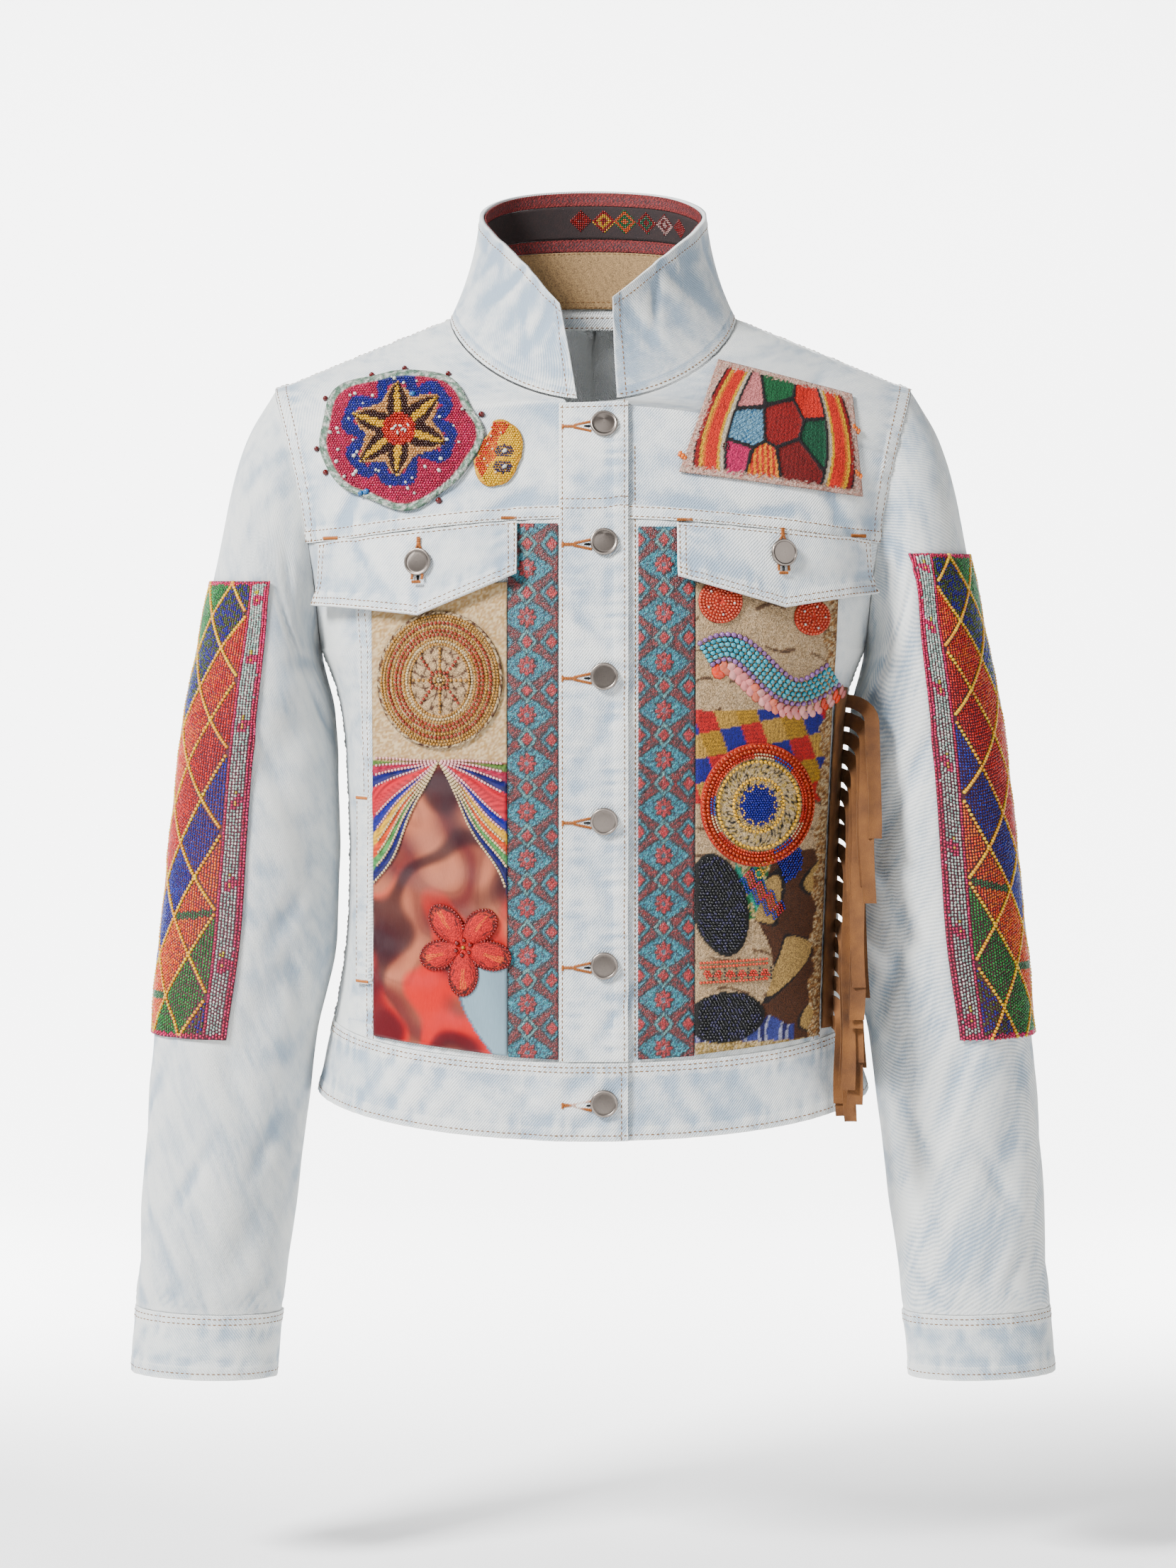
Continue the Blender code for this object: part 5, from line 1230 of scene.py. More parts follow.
def make_placket():
    """Button placket and the welt of the hand pocket, each stitched along its long edges."""
    edges = {"first": "fold", "last": "hem"}
    laid_denim("placket", PLACKET_CORNERS, 42, 401, LAY_CLEARANCE, PLACKET_WALL, edges,
               (("first", 2.0), ("last", 2.4), ("top", 3.0), ("top", 62.6), ("top", 68.4)), 71, -127.2)
    laid_denim("pocket_welt", WELT, 8.4, 117, WELT_LIFT, WELT_WALL, {"first": "fold", "last": "fold"},
               (("first", 1.4), ("last", 1.4)), 73)
    z = np.linspace(-455, -82, 190)
    sew(on_front(25.4 + 0 * z, z, 0.1), front_way(25.4 + 0 * z, z))


def flap_kick(down):
    """How far a flap's lower half bends out, at a share of the way down it."""
    return FLAP_KICK * np.clip((down - FLAP_FLAT) / (1 - FLAP_FLAT), 0, 1) ** 2


def make_flaps():
    """Pointed pocket flaps that hang from the yoke seams over the collage panels."""
    for side, word in SIDES:
        spot = FLAPS[side]
        corner, point, outer_x = spot["inner_x"], spot["point_x"], spot["outer_x"]
        near = share_of(abs(point - corner), 3.4, (True, False))
        far = share_of(abs(outer_x - point), 3.4, (False, True))
        x = np.concatenate((corner + (point - corner) * near, (point + (outer_x - point) * far)[1:]))
        top = np.interp(np.abs(x), (abs(corner), abs(outer_x)), (spot["inner_z"], spot["outer_z"]))
        low = np.interp(np.abs(x), (abs(corner), abs(point), abs(outer_x)),
                        (spot["inner_low"], spot["point_z"], spot["outer_low"]))
        down = share_of(FLAP_LENGTH, 3.2)[::-1][:, None]
        z = top * (1 - down) + low * down
        x = np.broadcast_to(x, z.shape)
        rise = (FLAP_LIFT - FLAP_SEAT) * np.clip(down / FLAP_FLAT, 0, 1)
        points = on_front(x, z, FLAP_SEAT + FLAP_WALL + rise + flap_kick(down))
        edges = {"low": "hem", "first": "fold", "last": "fold"}
        rows = rows_at(edges, 1.5, 5.2) + (("top", 1.6),)
        cloth("flap_" + word, points, (0, -1, 0), edges, rows, wall=FLAP_WALL, seed=75 + side, drawn=False)


# Half section of a button: radius and height, from its back up over the rim to its face.
BUTTON_OUTLINE = (
    (7.2, 0.0), (8.1, 0.5), (8.45, 1.3), (8.4, 2.0), (8.1, 2.65), (7.7, 2.9), (7.3, 2.86), (7.0, 2.66),
    (6.8, 2.5), (6.4, 2.46), (5.4, 2.52), (4.2, 2.57), (2.8, 2.61), (1.4, 2.63), (0.6, 2.64),
)
BUTTON_HEIGHT = 2.65
BUTTON_SIDES = 40
# Painted light on the metal at each radius, then at the back and at the centre of the face: a painted
# highlight on the rolled rim, and darker in the groove inside it.
BUTTON_SHINE = ((0, 0.78), (6.4, 0.7), (6.8, 0.42), (7.3, 0.95), (7.8, 1.2), (8.45, 0.7))
BUTTON_CENTRE_SHINE = (0.5, 0.62)
BUTTON_COLOUR = (0.25, 0.215, 0.19)


def make_buttons():
    """Turned shank buttons: a thin rolled rim, made paler by painted highlight, round a flat brushed face,
    with a dark groove between.
    """
    seats = [("button_%d" % (i + 1), BUTTON_X, z, LAY_CLEARANCE + PLACKET_WALL + SEAM_GAP)
             for i, z in enumerate(BUTTON_Z)]
    seats.append(("button_6", BUTTON_X, BAND_BUTTON_Z, BAND_DENIM + LAY_CLEARANCE + BAND_LIFT + SEAM_GAP))
    for side, word in SIDES:
        spot = FLAPS[side]
        seats.append(("flap_button_" + word, spot["button_x"], spot["button_z"],
                      FLAP_LIFT + FLAP_WALL + SEAM_GAP))
    r, h = np.array(BUTTON_OUTLINE).T
    a = np.arange(BUTTON_SIDES) * 2 * math.pi / BUTTON_SIDES
    # Painted highlight on the rim and a darker groove, as shares of the metal's colour.
    painted_shine = np.repeat(np.interp(r, *np.array(BUTTON_SHINE).T), BUTTON_SIDES)
    chart = np.outer(np.concatenate((painted_shine, BUTTON_CENTRE_SHINE)), BUTTON_COLOUR)
    at = np.arange(len(r) * BUTTON_SIDES).reshape(len(r), BUTTON_SIDES)
    beside = np.roll(at, -1, axis=1)
    low, high = at.size, at.size + 1
    closed = np.stack((at[:-1], at[1:], beside[1:], beside[:-1]), axis=-1).reshape(-1, 4).tolist()
    closed += [[low, int(i), int(j)] for i, j in zip(at[0], beside[0])]
    closed += [[high, int(j), int(i)] for i, j in zip(at[-1], beside[-1])]
    for name, x, z, lift in seats:
        x, z = np.array([x]), np.array([z])
        seat, way = on_front(x, z, lift)[0], front_way(x, z)[0]
        side_way = unit(np.cross(way, (0.0, 0.0, 1.0)))
        up_way = np.cross(side_way, way)
        ring = r[:, None, None] * (np.cos(a)[None, :, None] * side_way + np.sin(a)[None, :, None] * up_way)
        points = seat + ring + h[:, None, None] * way
        points = np.concatenate((points.reshape(-1, 3), (seat, seat + BUTTON_HEIGHT * way)))
        a0, b0, c0 = points[at[3, 0]], points[at[4, 0]], points[beside[4, 0]]
        turned_in = np.dot(np.cross(b0 - a0, c0 - a0), a0 - seat) < 0
        faces = [face[::-1] for face in closed] if turned_in else closed
        make_object(name, points, faces, "gunmetal", (name,), "button_metal", chart=chart)


FRINGE_STRIP = ((146.5, -441.0), (156.0, -230.0))
FRINGE_STRIP_WIDTH = 6.5
FRINGE_STRIP_WALL = 1.6
FRINGE_LIFT = 1.2
FRINGE_WIDTH = 9.6
FRINGE_THICKNESS = 1.1
FRINGE_TURN = 12.0
FRINGE_CURTAIN = (-76.0, 0.075)
FRINGE_SPLAY = 0.125
# Each strip from the top down: how far it reaches sideways, its hanging length, its lean in
# hundredths of its drop, and how far it curls in degrees.
FRINGE_ROWS = (
    (15, 72, 1, 12), (12, 100, 0, -10), (10, 78, 2, 9), (8, 128, -1, -12), (7, 136, 0, 10),
    (5, 96, 2, -9), (7, 118, 1, 12), (9, 88, 3, -10), (5, 132, -2, 9), (8, 104, 2, -12),
    (7, 118, 1, 10), (9, 84, 3, -9), (5, 82, -1, 12), (8, 76, 2, -10), (7, 82, 1, 9),
    (9, 44, 4, -12), (5, 48, -2, 10), (6, 44, 0, -9),
)


def fringe_grid(root, reach, hang, lean, curl, width):
    """Centre surface of a suede strip and its thickness directions.

    It leaves the root sideways and forwards, turns down over a short arc up to a slanting curtain
    line, then hangs and splays. Its width turns from upright to level, cups and twists a little.
    """
    turn_length = math.pi / 2 * FRINGE_TURN
    run = np.linspace(0, 1, 26) ** 1.1 * (hang + turn_length)
    bend = np.minimum(run / FRINGE_TURN, math.pi / 2)
    rest = np.maximum(run - turn_length, 0)
    drop = FRINGE_TURN * (1 - np.cos(bend)) + rest
    curtain = (FRINGE_CURTAIN[0] + FRINGE_CURTAIN[1] * (root[2] - drop - FRINGE_STRIP[0][1])
               - FRINGE_SPLAY * drop)
    ahead_y = (curtain - root[1]) * np.sin(bend)
    heading = np.arctan2(curtain - root[1], reach) * (1 - bend / (math.pi / 2)) ** 2
    heading = heading + np.radians(curl) * np.sin(rest / hang * 3.4)
    level = stack(np.cos(heading), np.sin(heading), 0 * run)
    sway = 1.1 * np.sin(rest / 21 + curl) * rest / hang
    sideways = reach * np.sin(bend) + lean / 100 * rest + sway
    place = root + stack(sideways, ahead_y, -drop)
    flat = level * np.sin(bend)[:, None] + stack(0 * run, 0 * run, np.cos(bend))
    ahead = level * np.cos(bend)[:, None] - stack(0 * run, 0 * run, np.sin(bend))
    thick = np.cross(ahead, flat)
    t = np.linspace(-1, 1, 5)
    half = width / 2 * (0.9 + 0.06 * np.sin(run / 13 + curl))
    grid = place[:, None] + flat[:, None] * (t[None, :] * half[:, None])[..., None]
    cup = (t * t)[None, :, None] * 0.6 * thick[:, None] * np.sin(bend)[:, None, None]
    return grid + cup, np.broadcast_to(thick[:, None], grid.shape)


def make_fringe():
    """Suede strips, each cut straight across at its end, on a root strip."""
    low, high = np.asarray(FRINGE_STRIP)
    count = len(FRINGE_ROWS)
    up = np.linspace(0, 1, 2 * count + 1)
    across = np.array((-FRINGE_STRIP_WIDTH, -3.2, -1.0, 0.0))
    x = low[0] + (high[0] - low[0]) * up[:, None] + across
    z = low[1] + (high[1] - low[1]) * up[:, None] + 0 * across
    laid("suede_fringe", x, z, FRINGE_LIFT, FRINGE_STRIP_WALL, "suede", "suede", every=4)
    points, faces = [], []
    total, wide, long, area = 0, 0.0, 0.0, 0.0
    half = FRINGE_THICKNESS / 2
    for index, (reach, hang, lean, curl) in enumerate(FRINGE_ROWS):
        share = (2 * (count - 1 - index) + 0.5) / (2 * count)
        x0, z0 = low + (high - low) * share
        origin = on_front(np.array([x0]), np.array([z0]), FRINGE_LIFT + FRINGE_STRIP_WALL / 2)[0]
        width = FRINGE_WIDTH + 0.5 * math.sin(2.1 * index)
        grid, thick = fringe_grid(origin, reach, hang, lean, curl, width)
        both = np.concatenate(((grid + thick * half).reshape(-1, 3), (grid - thick * half).reshape(-1, 3)))
        rows, cols = grid.shape[:2]
        size = rows * cols
        at = np.arange(size).reshape(rows, cols)
        quads, ring = quads_of(at), border_of(at)
        rim = np.stack((np.roll(ring, -1), ring, ring + size, np.roll(ring, -1) + size), axis=-1)
        every = np.concatenate((quads, quads[:, ::-1] + size, rim))
        a, b, c = both[at[0, 0]], both[at[0, 1]], both[at[1, 0]]
        if np.dot(np.cross(b - a, c - a), both[0] - both[size]) < 0:
            every = every[:, ::-1]
        points.append(both)
        length = hang + math.pi / 2 * FRINGE_TURN
        wide, long, area = wide + width, max(long, length), area + width * length
        faces += (every + total).tolist()
        total += len(both)
    strips = make_object("suede_fringe_strips", np.concatenate(points), faces, "suede", ("suede_fringe",),
                         "suede", sharp=True)


def make_floor():
    """Pale floor that curves up behind into a backdrop, clear where it is seen from behind."""
    a = np.linspace(0, math.pi / 2, 12)
    depth = np.concatenate(((-3.2,), 1.6 + 1.2 * np.sin(a), (2.8,)))
    height = np.concatenate(((0.0,), 1.2 - 1.2 * np.cos(a), (3.4,))) + FLOOR_Z
    points = [(x, y, z) for y, z in zip(depth, height) for x in (-5.0, 5.0)]
    faces = [(2 * k, 2 * k + 1, 2 * k + 3, 2 * k + 2) for k in range(len(depth) - 1)]
    mesh = bpy.data.meshes.new("floor")
    mesh.from_pydata(points, [], faces)
    mesh.shade_smooth()
    made, tree, shader = start("pale_floor", 0.95)
    cloud = noise(tree, place_on(tree), 0.7, 2.0)
    tree.links.new(blend(tree, cloud, rgba((0.90, 0.90, 0.90)), rgba((0.93, 0.93, 0.93))),
                   shader.inputs["Base Color"])
    behind = add(tree, "ShaderNodeNewGeometry").node.outputs["Backfacing"]
    clear = add(tree, "ShaderNodeBsdfTransparent")
    seen = add(tree, "ShaderNodeMixShader", {0: behind, 1: shader.outputs[0], 2: clear})
    tree.links.new(seen, tree.nodes["Material Output"].inputs["Surface"])
    mesh.materials.append(made)
    floor = bpy.data.objects.new("floor", mesh)
    bpy.context.scene.collection.objects.link(floor)


def area_light(name, place, aim, size, power):
    """Soft square light aimed at a point."""
    lamp = bpy.data.lights.new(name, "AREA")
    lamp.shape, lamp.size, lamp.energy = "SQUARE", size, power
    made = bpy.data.objects.new(name, lamp)
    made.location = place
    made.rotation_euler = (Vector(aim) - Vector(place)).to_track_quat("-Z", "Y").to_euler()
    bpy.context.scene.collection.objects.link(made)


def make_studio():
    """Floor, a key light, a fill, two lights on the backdrop, an even pale sky, and the photo's camera."""
    make_floor()
    area_light("key", (-1.9, -1.7, 1.7), (0, 0, -0.28), 0.8, 335)
    area_light("fill", (1.9, -2.2, 0.4), (0, 0, -0.3), 2.2, 44)
    for side, word in SIDES:
        area_light("backdrop_" + word, (side * 1.2, 0.8, 0.1), (0, 2.6, 0), 0.9, 145)
    world = bpy.data.worlds.new("studio")
    world.use_nodes = True
    sky = world.node_tree.nodes["Background"]
    sky.inputs["Color"].default_value = (1, 1, 1, 1)
    sky.inputs["Strength"].default_value = SKY_STRENGTH
    bpy.context.scene.world = world
    lens = bpy.data.cameras.new("camera")
    lens.sensor_fit, lens.sensor_height, lens.lens = "VERTICAL", 36.0, CAMERA_LENS
    camera = bpy.data.objects.new("camera", lens)
    camera.location = CAMERA_PLACE
    aim = Vector(CAMERA_AIM) - Vector(CAMERA_PLACE)
    camera.rotation_euler = aim.to_track_quat("-Z", "Y").to_euler()
    bpy.context.scene.collection.objects.link(camera)
    bpy.context.scene.camera = camera


CRIMSON, BRICK, GOLD = tint(190, 12, 100), tint(178, 84, 60), tint(208, 164, 104)
CREAM, WHITE, BEIGE = tint(236, 216, 184), tint(240, 240, 234), tint(212, 188, 158)
INDIGO, ROYAL, AQUA = tint(48, 46, 122), tint(34, 48, 158), tint(128, 198, 212)
PINK, ROSE = tint(222, 84, 132), tint(240, 172, 170)
ORANGE, YELLOW, CORAL = tint(240, 118, 44), tint(250, 206, 36), tint(236, 112, 92)
GREEN, MOSS, LILAC = tint(42, 132, 84), tint(122, 150, 90), tint(172, 138, 186)
BROWN, MAROON, BLACK = tint(94, 56, 40), tint(92, 18, 26), tint(24, 20, 28)
RUST, RED = tint(200, 76, 34), tint(200, 26, 34)


def speckled(shape, colours, seed):
    """Colour of each point of a grid, drawn by chance from a few."""
    picks = np.random.default_rng(seed).integers(0, len(colours), shape)
    return np.asarray(colours)[picks]


def paint(chart, mask, colour):
    """Lay a colour, or a grid of colours, over the masked part of a chart."""
    chart[mask] = colour[mask] if np.ndim(colour) == chart.ndim else colour


def oval(x, z, wide, tall):
    """Path round an ellipse."""
    a = np.radians(np.linspace(0.0, 360.0, 120))
    return np.stack((x + wide * np.cos(a), z + tall * np.sin(a)), axis=1)


def plain_round(a):
    """Outline of a round patch: the same share of its radius at every angle."""
    return 1 + 0 * a


def picked(colours, count):
    """Colours drawn by chance from a few, one for each bead."""
    return np.array(colours)[rng.integers(0, len(colours), count)]


def row(path, pitch, lift, radius, colour, stretch=1.0):
    """Bag of beads in a row along a path of (x, z) points."""
    x, z, heading = line_of(path, pitch)
    return bag(x, z, lift, radius, colour, heading, stretch)


def field(low, high, pitch, inside):
    """Places in staggered rows between two corners, a little uneven, where inside says so."""
    x, z = np.meshgrid(np.arange(low[0], high[0], pitch), np.arange(low[1], high[1], pitch * 0.9))
    x = x + (np.arange(len(x)) % 2)[:, None] * pitch / 2 + rng.uniform(-0.13, 0.13, x.shape) * pitch
    z = z + rng.uniform(-0.13, 0.13, z.shape) * pitch
    keep = inside(x, z)
    return x[keep], z[keep]


def round_patch(name, x, z, wide, tall, outline, lift, edge, crown, slot, paint_of, rings=24, around=96):
    """Domed patch on the front whose radius follows an outline of the angle."""
    a = np.arange(around) * 2 * math.pi / around
    share = np.linspace(0.02, 1, rings)[:, None]
    px = x + wide * outline(a) * np.cos(a) * share
    pz = z + tall * outline(a) * np.sin(a) * share
    height = edge + (crown - edge) * (1 - share ** 2) + 0 * px
    chart, rise = paint_of(share + 0 * px, a + 0 * px, px, pz)
    outer, inner = on_front(px, pz, lift + height + rise), on_front(px, pz, lift)
    uv = np.stack((px, pz), axis=-1) / 10
    uv = np.concatenate((uv, uv[:, :1]), axis=1)
    piece = shell(name, outer, inner, "stitched", (name,), slot, chart=chart, uv=uv, every=4, around=True)
    declare(piece, inner, "laid", around=True)


def braid_chart(x, z, middle, first, seed):
    """Lattice of teal eyes with crimson flowers, small diamonds and narrow dark red bands."""
    pitch = 29.4
    off = (z - first + pitch / 2) % pitch - pitch / 2
    half = pitch / 2 - np.abs(off)
    across = np.abs(x - middle)
    edge = np.abs(across - 14.9)
    eye = np.abs(off) / 9.8 + (across / 14.6) ** 1.25
    side = edge / 6.6 + half / 7.9
    small = across / 3.1 + half / 3.9
    tones = {
        "band": ((142, 52, 58), (168, 66, 66), (104, 38, 48), (126, 58, 62), (60, 44, 54)),
        "dark": ((38, 44, 56), (56, 30, 38), (28, 62, 72), (44, 38, 48)),
        "water": ((62, 152, 172), (40, 116, 136), (96, 180, 194), (28, 78, 94), (74, 160, 168)),
        "pale": ((132, 186, 188), (98, 158, 166), (150, 190, 186), (60, 120, 132)),
        "rose": ((196, 32, 66), (214, 62, 94), (156, 22, 44), (180, 34, 62)),
        "heart": ((110, 150, 158), (70, 110, 122), (150, 120, 130)),
    }
    tones = {name: speckled(x.shape, [tint(*level) for level in levels], seed + k)
             for k, (name, levels) in enumerate(tones.items())}
    chart = tones["band"].copy()
    for shape, steps in ((eye, ((1.2, "dark"), (1.07, "water"))),
                         (side, ((1.22, "dark"), (1.0, "water"), (0.72, "dark"), (0.52, "rose"))),
                         (small, ((2.25, "dark"), (1.95, "pale"), (1.4, "dark"), (1.0, "rose")))):
        for reach, name in steps:
            paint(chart, shape < reach, tones[name])
    angle = np.arctan2(off, x - middle)
    radius = np.hypot(x - middle, off / 1.1)
    petals = 5.4 * (0.88 + 0.14 * np.cos(8 * angle))
    paint(chart, radius < petals + 0.9, tones["dark"])
    paint(chart, radius < petals, tones["rose"])
    paint(chart, (radius < petals) & (np.cos(8 * angle) < -0.72) & (radius > 2.4), tones["dark"])
    paint(chart, radius < 1.5, tones["heart"])
    rise = 0.35 * (radius < petals) + 0.2 * (small < 1) - 0.12 * (eye < 1) + 0.15 * (eye > 1.2)
    return chart, rise


def make_braids():
    """Knotted lattice braid down each front, beside the placket."""
    for name, corners, middle, first in (
            ("braid_left", ((-51.5, -454.5), (-21.5, -456), (-21.5, -130.5), (-51.5, -130.5)), -40.0, -187.0),
            ("braid_right", ((27.2, -456), (61.2, -454), (61.2, -132.5), (27.2, -132.5)), 42.6, -390.3)):
        x, z = rect(corners, np.linspace(0, 1, 39), np.linspace(0, 1, 372))
        chart, rise = braid_chart(x, z, middle, first, 81)
        rise = rise + 0.2 * rng.standard_normal(x.shape)
        rise[[0, -1]] = rise[:, [0, -1]] = 0
        laid(name, x, z, 0.7, 1.4, "braid", "braid", chart, rise, every=12)


COLLAGE_CORNERS = {
    LEFT: ((-134, -445), (-52.1, -454), (-52.1, -166), (-134, -168)),
    RIGHT: ((61.8, -453.5), (137.5, -445), (149, -166), (61.8, -166)),
}
COLLAGE_TOP = {LEFT: 2.5, RIGHT: 2.6}
FAN = (-93.0, -274.0)
# Stripes of the fan from level to steep: last angle in degrees, colour, how far it stands out.
FAN_STRIPES = (
    (7, MOSS, 0.9), (15, CRIMSON, 1.5), (24, INDIGO, 1.3), (41, tint(226, 62, 96), 1.7),
    (47, ROYAL, 1.3), (52, YELLOW, 1.2), (56, ORANGE, 1.2), (59.5, tint(120, 178, 120), 1.1),
    (63.5, INDIGO, 1.3),
)
FAN_EDGES = (0.0, *(stripe[0] for stripe in FAN_STRIPES))


def marbling(x, z):
    """Abstract marbled print: plum, sand, charcoal and flame in slow swirls with finer veins."""
    a = x / 15 + 1.6 * np.sin(z / 21 + 0.6) + 1.1 * np.sin(x / 8 + z / 12)
    b = z / 26 + 1.3 * np.sin(x / 13 - 0.9) + 0.9 * np.sin(z / 9 - x / 17)
    tone = (0.5 + 0.5 * np.sin(a + 1.1 * b))[..., None]
    warm = smooth(0.9 * np.sin(1.1 * b - a + 1.3) + 0.75 - (z + 445) / 70)[..., None]
    dark = smooth(np.sin(a * 0.6 - b * 1.2 + 2.2) * 1.1 - 0.1)[..., None]
    vein = smooth(np.sin(2.6 * a + 1.9 * b) * 3 - 2.1)[..., None]
    base = tint(134, 78, 76) * (1 - tone) + tint(206, 146, 124) * tone
    base = base * (1 - 0.9 * warm) + tint(226, 58, 26) * 0.9 * warm
    base = base * (1 - 0.85 * dark) + tint(58, 36, 48) * 0.85 * dark
    return base * (1 - 0.22 * vein) + tint(98, 52, 56) * 0.22 * vein


def fan_stripes(x, z):
    """Number of the fan's stripe at a place, or -1, and distances to its nearer edge and to the top."""
    across, down = np.abs(x - FAN[0]) + 1e-6, FAN[1] - z
    reach = np.hypot(across, down)
    wobble = 1.8 * np.sin(reach / 11 + np.sign(x - FAN[0]))
    angle = np.degrees(np.arctan2(down, across)) + wobble
    ends = np.array(FAN_EDGES)
    number = np.searchsorted(ends, angle, side="right") - 1
    inside = (number >= 0) & (number < len(FAN_STRIPES))
    number = np.where(inside, number, -1)
    near = np.minimum(np.abs(angle - ends[np.clip(number, 0, None)]),
                      np.abs(ends[np.clip(number + 1, 0, len(ends) - 1)] - angle))
    return number, np.radians(near) * reach, reach


def make_collage_left():
    """Marbled satin ground with the corded fan, and a pale blue satin corner."""
    x, z = rect(COLLAGE_CORNERS[LEFT], np.linspace(0, 1, 76), np.linspace(0, 1, 262))
    chart = marbling(x, z)
    rise = 0.7 * ripple(x, z, 34, 91) + 0.3 * ripple(x, z, 14, 90)
    number, near, reach = fan_stripes(x, z)
    for k, (_, colour, high) in enumerate(FAN_STRIPES):
        mask = (number == k) & (z > -372)
        strand = 0.78 + 0.34 * np.sin(reach * 2.2 + 7 * near)[..., None]
        paint(chart, mask, np.clip(colour * strand, 0, 1))
        rise = np.where(mask, high * np.sqrt(np.clip(near / 2.2, 0, 1)), rise)
    top = z > FAN[1] - 1
    paint(chart, top, speckled(x.shape, (BEIGE, tint(198, 170, 132), CREAM), 92))
    rise = np.where(top, 0.15 * rng.standard_normal(x.shape), rise)
    bow = 22 * ((z + 400) / 52) ** 2
    corner = (z < -400) & (x > -84 + bow)
    seam = np.abs(x - (-84 + bow)) < 1.2
    paint(chart, corner, tint(178, 198, 208) * (0.9 + 0.1 * np.sin(x / 6 + z / 17))[..., None])
    paint(chart, corner & seam, tint(120, 142, 158))
    rise = np.where(corner, 0.9 * smooth((x + 84 - bow) / 3), rise)
    rise[[0, -1]] = rise[:, [0, -1]] = 0
    laid("collage_left", x, z, 1.3, 1.2, "satin", "collage", chart, rise,
         nodes=("collage_left", "corded_fan", "satin_corner"))
    lift = COLLAGE_TOP[LEFT]
    make_fan_edges(lift)
    make_paisley(lift)
    make_petal_flower(-78.0, -388.0, lift + 0.5)


def make_fan_edges(lift):
    """Pale beads in rows between the stripes of the fan, on both of its sides."""
    bags = []
    for side in (-1, 1):
        for angle in FAN_EDGES:
            steep = math.radians(angle)
            far = min(39 / max(math.cos(steep), 0.01), 96 / max(math.sin(steep), 0.05))
            run = np.linspace(2, far - 1.5, 60)
            bent = np.radians(angle - 1.8 * np.sin(run / 11 + side))
            path = np.stack((FAN[0] + side * run * np.cos(bent), FAN[1] - run * np.sin(bent)), axis=1)
            bags.append(row(path, 2.0, lift + 0.7, 1.05, tint(252, 206, 206) if angle < 50 else CREAM, 1.15))
    bead_mesh("fan_edge_beads", bags, nodes=("corded_fan",))


def make_paisley(lift):
    """Round medallion of sandy stones in a speckled ring, edged and rayed with gold and brick beads."""
    middle = (-92.0, -225.0)
    rows = ((34.9, 38.9, GOLD, 0.95), (33.0, 37.0, GOLD, 0.95), (30.7, 34.7, BRICK, 1.25),
            (28.4, 32.4, GOLD, 0.95), (26.1, 30.1, BRICK, 1.25), (23.7, 27.7, BRICK, 1.25),
            (21.5, 25.5, GOLD, 0.95), (19.6, 23.6, CREAM, 0.9), (17.8, 21.8, GOLD, 0.95))
    bags = [row(oval(*middle, wide, tall), 2 * size * 0.97, lift + 1.6, size, colour)
            for wide, tall, colour, size in rows]
    for k in range(8):
        a = k * math.pi / 4
        path = np.stack((middle[0] + np.linspace(6.8, 15.6, 20) * math.cos(a),
                         middle[1] + np.linspace(6.8, 19.0, 20) * math.sin(a)), axis=1)
        bags.append(row(path, 2.3, lift + 1.6, 1.15, BRICK if k % 2 else GOLD))
    for radius, colour, size in ((5.2, BRICK, 1.2), (2.9, GOLD, 1.0), (1.0, CREAM, 0.9)):
        bags.append(row(oval(*middle, radius, radius), 2 * size, lift + 1.8, size, colour))
    bead_mesh("paisley_beads", bags, nodes=("paisley_medallion",))

    def medallion(share, a, px, pz):
        """Colours and heights: a speckled ground with a darker rim round pebbled stone."""
        chart = speckled(px.shape, (tint(200, 168, 120), CREAM, tint(176, 138, 92)), 93)
        paint(chart, share > 0.965, speckled(px.shape, (CREAM, BROWN, CREAM, tint(120, 84, 60)), 94))
        pebble = np.sin(px / 1.9 + 0.8 * np.sin(pz / 2.6)) * np.sin(pz / 2.2 + 0.9 * np.sin(px / 2.8))
        stone = tint(222, 196, 164) * (0.8 + 0.3 * np.abs(pebble))[..., None]
        paint(chart, share < 0.5, stone)
        paint(chart, (share < 0.5) & (np.abs(pebble) < 0.12), tint(112, 84, 66))
        return chart, 0.5 * (share > 0.965) - 0.6 * (share < 0.5) + 0.5 * (share < 0.5) * np.abs(pebble)

    round_patch("paisley_medallion", *middle, 37.5, 41.5, plain_round, 2.6, 1.2, 1.7, "collage", medallion,
                rings=40, around=150)


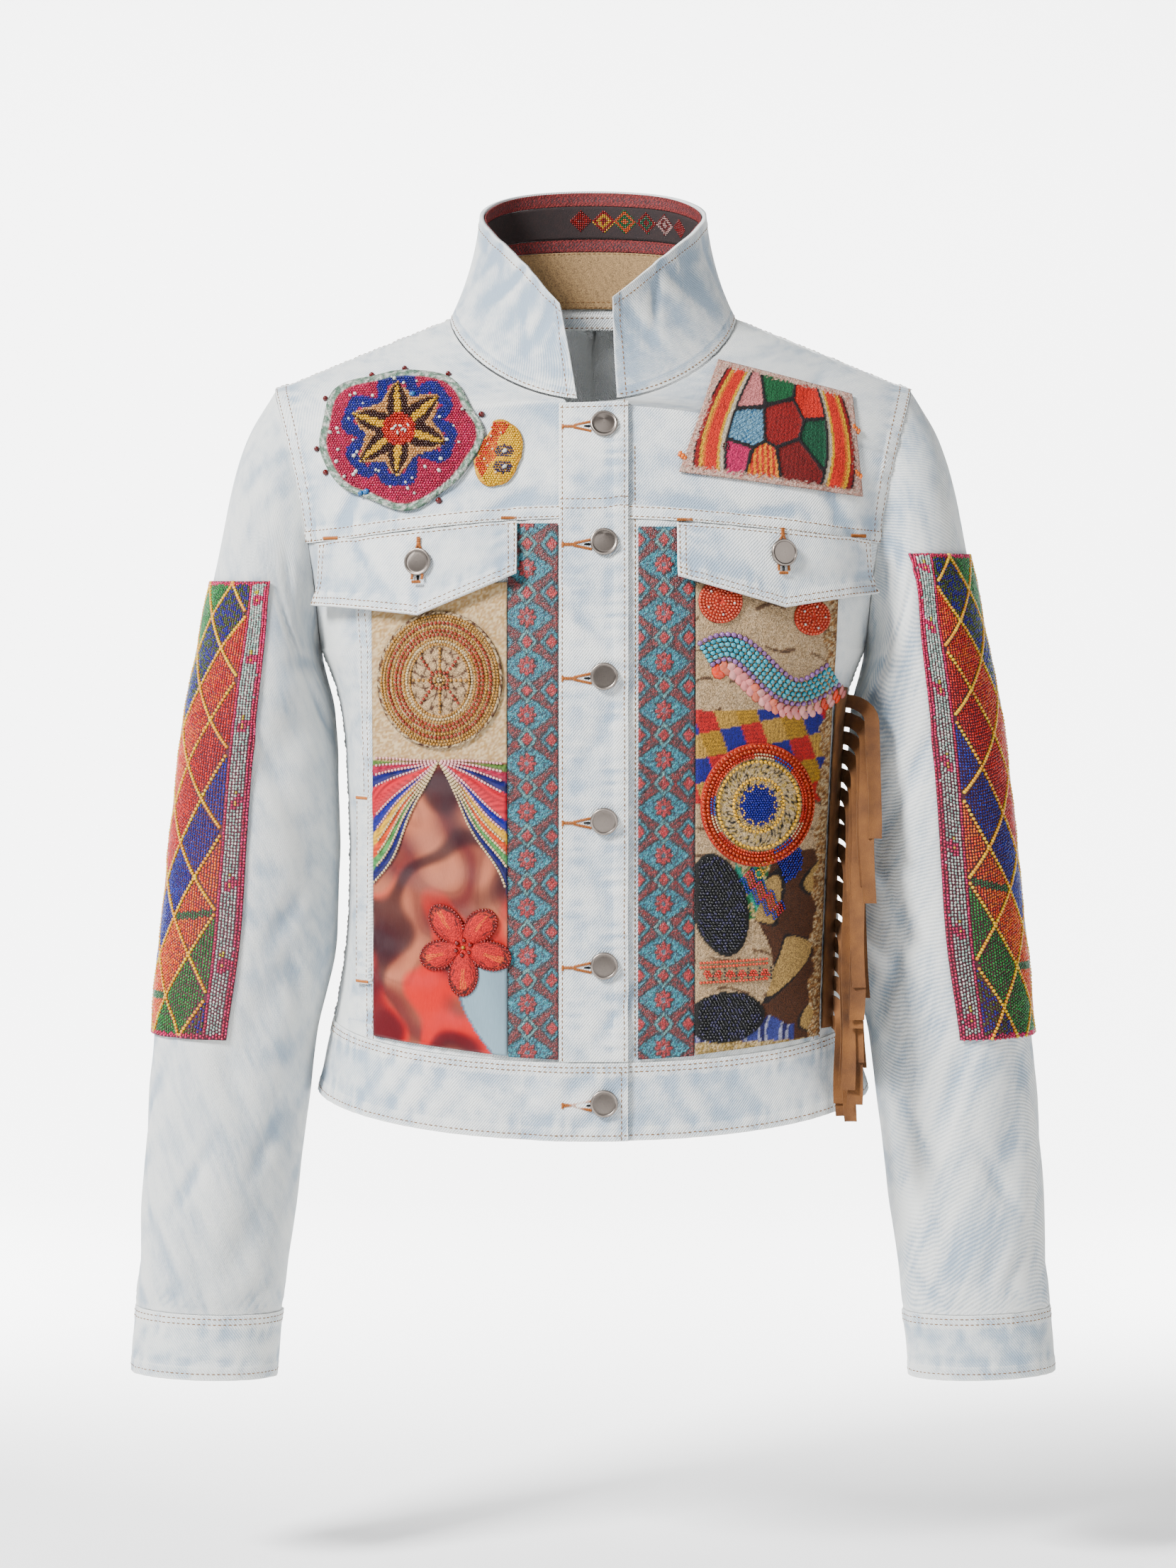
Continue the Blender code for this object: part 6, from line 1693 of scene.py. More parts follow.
def make_petal_flower(x, z, lift):
    """Satin-stitched flower of five long petals, edged and centred with dark red beads."""
    def off_petal(a):
        """0 along the middle line of each petal, 1 between two petals."""
        return np.abs(((a - math.radians(18)) / (2 * math.pi) * 5) % 1 - 0.5) * 2

    def outline(a):
        petal = np.clip(1 - off_petal(a) ** 1.7, 0, 1) ** 0.8
        return 0.34 + 0.66 * petal * (0.92 + 0.08 * np.sin(3 * a + 1))

    def stitches(share, a, px, pz):
        """Colours and heights: flame red streaks, paler and darker ones, and a speckled rim."""
        streak = np.sin(a * 70 + 3 * np.sin(share * 9)) * 0.18 + 0.92
        chart = (tint(228, 50, 18) * streak[..., None]) * np.ones((*share.shape, 3))
        t = off_petal(a)
        pale = (t < 0.1) & (share > 0.45) & (np.sin(a * 90 + share * 14) > 0)
        paint(chart, pale, tint(250, 148, 60))
        paint(chart, share > 0.84, speckled(px.shape, (MAROON, tint(120, 16, 20), tint(214, 90, 40)), 95))
        dark = (t > 0.45) & (share > 0.4) & (np.sin(a * 60 + 2 * np.sin(share * 7)) > 0.35)
        paint(chart, dark, tint(140, 18, 22))
        swell = 1.6 * np.sin(np.clip(share, 0, 1) * math.pi) * np.clip(1 - t ** 2, 0, 1)
        return np.clip(chart, 0, 1), swell

    round_patch("flower_applique", x, z, 31, 31, outline, lift, 0.9, 1.5, "collage", stitches, rings=30,
                around=200)
    a = np.linspace(0, 2 * math.pi, 700)
    path = np.stack((x + 30.4 * outline(a) * np.cos(a), z + 30.4 * outline(a) * np.sin(a)), axis=1)
    bags = [row(path, 1.9, lift + 0.9, 0.95, tint(150, 22, 26))]
    for k in range(6):
        turn = k * math.pi / 3 + 0.4
        bags.append(bag(x + 4.6 * math.cos(turn), z + 4.6 * math.sin(turn), lift + 1.8, 1.75,
                        tint(140, 14, 26), high=1.2))
    bags.append(bag(x, z, lift + 1.9, 1.3, GOLD, high=1.2))
    bead_mesh("flower_beads", bags, nodes=("flower_applique",), sides=7, rings=3)


GARLAND_X = np.linspace(68.0, 145.0, 90)
GARLAND_Z = -213.0 - 0.16 * (GARLAND_X - 68) + 10.5 * np.sin((GARLAND_X - 68) / 12.4 + 0.4)
ROSETTE = (99.0, -301.0)
# Dark leaves: middle x and z, half width, half height, turn in radians.
DARK_LEAVES = ((76, -362, 16.5, 31, 0.22), (80, -431, 23, 15, 0.1))


def in_leaf(leaf, x, z):
    """Share of the way from a leaf's middle to its edge."""
    middle_x, middle_z, wide, tall, turn = leaf
    along, across = along_across(x, z, middle_x, middle_z, turn)
    return np.hypot(along / wide, across / tall)


def make_collage_right():
    """Beige ground, checks, rings, prints and feathered stitching, charted on one cloth."""
    x, z = rect(COLLAGE_CORNERS[RIGHT], np.linspace(0, 1, 80), np.linspace(0, 1, 262))
    swirl = np.sin(z / 3.4 + 2.2 * np.sin(x / 21 + 0.4) + 0.9 * np.sin(x / 6 + z / 9))
    line = (swirl > 0.965) & (np.sin(x / 4.3 + z / 17) > -0.5)
    ground = speckled(x.shape, (BEIGE, tint(222, 200, 172)), 101)
    chart = np.where(line[..., None], tint(128, 104, 84), ground)
    rise = 0.3 * line + 0.1 * rng.standard_normal(x.shape)

    lean = x + 0.35 * z
    checks = (z < -243) & (z > -300)
    number = (np.floor(lean / 13) + 2 * np.floor((z - 0.2 * x) / 15)).astype(int) % 4
    cloths = np.array((tint(206, 168, 88), ROYAL, tint(214, 44, 34), tint(222, 186, 120)))
    weft = 0.82 + 0.2 * np.sin(2 * math.pi * (x * (number % 2) + z * (1 - number % 2)) / 1.9)
    paint(chart, checks, np.clip(cloths[number] * weft[..., None], 0, 1))
    rise = np.where(checks, 0.5 + 0.25 * weft, rise)

    printed = (z < -330) & (x > 100 + 9 * np.sin(z / 17))
    swirl = np.sin(x / 5.5 + 1.8 * np.sin(z / 12)) + np.sin(z / 7 - x / 11)
    paint(chart, printed, np.where((swirl > 0.35)[..., None], tint(206, 178, 132), tint(104, 70, 48)))
    paint(chart, printed & (np.abs(swirl - 0.35) < 0.16), tint(46, 34, 34))
    rise = np.where(printed, 0.12 * swirl, rise)

    wedge = (z < -326) & (z > -372) & (x > 86) & (x < 104 + 0.3 * (z + 350))
    paint(chart, wedge, speckled(x.shape, (CREAM, tint(222, 204, 150), GREEN), 102))
    paint(chart, wedge & (np.abs((z * 0.5 + x) % 11 - 5) < 1.5), tint(84, 170, 150))

    feathers = (z < -434 + 3 * np.sin(x / 4)) & (x < 122)
    streak = np.sin((x - 90) / (2.2 + 0.02 * (z + 434)) + 2 * np.sin(z / 9))
    tones = np.where((streak > 0.25)[..., None], tint(196, 196, 214), tint(92, 98, 160))
    paint(chart, feathers, np.where((streak > 0.8)[..., None], tint(52, 50, 112), tones))
    foot = speckled(x.shape, (tint(210, 188, 140), CREAM, tint(176, 150, 100)), 103)
    paint(chart, (z < -446) & (x < 128), foot)
    rise = np.where(feathers, 0.5 + 0.3 * streak, rise)

    for leaf in DARK_LEAVES:
        dark = in_leaf(leaf, x, z) < 1.04
        paint(chart, dark, BLACK)
        rise = np.where(dark, 0.7, rise)

    frayed = x > 131 + (z + 445) * 0.040 + 1.6 * np.sin(z / 5) + np.sin(z / 2.1)
    paint(chart, frayed, speckled(x.shape, (tint(196, 160, 120), CREAM, tint(150, 112, 78)), 104))
    rise = np.where(frayed, 0.3 + 0.3 * rng.standard_normal(x.shape), rise)
    rise = np.clip(rise, -0.4, 1.4)
    rise[[0, -1]] = rise[:, [0, -1]] = 0
    laid("collage_right", x, z, 1.4, 1.2, "stitched", "collage", chart, rise,
         nodes=("collage_right", "check_patch"))
    lift = COLLAGE_TOP[RIGHT]
    for make_beads in (make_bead_discs, make_garland, make_rosette, make_dark_leaves, make_bead_bands,
                       make_segments):
        make_beads(lift)


def make_bead_discs(lift):
    """Two domed coral discs of beads in rings, each with five white beads."""
    def ground(share, a, px, pz):
        return speckled(px.shape, (CORAL, RUST), 105), 0 * px

    for name, cx, cz, radius in (("bead_disc_inner", 76.5, -177.5, 13.2),
                                 ("bead_disc_outer", 132.0, -187.0, 11.0)):
        round_patch(name, cx, cz, radius, radius, plain_round, lift + 0.2, 0.8, 1.8, "collage", ground,
                    rings=8, around=40)
        bags = [row(oval(cx, cz, r, r), 1.9, lift + 1.0 + 1.0 * (1 - (r / radius) ** 2), 0.98,
                    tint(226, 132, 112)) for r in np.arange(radius - 1, 1, -1.9)]
        for k in range(5):
            turn = k * 1.257 + cx
            bags.append(bag(cx + 0.62 * radius * math.cos(turn), cz + 0.62 * radius * math.sin(turn),
                            lift + 2.4, 0.9, WHITE, high=1.2))
        bead_mesh(name + "_beads", bags, nodes=(name,))


def make_garland(lift):
    """Wavy band of aqua and lilac beads, with two rows of petals below it."""
    path = np.stack((GARLAND_X, GARLAND_Z), axis=1)
    way = unit(np.stack((-np.gradient(GARLAND_Z), np.gradient(GARLAND_X)), axis=1))
    deeper = tint(104, 186, 204)
    rows = ((-7.4, LILAC, 1.7), (-4.4, AQUA, 1.75), (-1.5, deeper, 1.75), (1.5, AQUA, 1.75),
            (4.4, deeper, 1.75), (7.4, LILAC, 1.7))
    bags = [row(path + way * off, 3.5, lift + 0.2, size, colour, 1.15) for off, colour, size in rows]
    for off, turn in ((-11.5, 0.0), (-14.6, 1.7)):
        x, z, heading = line_of(path + way * off, 4.6)
        tone = speckled(x.shape, (ROSE, tint(244, 190, 186), CORAL, tint(232, 150, 130)), 106)
        bags.append(bag(x, z, lift + 0.1, 3.0, tone, heading + 0.9 + turn, 1.35, 0.42))
    bead_mesh("garland_beads", bags, sides=7, nodes=("petal_ruffle",))


def make_rosette(lift):
    """Sunburst medallion: rings of rust, yellow and mixed beads, nine small rings, and a blue heart."""
    cx, cz = ROSETTE
    rust = tint(206, 104, 60)
    rings = ((33.0, rust, 1.25), (30.5, rust, 1.25), (24.2, YELLOW, 1.3), (15.0, YELLOW, 1.15))
    bags = [row(oval(cx, cz, r, r * 1.1), 2 * size * 0.98, lift + 1.9, size, colour)
            for r, colour, size in rings]
    for r in (28.4, 26.6):
        x, z, heading = line_of(oval(cx, cz, r, r * 1.1), 1.75)
        sector = (np.floor(np.degrees(np.arctan2(z - cz, x - cx)) / 24).astype(int)) % 5
        tones = np.array((CORAL, CORAL, tint(60, 96, 176), CREAM, RUST))[sector]
        bags.append(bag(x, z, lift + 1.9, 0.88, tones, heading))
    for k in range(9):
        turn = k * 2 * math.pi / 9
        x0, z0 = cx + 11.6 * math.cos(turn), cz + 12.8 * math.sin(turn)
        bags.append(row(oval(x0, z0, 2.6, 2.6), 1.5, lift + 1.9, 0.72, YELLOW))
    x, z = field((cx - 10, cz - 11), (cx + 10, cz + 11), 1.55,
                 lambda x, z: np.hypot(x - cx, (z - cz) / 1.1) < 9)
    bags.append(bag(x, z, lift + 1.9, 0.78, ROYAL, 0.5, 1.2))
    bead_mesh("arch_beads", bags, nodes=("arch_medallion",))

    def ground(share, a, px, pz):
        """Colours and heights: a cream speckle with a rusty rim and a blue middle."""
        chart = speckled(px.shape, (CREAM, CREAM, tint(226, 200, 140), BLACK), 107)
        paint(chart, share > 0.78, speckled(px.shape, (RUST, CORAL), 108))
        paint(chart, share < 0.34, ROYAL)
        return chart, 0 * px

    round_patch("arch_medallion", cx, cz, 34.5, 38, plain_round, lift + 0.2, 0.9, 1.7, "collage", ground,
                rings=34, around=140)


def make_dark_leaves(lift):
    """Two leaves covered with long black beads."""
    for leaf, low, high, name in ((DARK_LEAVES[0], (60, -400), (98, -326), "dark_bead_leaf_high"),
                                  (DARK_LEAVES[1], (60, -452), (108, -412), "dark_bead_leaf_low")):
        x, z = field(low, high, 2.0, lambda x, z: (in_leaf(leaf, x, z) < 0.97) & (x > 64))
        heading = 0.5 * np.sin(x / 6) + 0.035 * (z + 380) + rng.uniform(-0.6, 0.6, x.shape)
        tone = speckled(x.shape, (BLACK, tint(30, 28, 36), tint(44, 42, 58), tint(64, 60, 92)), 109)
        bags = [bag(x, z, lift + 0.3, 0.95, tone, heading, 1.5, 1.35)]
        bead_mesh(name + "_beads", bags, nodes=(name,))


def make_bead_bands(lift):
    """Three coral rows, and six small diamonds with black bars between them."""
    bags = [row(np.array(((65, z), (105, z + 1.5))), 2.0, lift + 0.3, 1.0, CORAL)
            for z in (-397.5, -400.2, -409.6)]
    for k in range(6):
        x0 = 69 + 7 * k
        x, z = field((x0 - 4, -408.5), (x0 + 4, -401), 1.6,
                     lambda x, z: np.abs(x - x0) / 3.2 + np.abs(z + 405) / 3.4 < 1)
        bags.append(bag(x, z, lift + 0.4, 0.85, tint(232, 84, 58)))
        bags.append(row(np.array(((x0 + 3.6, -408), (x0 + 3.6, -401.5))), 1.7, lift + 0.3, 0.8, BLACK))
    bead_mesh("band_beads", bags, nodes=("bead_bands",))


def make_segments(lift):
    """Slanting wavy rows of blue, red and crimson beads, a blue segment, and six yellow rings."""
    down = np.linspace(0, 24, 40) - 2.6 * np.sin(np.linspace(0, 22, 40))
    path = np.stack((np.linspace(92, 113, 40), -344 - down), axis=1)
    rows = ((-5.2, ROYAL), (-3.4, ROYAL), (-1.6, RED), (0.2, CRIMSON), (2.0, RED), (3.8, ROYAL))
    bags = [row(path + np.array((0.7, 0.7)) * off, 1.7, lift + 0.5, 0.85, tone) for off, tone in rows]
    x, z = field((104, -352), (132, -322), 1.6,
                 lambda x, z: (np.hypot(x - 113, z + 336) < 14) & (x - 113 > -0.5 * (z + 336) - 3))
    bags.append(bag(x, z, lift + 0.5, 0.8, speckled(x.shape, (ROYAL, tint(52, 74, 176)), 110), 0.7, 1.3))
    for k in range(6):
        bags.append(row(oval(113 - 2.6 * k, -322 - 4.3 * k, 2.5, 2.5), 1.5, lift + 0.7, 0.75, YELLOW))
    bead_mesh("segment_beads", bags, nodes=("arch_medallion",))


def make_chest_flower():
    """Beaded six-petalled flower on crimson, with a blue wavy ring and a scalloped stitched edge."""
    cx, cz, lift = -118.5, -77.0, 1.2
    wide, tall = 50.0, 42.5
    heart_x, heart_z = -118.0, -73.0
    petals = ((95, 29.5, 8.0), (40, 31, 8.2), (-17, 30, 8.8), (-92, 29, 8.0), (-141, 31, 8.2), (161, 31, 7.8))

    def by_petal(x, z):
        """Each petal's length and half width, and how far a place lies along and across it."""
        for turn, length, half in petals:
            along, across = along_across(x, z, heart_x, heart_z, math.radians(turn))
            yield length, half, along, np.abs(across)

    def reading(x, z):
        """How near a place lies to a petal's middle line: 1 at its edge."""
        best = np.full(x.shape, 9.0)
        for length, half, along, across in by_petal(x, z):
            along = along / length
            reach = half * np.sin(math.pi * np.clip(along, 0.02, 0.98) ** 0.85) + 0.4
            near = np.where((along > 0.2) & (along < 1.0), across / reach, 9.0 + np.abs(along - 0.6))
            best = np.where(near < best, near, best)
        return best

    def spread(x, z):
        """Distance outside the petals, roughly, from a box in each."""
        out = np.full(x.shape, 30.0)
        for length, half, along, across in by_petal(x, z):
            out = np.minimum(out, np.hypot(np.maximum(np.abs(along - length * 0.58) - length * 0.34, 0),
                                           np.maximum(across - half * 0.62, 0)))
        return out

    def colours(x, z):
        """Colours from the ground up: crimson, the blue ring, cream petals with dark middles, the heart."""
        near, out = reading(x, z), spread(x, z)
        radius = np.hypot(x - heart_x, z - heart_z)
        chart = speckled(x.shape, (CRIMSON, CRIMSON, tint(206, 14, 118), tint(168, 10, 90)), 121)
        for mask, tones, seed in (
                ((out < 7.6) & (out > 0.5), (tint(42, 36, 130), INDIGO, tint(62, 62, 160)), 122),
                ((radius < 20) & (near > 1), (tint(222, 180, 140), tint(206, 160, 120)), 123),
                (near < 1.25, (tint(232, 190, 146), tint(214, 168, 124)), 124),
                (near < 0.78, (tint(78, 44, 34),), 124), (near < 0.26, (tint(240, 200, 110),), 124),
                (radius < 10.2, (tint(216, 92, 52), tint(190, 66, 36)), 125)):
            paint(chart, mask, speckled(x.shape, tones, seed))
        return chart

    def ground(share, a, px, pz):
        chart = colours(px, pz)
        edge = speckled(px.shape, (tint(150, 172, 156), WHITE, tint(196, 206, 196), tint(120, 146, 130)), 126)
        paint(chart, share > 0.92, edge)
        return chart, 0.5 * (share > 0.93)

    def outline(a):
        return 1 + 0.035 * np.cos(5 * a + 0.6) + 0.03 * np.sin(3 * a) + 0.018 * np.sin(8 * a + 1)

    round_patch("chest_flower_patch", cx, cz, wide, tall, outline, lift, 1.3, 2.2, "beads", ground, rings=40,
                around=160)

    def inside(x, z):
        a = np.arctan2((z - cz) / tall, (x - cx) / wide)
        return np.hypot((x - cx) / wide, (z - cz) / tall) < 0.9 * outline(a)

    x, z = field((cx - 50, cz - 43), (cx + 50, cz + 43), 1.62, inside)
    share = np.hypot((x - cx) / wide, (z - cz) / tall)
    base = lift + 1.3 + 0.9 * (1 - share ** 2)
    petal = reading(x, z) < 1.25
    bags = [bag(x, z, base, np.where(petal, 0.98, 0.84), colours(x, z), rng.uniform(0, 3, x.shape), 1.1,
                np.where(petal, 1.35, 1.0))]
    for k in range(46):
        turn, reach = rng.uniform(0, 2 * math.pi), rng.uniform(0.55, 0.88)
        x0, z0 = cx + wide * reach * math.cos(turn), cz + tall * reach * math.sin(turn)
        if reading(np.array([x0]), np.array([z0]))[0] > 1.6:
            bags.append(bag(x0, z0, lift + 2.2, rng.uniform(0.9, 1.5), WHITE, turn, 1.2, 1.2))
    for k in range(7):
        bags.append(bag(heart_x - 4 + 1.6 * k, heart_z + 2.4 * math.sin(2.4 * k), lift + 2.9, 0.85, WHITE,
                        k * 0.9, 2.1, 1.0))
    for dx, dz in ((-22, -35), (-19, -34), (8, 25)):
        bags.append(bag(cx + dx, cz + dz, lift + 2.0, 2.0, tint(90, 140, 190), 0.4, 1.3, 1.0))
    bead_mesh("chest_flower_beads", bags, nodes=("chest_flower_patch",))
    bags = []
    for turn in (-172, -152, -62, 18, 58, 88, 112, 148):
        a = math.radians(turn)
        x0, z0 = cx + 53 * outline(np.array(a)) * math.cos(a), cz + 45 * outline(np.array(a)) * math.sin(a)
        bags.append(bag(x0, z0, 0.3, 2.0, tint(120, 26, 34), high=1.3))
    bead_mesh("chest_flower_studs", bags, nodes=("chest_flower_patch",), sides=8, rings=3)


def make_chest_wing():
    """Small beaded butterfly wing: a yellow fan with orange beads and two dark oval stones."""
    cx, cz, lift = -58.0, -87.5, 0.8
    wide, tall = 14.5, 19.0

    def outline(a):
        lobes = 0.1 * np.cos(2 * (a - 0.9)) + 0.07 * np.abs(np.sin(2.6 * a + 0.4))
        return 1 + lobes - 0.2 * (np.cos(a - 2.6) > 0.75)

    def ground(share, a, px, pz):
        return speckled(px.shape, (YELLOW, tint(236, 180, 20)), 131), 0 * px

    round_patch("chest_wing_patch", cx, cz, wide, tall, outline, lift, 1.0, 1.4, "beads", ground, rings=12,
                around=60)

    def inside(x, z):
        a = np.arctan2((z - cz) / tall, (x - cx) / wide)
        return np.hypot((x - cx) / wide, (z - cz) / tall) < 0.93 * outline(a)

    x, z = field((cx - 17, cz - 22), (cx + 17, cz + 22), 1.5, inside)
    warm = (x - cx) < 0.45 * (z - cz) - 1.5 + 1.2 * np.sin(z / 3)
    spots = np.minimum(np.hypot((x - cx - 4.5) / 4.6, (z - cz - 1.0) / 3.2),
                       np.hypot((x - cx - 3.5) / 4.6, (z - cz + 8.5) / 3.2))
    tone = np.where(warm[:, None], speckled(x.shape, (ORANGE, tint(228, 84, 30), RED), 132),
                    speckled(x.shape, (YELLOW, tint(250, 214, 70)), 133))
    tone = np.where((spots < 1.25)[:, None], tint(52, 44, 96), tone)
    bags = [bag(x, z, lift + 1.2, 0.82, tone, rng.uniform(0, 3, x.shape), 1.1)]
    for dz in (1.0, -8.5):
        bags.append(bag(cx + 4.4, cz + dz, lift + 1.8, 1.5, WHITE, 0.6, 1.5, 0.9))
    for dx, dz in ((-4, 10), (-6, 5), (-3, 2), (-8, -4), (-6, -8), (2, 12), (-1, -12)):
        bags.append(bag(cx + dx, cz + dz, lift + 1.8, 1.0, tint(250, 226, 200)))
    bead_mesh("chest_wing_beads", bags, nodes=("chest_wing_patch",))


# Middles of the quilt's cells, across and up, and their cloths.
QUILT_SPOTS = ((28, 54), (32, 32), (47, 62), (55, 38), (76, 58), (66, 14), (47, 8), (82, 32), (29, 10))
QUILT_CLOTHS = (tint(246, 176, 176), tint(172, 208, 226), tint(32, 124, 84), tint(172, 24, 34),
                tint(242, 96, 60), tint(150, 18, 30), tint(236, 96, 44), tint(36, 112, 84),
                tint(226, 30, 136))
QUILT_SIZE = (108, 68)


def make_chest_quilt():
    """Quilted patch: crazy cells edged with black cord between two bowed borders, on a frayed backing."""
    corners = ((52, -99), (165, -113), (160, -50), (77, -29))
    count, (wide, tall) = (128, 84), QUILT_SIZE
    across, up = (np.linspace(0, 1, number) for number in count)
    x, z = rect(corners, across, up)
    u = np.broadcast_to(across[None, :], x.shape) * wide
    v = np.broadcast_to(up[:, None], x.shape) * tall
    fray = np.minimum(np.minimum(u, wide - u), np.minimum(v, tall - v)) + 0.9 * rng.standard_normal(x.shape)
    chart = speckled(x.shape, (tint(236, 204, 192), tint(226, 184, 170), tint(242, 220, 208)), 141)
    rise = 0.2 * rng.standard_normal(x.shape)
    inside = fray > 3.6

    left = u < wide / 2
    bow = u + 6.5 * np.cos((v - 30) / tall * math.pi) * np.where(left, 1, -1) - np.where(left, 5, -5)
    side = np.where(left, bow, wide - bow)
    bands = ((4.8, BLACK), (7.6, tint(176, 34, 34)), (9.4, YELLOW), (11.0, tint(244, 150, 50)),
             (18.0, tint(238, 96, 48)), (19.8, YELLOW), (22.0, tint(238, 226, 208)))
    first = 3.6
    for edge, colour in bands:
        mask = inside & (side >= first) & (side < edge)
        ply = 0.86 + 0.16 * np.sin(side * 3.4)
        paint(chart, mask, np.clip(colour * ply[..., None], 0, 1))
        rise = np.where(mask, 0.55 + 0.25 * np.sin(side * 3.4), rise)
        first = edge

    spots = np.array(QUILT_SPOTS, float)
    apart = np.hypot(u[..., None] - spots[:, 0], (v[..., None] - spots[:, 1]) * 0.92)
    order = np.argsort(apart, axis=-1)
    cell = order[..., 0]
    near, beside = (np.take_along_axis(apart, order[..., k:k + 1], axis=-1)[..., 0] for k in (0, 1))
    centre = inside & (side > 22.0)
    knit = 0.8 + 0.3 * np.sin(u * 2.6 + 0.6 * cell) * np.sin(v * 2.6)
    paint(chart, centre, np.clip(np.array(QUILT_CLOTHS)[cell] * knit[..., None], 0, 1))
    stripes = centre & (cell == 6) & (np.sin(u * 1.9 + 0.35 * v) > 0.1)
    paint(chart, stripes, tint(250, 178, 60))
    lines = (np.abs((u + v) % 3.2 - 1.6) < 0.35) | (np.abs((u - v) % 3.2 - 1.6) < 0.35)
    paint(chart, centre & (cell == 1) & lines, tint(86, 134, 168))
    rise = np.where(centre, 0.5 + 0.5 * np.abs(np.sin(u * 2.6) * np.sin(v * 2.6)), rise)
    cord = centre & ((beside - near < 2.1) | (side < 23.8))
    paint(chart, cord, speckled(x.shape, (BLACK, tint(52, 42, 48)), 142))
    rise = np.where(cord, 1.25, rise)
    rise[[0, -1]] = rise[:, [0, -1]] = 0
    laid("chest_geometric_patch", x, z, 1.2, 1.1, "stitched", "beads", chart, np.clip(rise, -0.5, 1.3))
    bags = []
    for share, depth in ((0.02, -88), (0.98, -70), (0.985, -98)):
        x0 = corners[0][0] + share * 112
        for k in range(3):
            bags.append(bag(x0 + 1.5 * (k - 1), depth - 1.4 * k, 1.6, 1.5, tint(242, 150, 50), 1.1, 1.6, 1.0))
    bags.append(row(oval(80.5, -84, 1.6, 2.2), 1.4, 3.0, 0.8, MAROON))
    bead_mesh("chest_quilt_beads", bags, nodes=("chest_geometric_patch",))


BEAD_PANEL_Z = {LEFT: (-165.0, -449.0), RIGHT: (-148.0, -449.0)}
BEAD_PANEL_ANGLES = (-13.0, 87.8)
BEAD_PANEL_WIDTH = 96.0
BEAD_PANEL_LIFT = 1.3
BEAD_PANEL_WALL = 0.9


def panel_places(side, across, down):
    """Section and angle on a sleeve of places in its bead panel: shares across and down."""
    angles = np.linspace(BEAD_PANEL_ANGLES[1], BEAD_PANEL_ANGLES[0], 41)
    run = run_of(section(SLEEVE_ROWS, 5.5 + 0 * angles, angles))
    fine = np.linspace(1, len(SLEEVE_ROWS) - 1, 160)
    ends = []
    for angle in angles:
        heights = sleeve(side, fine, angle)[..., 2]
        ends.append([np.interp(-goal, -heights, fine) for goal in BEAD_PANEL_Z[side]])
    angle = np.interp(across, run / run[-1], angles)
    top, bottom = (np.interp(-angle, -angles, end) for end in np.array(ends).T)
    return top + (bottom - top) * down, angle


def sleeve_spot(side, s, angle, lift):
    """Points over a sleeve, and their outward and downward directions."""
    here = sleeve(side, s, angle)
    down = sleeve(side, s + 0.05, angle) - sleeve(side, s - 0.05, angle)
    over = sleeve(side, s, angle + 1.0) - sleeve(side, s, angle - 1.0)
    way = unit(np.cross(down, over))
    middle = (section(SLEEVE_ROWS, s, 0 * angle) + section(SLEEVE_ROWS, s, 180 + 0 * angle)) / 2
    away = (way * (here - middle * np.array((side, 1, 1)))).sum(axis=-1, keepdims=True)
    way = way * np.sign(away)
    return here + way * lift, way, unit(down)


def panel_spots(side, a, t, length, lift):
    """Centres, outward and downward directions of beads at a across and t down a bead panel."""
    s, angle = panel_places(side, a / BEAD_PANEL_WIDTH, np.clip(t / length, 0, 1))
    return sleeve_spot(side, s, angle, BEAD_PANEL_LIFT + lift)


# Width and height of the lozenges, and the two cloths of each.
ARGYLE = (33.0, 47.0)
ARGYLE_CENTRE = 31.5
ARGYLE_CLOTHS = (
    (tint(34, 128, 76), tint(70, 160, 90)), (tint(240, 112, 34), tint(250, 150, 40)),
    (tint(34, 48, 140), tint(58, 80, 180)), (tint(232, 90, 40), tint(196, 52, 40)),
    (tint(240, 130, 40), tint(222, 84, 60)), (tint(38, 62, 160), tint(90, 110, 60)),
)


def argyle(a, t):
    """Two slanting coordinates of the lattice, whose cells are one unit wide, at a across and t down."""
    wide, tall = ARGYLE
    return (a - ARGYLE_CENTRE) / wide + (t + 22) / tall, (a - ARGYLE_CENTRE) / wide - (t + 22) / tall


def argyle_tones(a, t, u, v, length):
    """Colours of a panel's beads: lozenges, then a white column with flowers, and pink borders."""
    i, j = np.rint(u).astype(int), np.rint(v).astype(int)
    pick = (i + 2 * np.abs(i - j) + 3 * (i + j)) % 6
    tone = np.array(ARGYLE_CLOTHS)[pick, rng.integers(0, 2, a.size)]
    tall = ARGYLE[1]
    bars = (pick == 1) & (np.abs((u - v) / 2 * tall - np.rint((u - v) / 2) * tall) < 2.2)
    tone[bars] = tint(74, 130, 90)
    white = (a > 3.0) & (a < 13.2)
    tone[white] = picked((WHITE, tint(206, 224, 216), tint(176, 202, 194)), white.sum())
    border = ((a <= 3.0) | ((a >= 13.2) & (a < 15.4)) | (a > BEAD_PANEL_WIDTH - 3.2) | (t < 2.8)
              | (t > length - 2.8))
    tone[border] = picked((tint(222, 44, 120), tint(206, 34, 110), tint(236, 84, 146)), border.sum())
    step = (t + 8) % 46 - 23
    ring = np.hypot(a - 8.1, step)
    flower = white & (ring < 3.9)
    tone[flower] = np.where((ring[flower] < 1.3)[:, None], YELLOW, PINK)
    tone[white & (np.hypot(a - 9, step + 6) < 1.4)] = tint(220, 210, 60)
    return tone, border


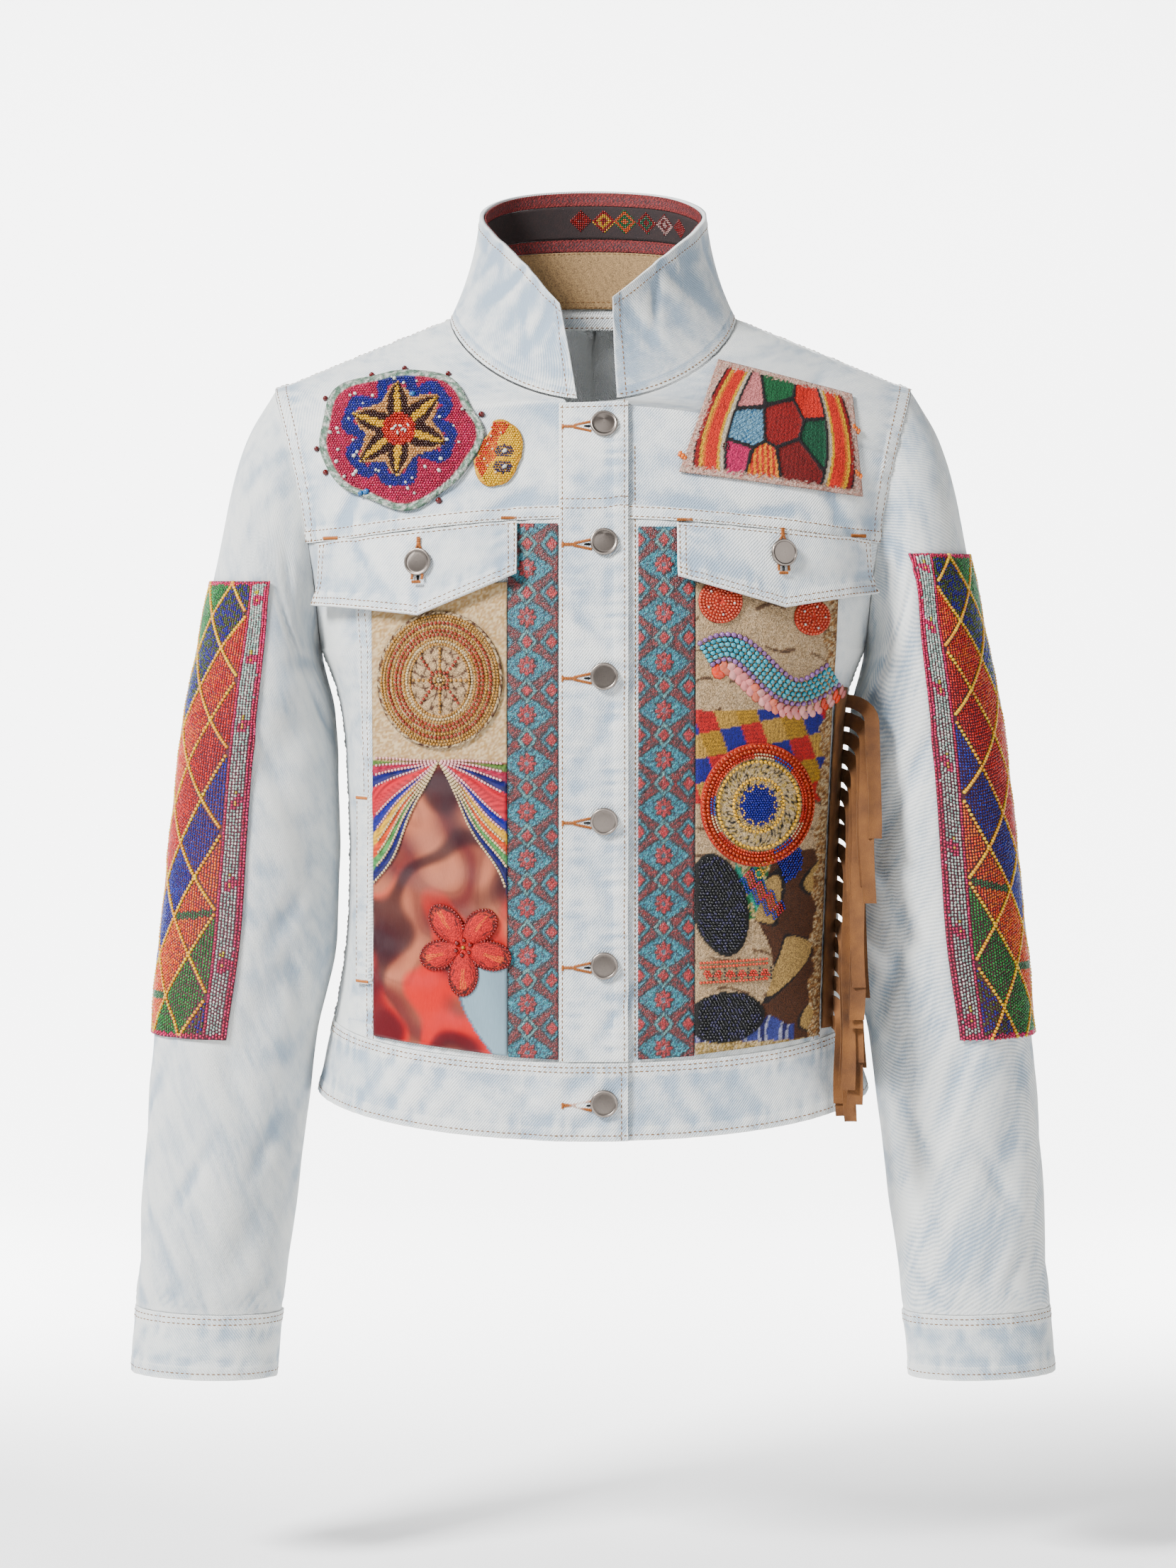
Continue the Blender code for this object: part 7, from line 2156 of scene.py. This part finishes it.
def make_sleeve_panels():
    """Bead-covered panels: a bordered white column with small flowers, then an argyle lattice."""
    wide, tall = ARGYLE
    for side, word in SIDES:
        length = BEAD_PANEL_Z[side][0] - BEAD_PANEL_Z[side][1]
        across, down = np.meshgrid(np.linspace(0, 1, 52), np.linspace(0, 1, 120))
        s, angle = panel_places(side, across, down)
        outer, way, _ = sleeve_spot(side, s, angle, BEAD_PANEL_LIFT + BEAD_PANEL_WALL)
        inner = outer - way * BEAD_PANEL_WALL
        base = np.broadcast_to(tint(120, 70, 84), outer.shape)
        uv = np.stack((across, down), axis=-1) * 10
        name = "sleeve_bead_panel_" + word
        piece = shell(name, outer, inner, "plain_weave", (name,), "sleeve_beads", chart=base, uv=uv, every=4)
        declare(piece, inner, "laid")

        a, t = np.meshgrid(np.arange(0.9, BEAD_PANEL_WIDTH - 0.5, 1.9), np.arange(0.9, length - 0.5, 1.78))
        t = t + 0.89 * (np.arange(a.shape[1]) % 2)[None, :]
        a, t = (k.ravel() + rng.uniform(-0.22, 0.22, k.size) for k in (a, t))
        u, v = argyle(a, t)
        steep = math.hypot(1 / wide, 1 / tall)
        line = np.minimum(np.abs(u - np.floor(u) - 0.5), np.abs(v - np.floor(v) - 0.5)) / steep
        tone, border = argyle_tones(a, t, u, v, length)
        fill = (line > 1.5) | (a < 15.4) | border
        centre, up, along = panel_spots(side, a[fill], t[fill], length, 0.8)
        count = len(centre)
        along = along + np.cross(up, along) * rng.uniform(-0.5, 0.5, (count, 1))
        size = np.array((1.02, 0.86, 0.95)) * rng.uniform(0.9, 1.08, (count, 1))
        colour = np.clip(tone[fill] * rng.uniform(0.72, 1.2, (count, 1)), 0, 1)
        bags = [(centre, up, along, size, colour)]

        lines = []
        for sign in (1, -1):
            for k in range(-8, 10):
                t = np.arange(1.0, length - 0.5, 1.86)
                a = ARGYLE_CENTRE + wide * (k + 0.5 - sign * (t + 22) / tall)
                keep = (a > 16.2) & (a < BEAD_PANEL_WIDTH - 1)
                lines.append(np.stack((a[keep], t[keep]), axis=1))
        centre, up, along = panel_spots(side, *np.concatenate(lines).T, length, 0.9)
        count = len(centre)
        size = np.array((1.35, 1.45, 1.5)) * rng.uniform(0.92, 1.08, (count, 1))
        yellow = picked((tint(250, 200, 30), tint(244, 184, 20), tint(250, 218, 90)), count)
        bags.append((centre, up, along, size, yellow))
        bead_mesh("sleeve_beads_" + word, bags, slot="sleeve_beads", nodes=(name,))


# Bands inside the collar: name, lowest and highest height shares, first angle, wall, rows of the
# grid, step between its columns, finish and slot.
INNER_BANDS = (
    ("collar_tape_top", 0.875, 0.985, 12, 0.9, 13, 0.8, "stitched", "tape"),
    ("collar_bead_band", 0.611, 0.875, 60, 1.6, 12, 2.0, "plain_weave", "beads"),
    ("collar_tape_low", 0.51, 0.611, 60, 0.9, 12, 0.8, "stitched", "tape"),
    ("collar_canvas", 0.056, 0.51, 60, 0.8, 30, 1.2, "plain_weave", "canvas"),
)


def band_chart(name, along, up):
    """Colours and relief of a band inside the collar, over distances along it and up from its middle."""
    if "tape" in name:
        zig = (along + 1.2 * np.abs((up + 20) % 3.2 - 1.6)) % 2.4
        chart = np.where((zig < 1.2)[..., None], tint(178, 96, 96), tint(128, 74, 74))
        paint(chart, (np.abs(up) < 1.9) & (zig >= 1.2), tint(104, 86, 90))
        chart = chart * np.random.default_rng(151).uniform(0.8, 1.15, along.shape)[..., None]
        return chart, 0.25 * (zig < 1.2)
    if name == "collar_bead_band":
        return speckled(along.shape, (tint(66, 44, 44), tint(58, 38, 40)), 152), None
    weave = np.sin(along * 1.1 + up * 1.1 + 0.4 * np.sin(along / 5))
    return tint(212, 184, 148) * (0.93 + 0.07 * weave)[..., None], None


def make_collar_inside():
    """Two dusty red tapes, a dark band with beaded diamonds, bare beige canvas and a denim strip."""
    for name, low, high, first, wall, count, step, finish, slot in INNER_BANDS:
        steps = np.linspace(low, high, count)
        shown = inset(collar_grid(steps, COLLAR_WALL + BAND_GAP + wall * 0.7, first, step))
        hidden = inset(collar_grid(steps, COLLAR_WALL + BAND_GAP, first, step))
        along, up = arcs(shown)
        up = up - up[-1:] / 2
        chart, rise = band_chart(name, along, up)
        if rise is not None:
            shown = shown + unit(shown - hidden) * rise[..., None]
        uv = np.stack((along, up), axis=-1) / 10
        piece = shell(name, shown, hidden, finish, (name,), slot, chart=np.clip(chart, 0, 1), uv=uv, every=4)
        declare(piece, hidden, "laid")
        if name == "collar_bead_band":
            make_band_diamonds(shown, hidden)
        if name == "collar_canvas":
            sew_edges(shown, unit(shown - hidden), (("low", 1.2), ("low", 4.6), ("top", 0.9)))
    make_neck_strip()


def make_neck_strip():
    """Strip of denim over the back of the neck seam, inside the collar."""
    angles = 112.5 + (180 - 112.5) * np.linspace(0, 1, 30)
    drop = np.linspace(-9.0, 1.4, 8)[:, None, None] * np.array((0, 0, 1))
    walls = []
    for inside in (2.0, 1.2):
        halves = [collar(side, angles, np.zeros((1, 1)), COLLAR_WALL + inside) for side in (LEFT, RIGHT)]
        walls.append(np.concatenate((halves[0], halves[1][:, -2::-1]), axis=1) + drop)
    shown, hidden = walls
    _, wear, uv = relief(shown, {"low": "fold", "top": "fold"}, seed=65)
    piece = shell("neck_strip", shown, hidden, "denim", ("neck_strip",), "denim_inside", wear=wear, uv=uv)
    declare(piece, hidden, "laid")
    sew_edges(shown, unit(shown - hidden), (("low", 1.6), ("top", 2.4)))


def make_band_diamonds(shown, hidden):
    """Beaded diamonds on the dark band, in a row from the middle of the back to one side."""
    along, _ = arcs(shown)
    middle = shown.shape[0] // 2
    line, side_way, rise_way = shown[middle], unit(shown - hidden)[middle], unit(shown[-1] - shown[0])
    run = along[middle] - np.interp(0, line[:, 0], along[middle])
    heads = (
        (-8, 7.5, (tint(150, 24, 40), tint(178, 40, 52))), (7, 8.0, (tint(176, 40, 50), YELLOW)),
        (21, 8.2, (tint(236, 130, 50), GREEN)), (36, 7.6, (tint(166, 40, 56), tint(60, 120, 92))),
        (50, 7.4, (tint(222, 190, 186), tint(130, 40, 52))),
        (64, 6.6, (tint(140, 34, 48), tint(150, 60, 60))),
    )
    bags = []
    for at, half, tones in heads:
        a, b = np.meshgrid(np.arange(-half, half + 0.1, 1.25), np.arange(-half, half + 0.1, 1.2))
        reach = (np.abs(a) + np.abs(b)) / half
        keep = reach < 1.0
        ring = (reach[keep] * 3.2).astype(int) % 2
        a, b = a[keep] + at, b[keep]
        up, rise = (unit(read_off(a, run, ways)) for ways in (side_way, rise_way))
        centre = read_off(a, run, line) + rise * b[:, None]
        tone = np.array(tones)[ring] * rng.uniform(0.8, 1.15, (len(a), 1))
        size = np.broadcast_to((0.7, 0.62, 0.6), centre.shape)
        bags.append((centre, up, rise + 0.6 * np.cross(up, rise), size, np.clip(tone, 0, 1)))
    bead_mesh("collar_band_beads", bags, nodes=("collar_bead_band",))


def make_buttonholes():
    """Golden buttonholes: a thick bar that parts into two strands round a slit, shown by a flat black bead of
    painted shade; bar tacks.
    """
    slit_shades = []
    spots = [(z, LAY_CLEARANCE + PLACKET_WALL + 0.55 * (z > -127)) for z in BUTTON_Z]
    spots.append((BAND_BUTTON_Z, BAND_DENIM + LAY_CLEARANCE + BAND_LIFT))
    line = np.linspace(0, 1, 14)
    for z, top in spots:
        z = z - 1.3
        for x0, x1, z0, z1, length in (
                (-18.6, -18.6, z - 1.7, z + 1.7, 1.9), (-18.4, -10.5, z, z, 2.9),
                (-11.5, -1.0, z + 0.7, z + 3.0, 2.3), (-11.5, -1.0, z - 0.7, z - 3.0, 2.3)):
            cross_sew(x0 + (x1 - x0) * line, z0 + (z1 - z0) * line, top, length, 0.8)
        # Painted shade: a flat black bead stands in for the shade inside the slit.
        slit_shades.append(bag(-3.4, z, top + 0.05, 0.95, BLACK, 0.0, 2.9, 0.25))
    for side in (LEFT, RIGHT):
        spot = FLAPS[side]
        x0, z0 = spot["button_x"], spot["button_z"]
        for xa, xb, za, zb, length in (
                (x0, x0, z0 + 14.5, z0 + 10.5, 3.4), (x0, x0 + 2.2, z0 + 11, z0 + 6, 2.2),
                (x0, x0 - 2.2, z0 + 11, z0 + 6, 2.2), (x0 + 3, x0 + 3, z0 - 6, z0 - 10.5, 2.2),
                (x0 - 3, x0 - 3, z0 - 6, z0 - 10.5, 2.2), (x0 - 2.6, x0 + 2.6, z0 - 12, z0 - 12, 2.4)):
            x, z = xa + (xb - xa) * line, za + (zb - za) * line
            kick = flap_kick(np.clip((spot["inner_z"] - z) / FLAP_LENGTH, 0, 1))
            cross_sew(x, z, FLAP_LIFT + FLAP_WALL + 0.3 + kick, length, 0.8)
        # Painted shade: a flat black bead stands in for the shade inside the flap's slit.
        slit_shades.append(bag(x0, z0 - 9.4, FLAP_LIFT + FLAP_WALL + 0.7, 0.95, BLACK, 1.57, 2.2, 0.25))
        for end, off in (("inner", 5.0), ("outer", -5.0)):
            x = spot[end + "_x"] + side * off + np.linspace(-4.6, 4.6, 16)
            cross_sew(x, spot[end + "_z"] + 2.6 + 0 * x, RIDGE_RISE + 0.15, 2.6, 0.7)
    x = np.linspace(-144, -136.5, 12)
    for z in (WELT[0][1] + 1.5, WELT[2][1] - 1.5):
        cross_sew(x, z + 0 * x, WELT_LIFT + WELT_WALL + 0.1, 2.2)
    bead_mesh("buttonhole_slit_shades", slit_shades, slot="denim")


def main():
    """Make every piece, join the stitches, and light the scene."""
    make_fronts()
    make_back()
    make_hem_band()
    make_collar()
    make_collar_inside()
    make_sleeves()
    make_sleeve_panels()
    make_placket()
    make_braids()
    make_collage_left()
    make_collage_right()
    make_chest_flower()
    make_chest_wing()
    make_chest_quilt()
    make_flaps()
    make_buttons()
    make_buttonholes()
    make_fringe()
    for kind in STITCHES:
        if STITCHES[kind]:
            stitch_mesh(kind)
    make_studio()


main()
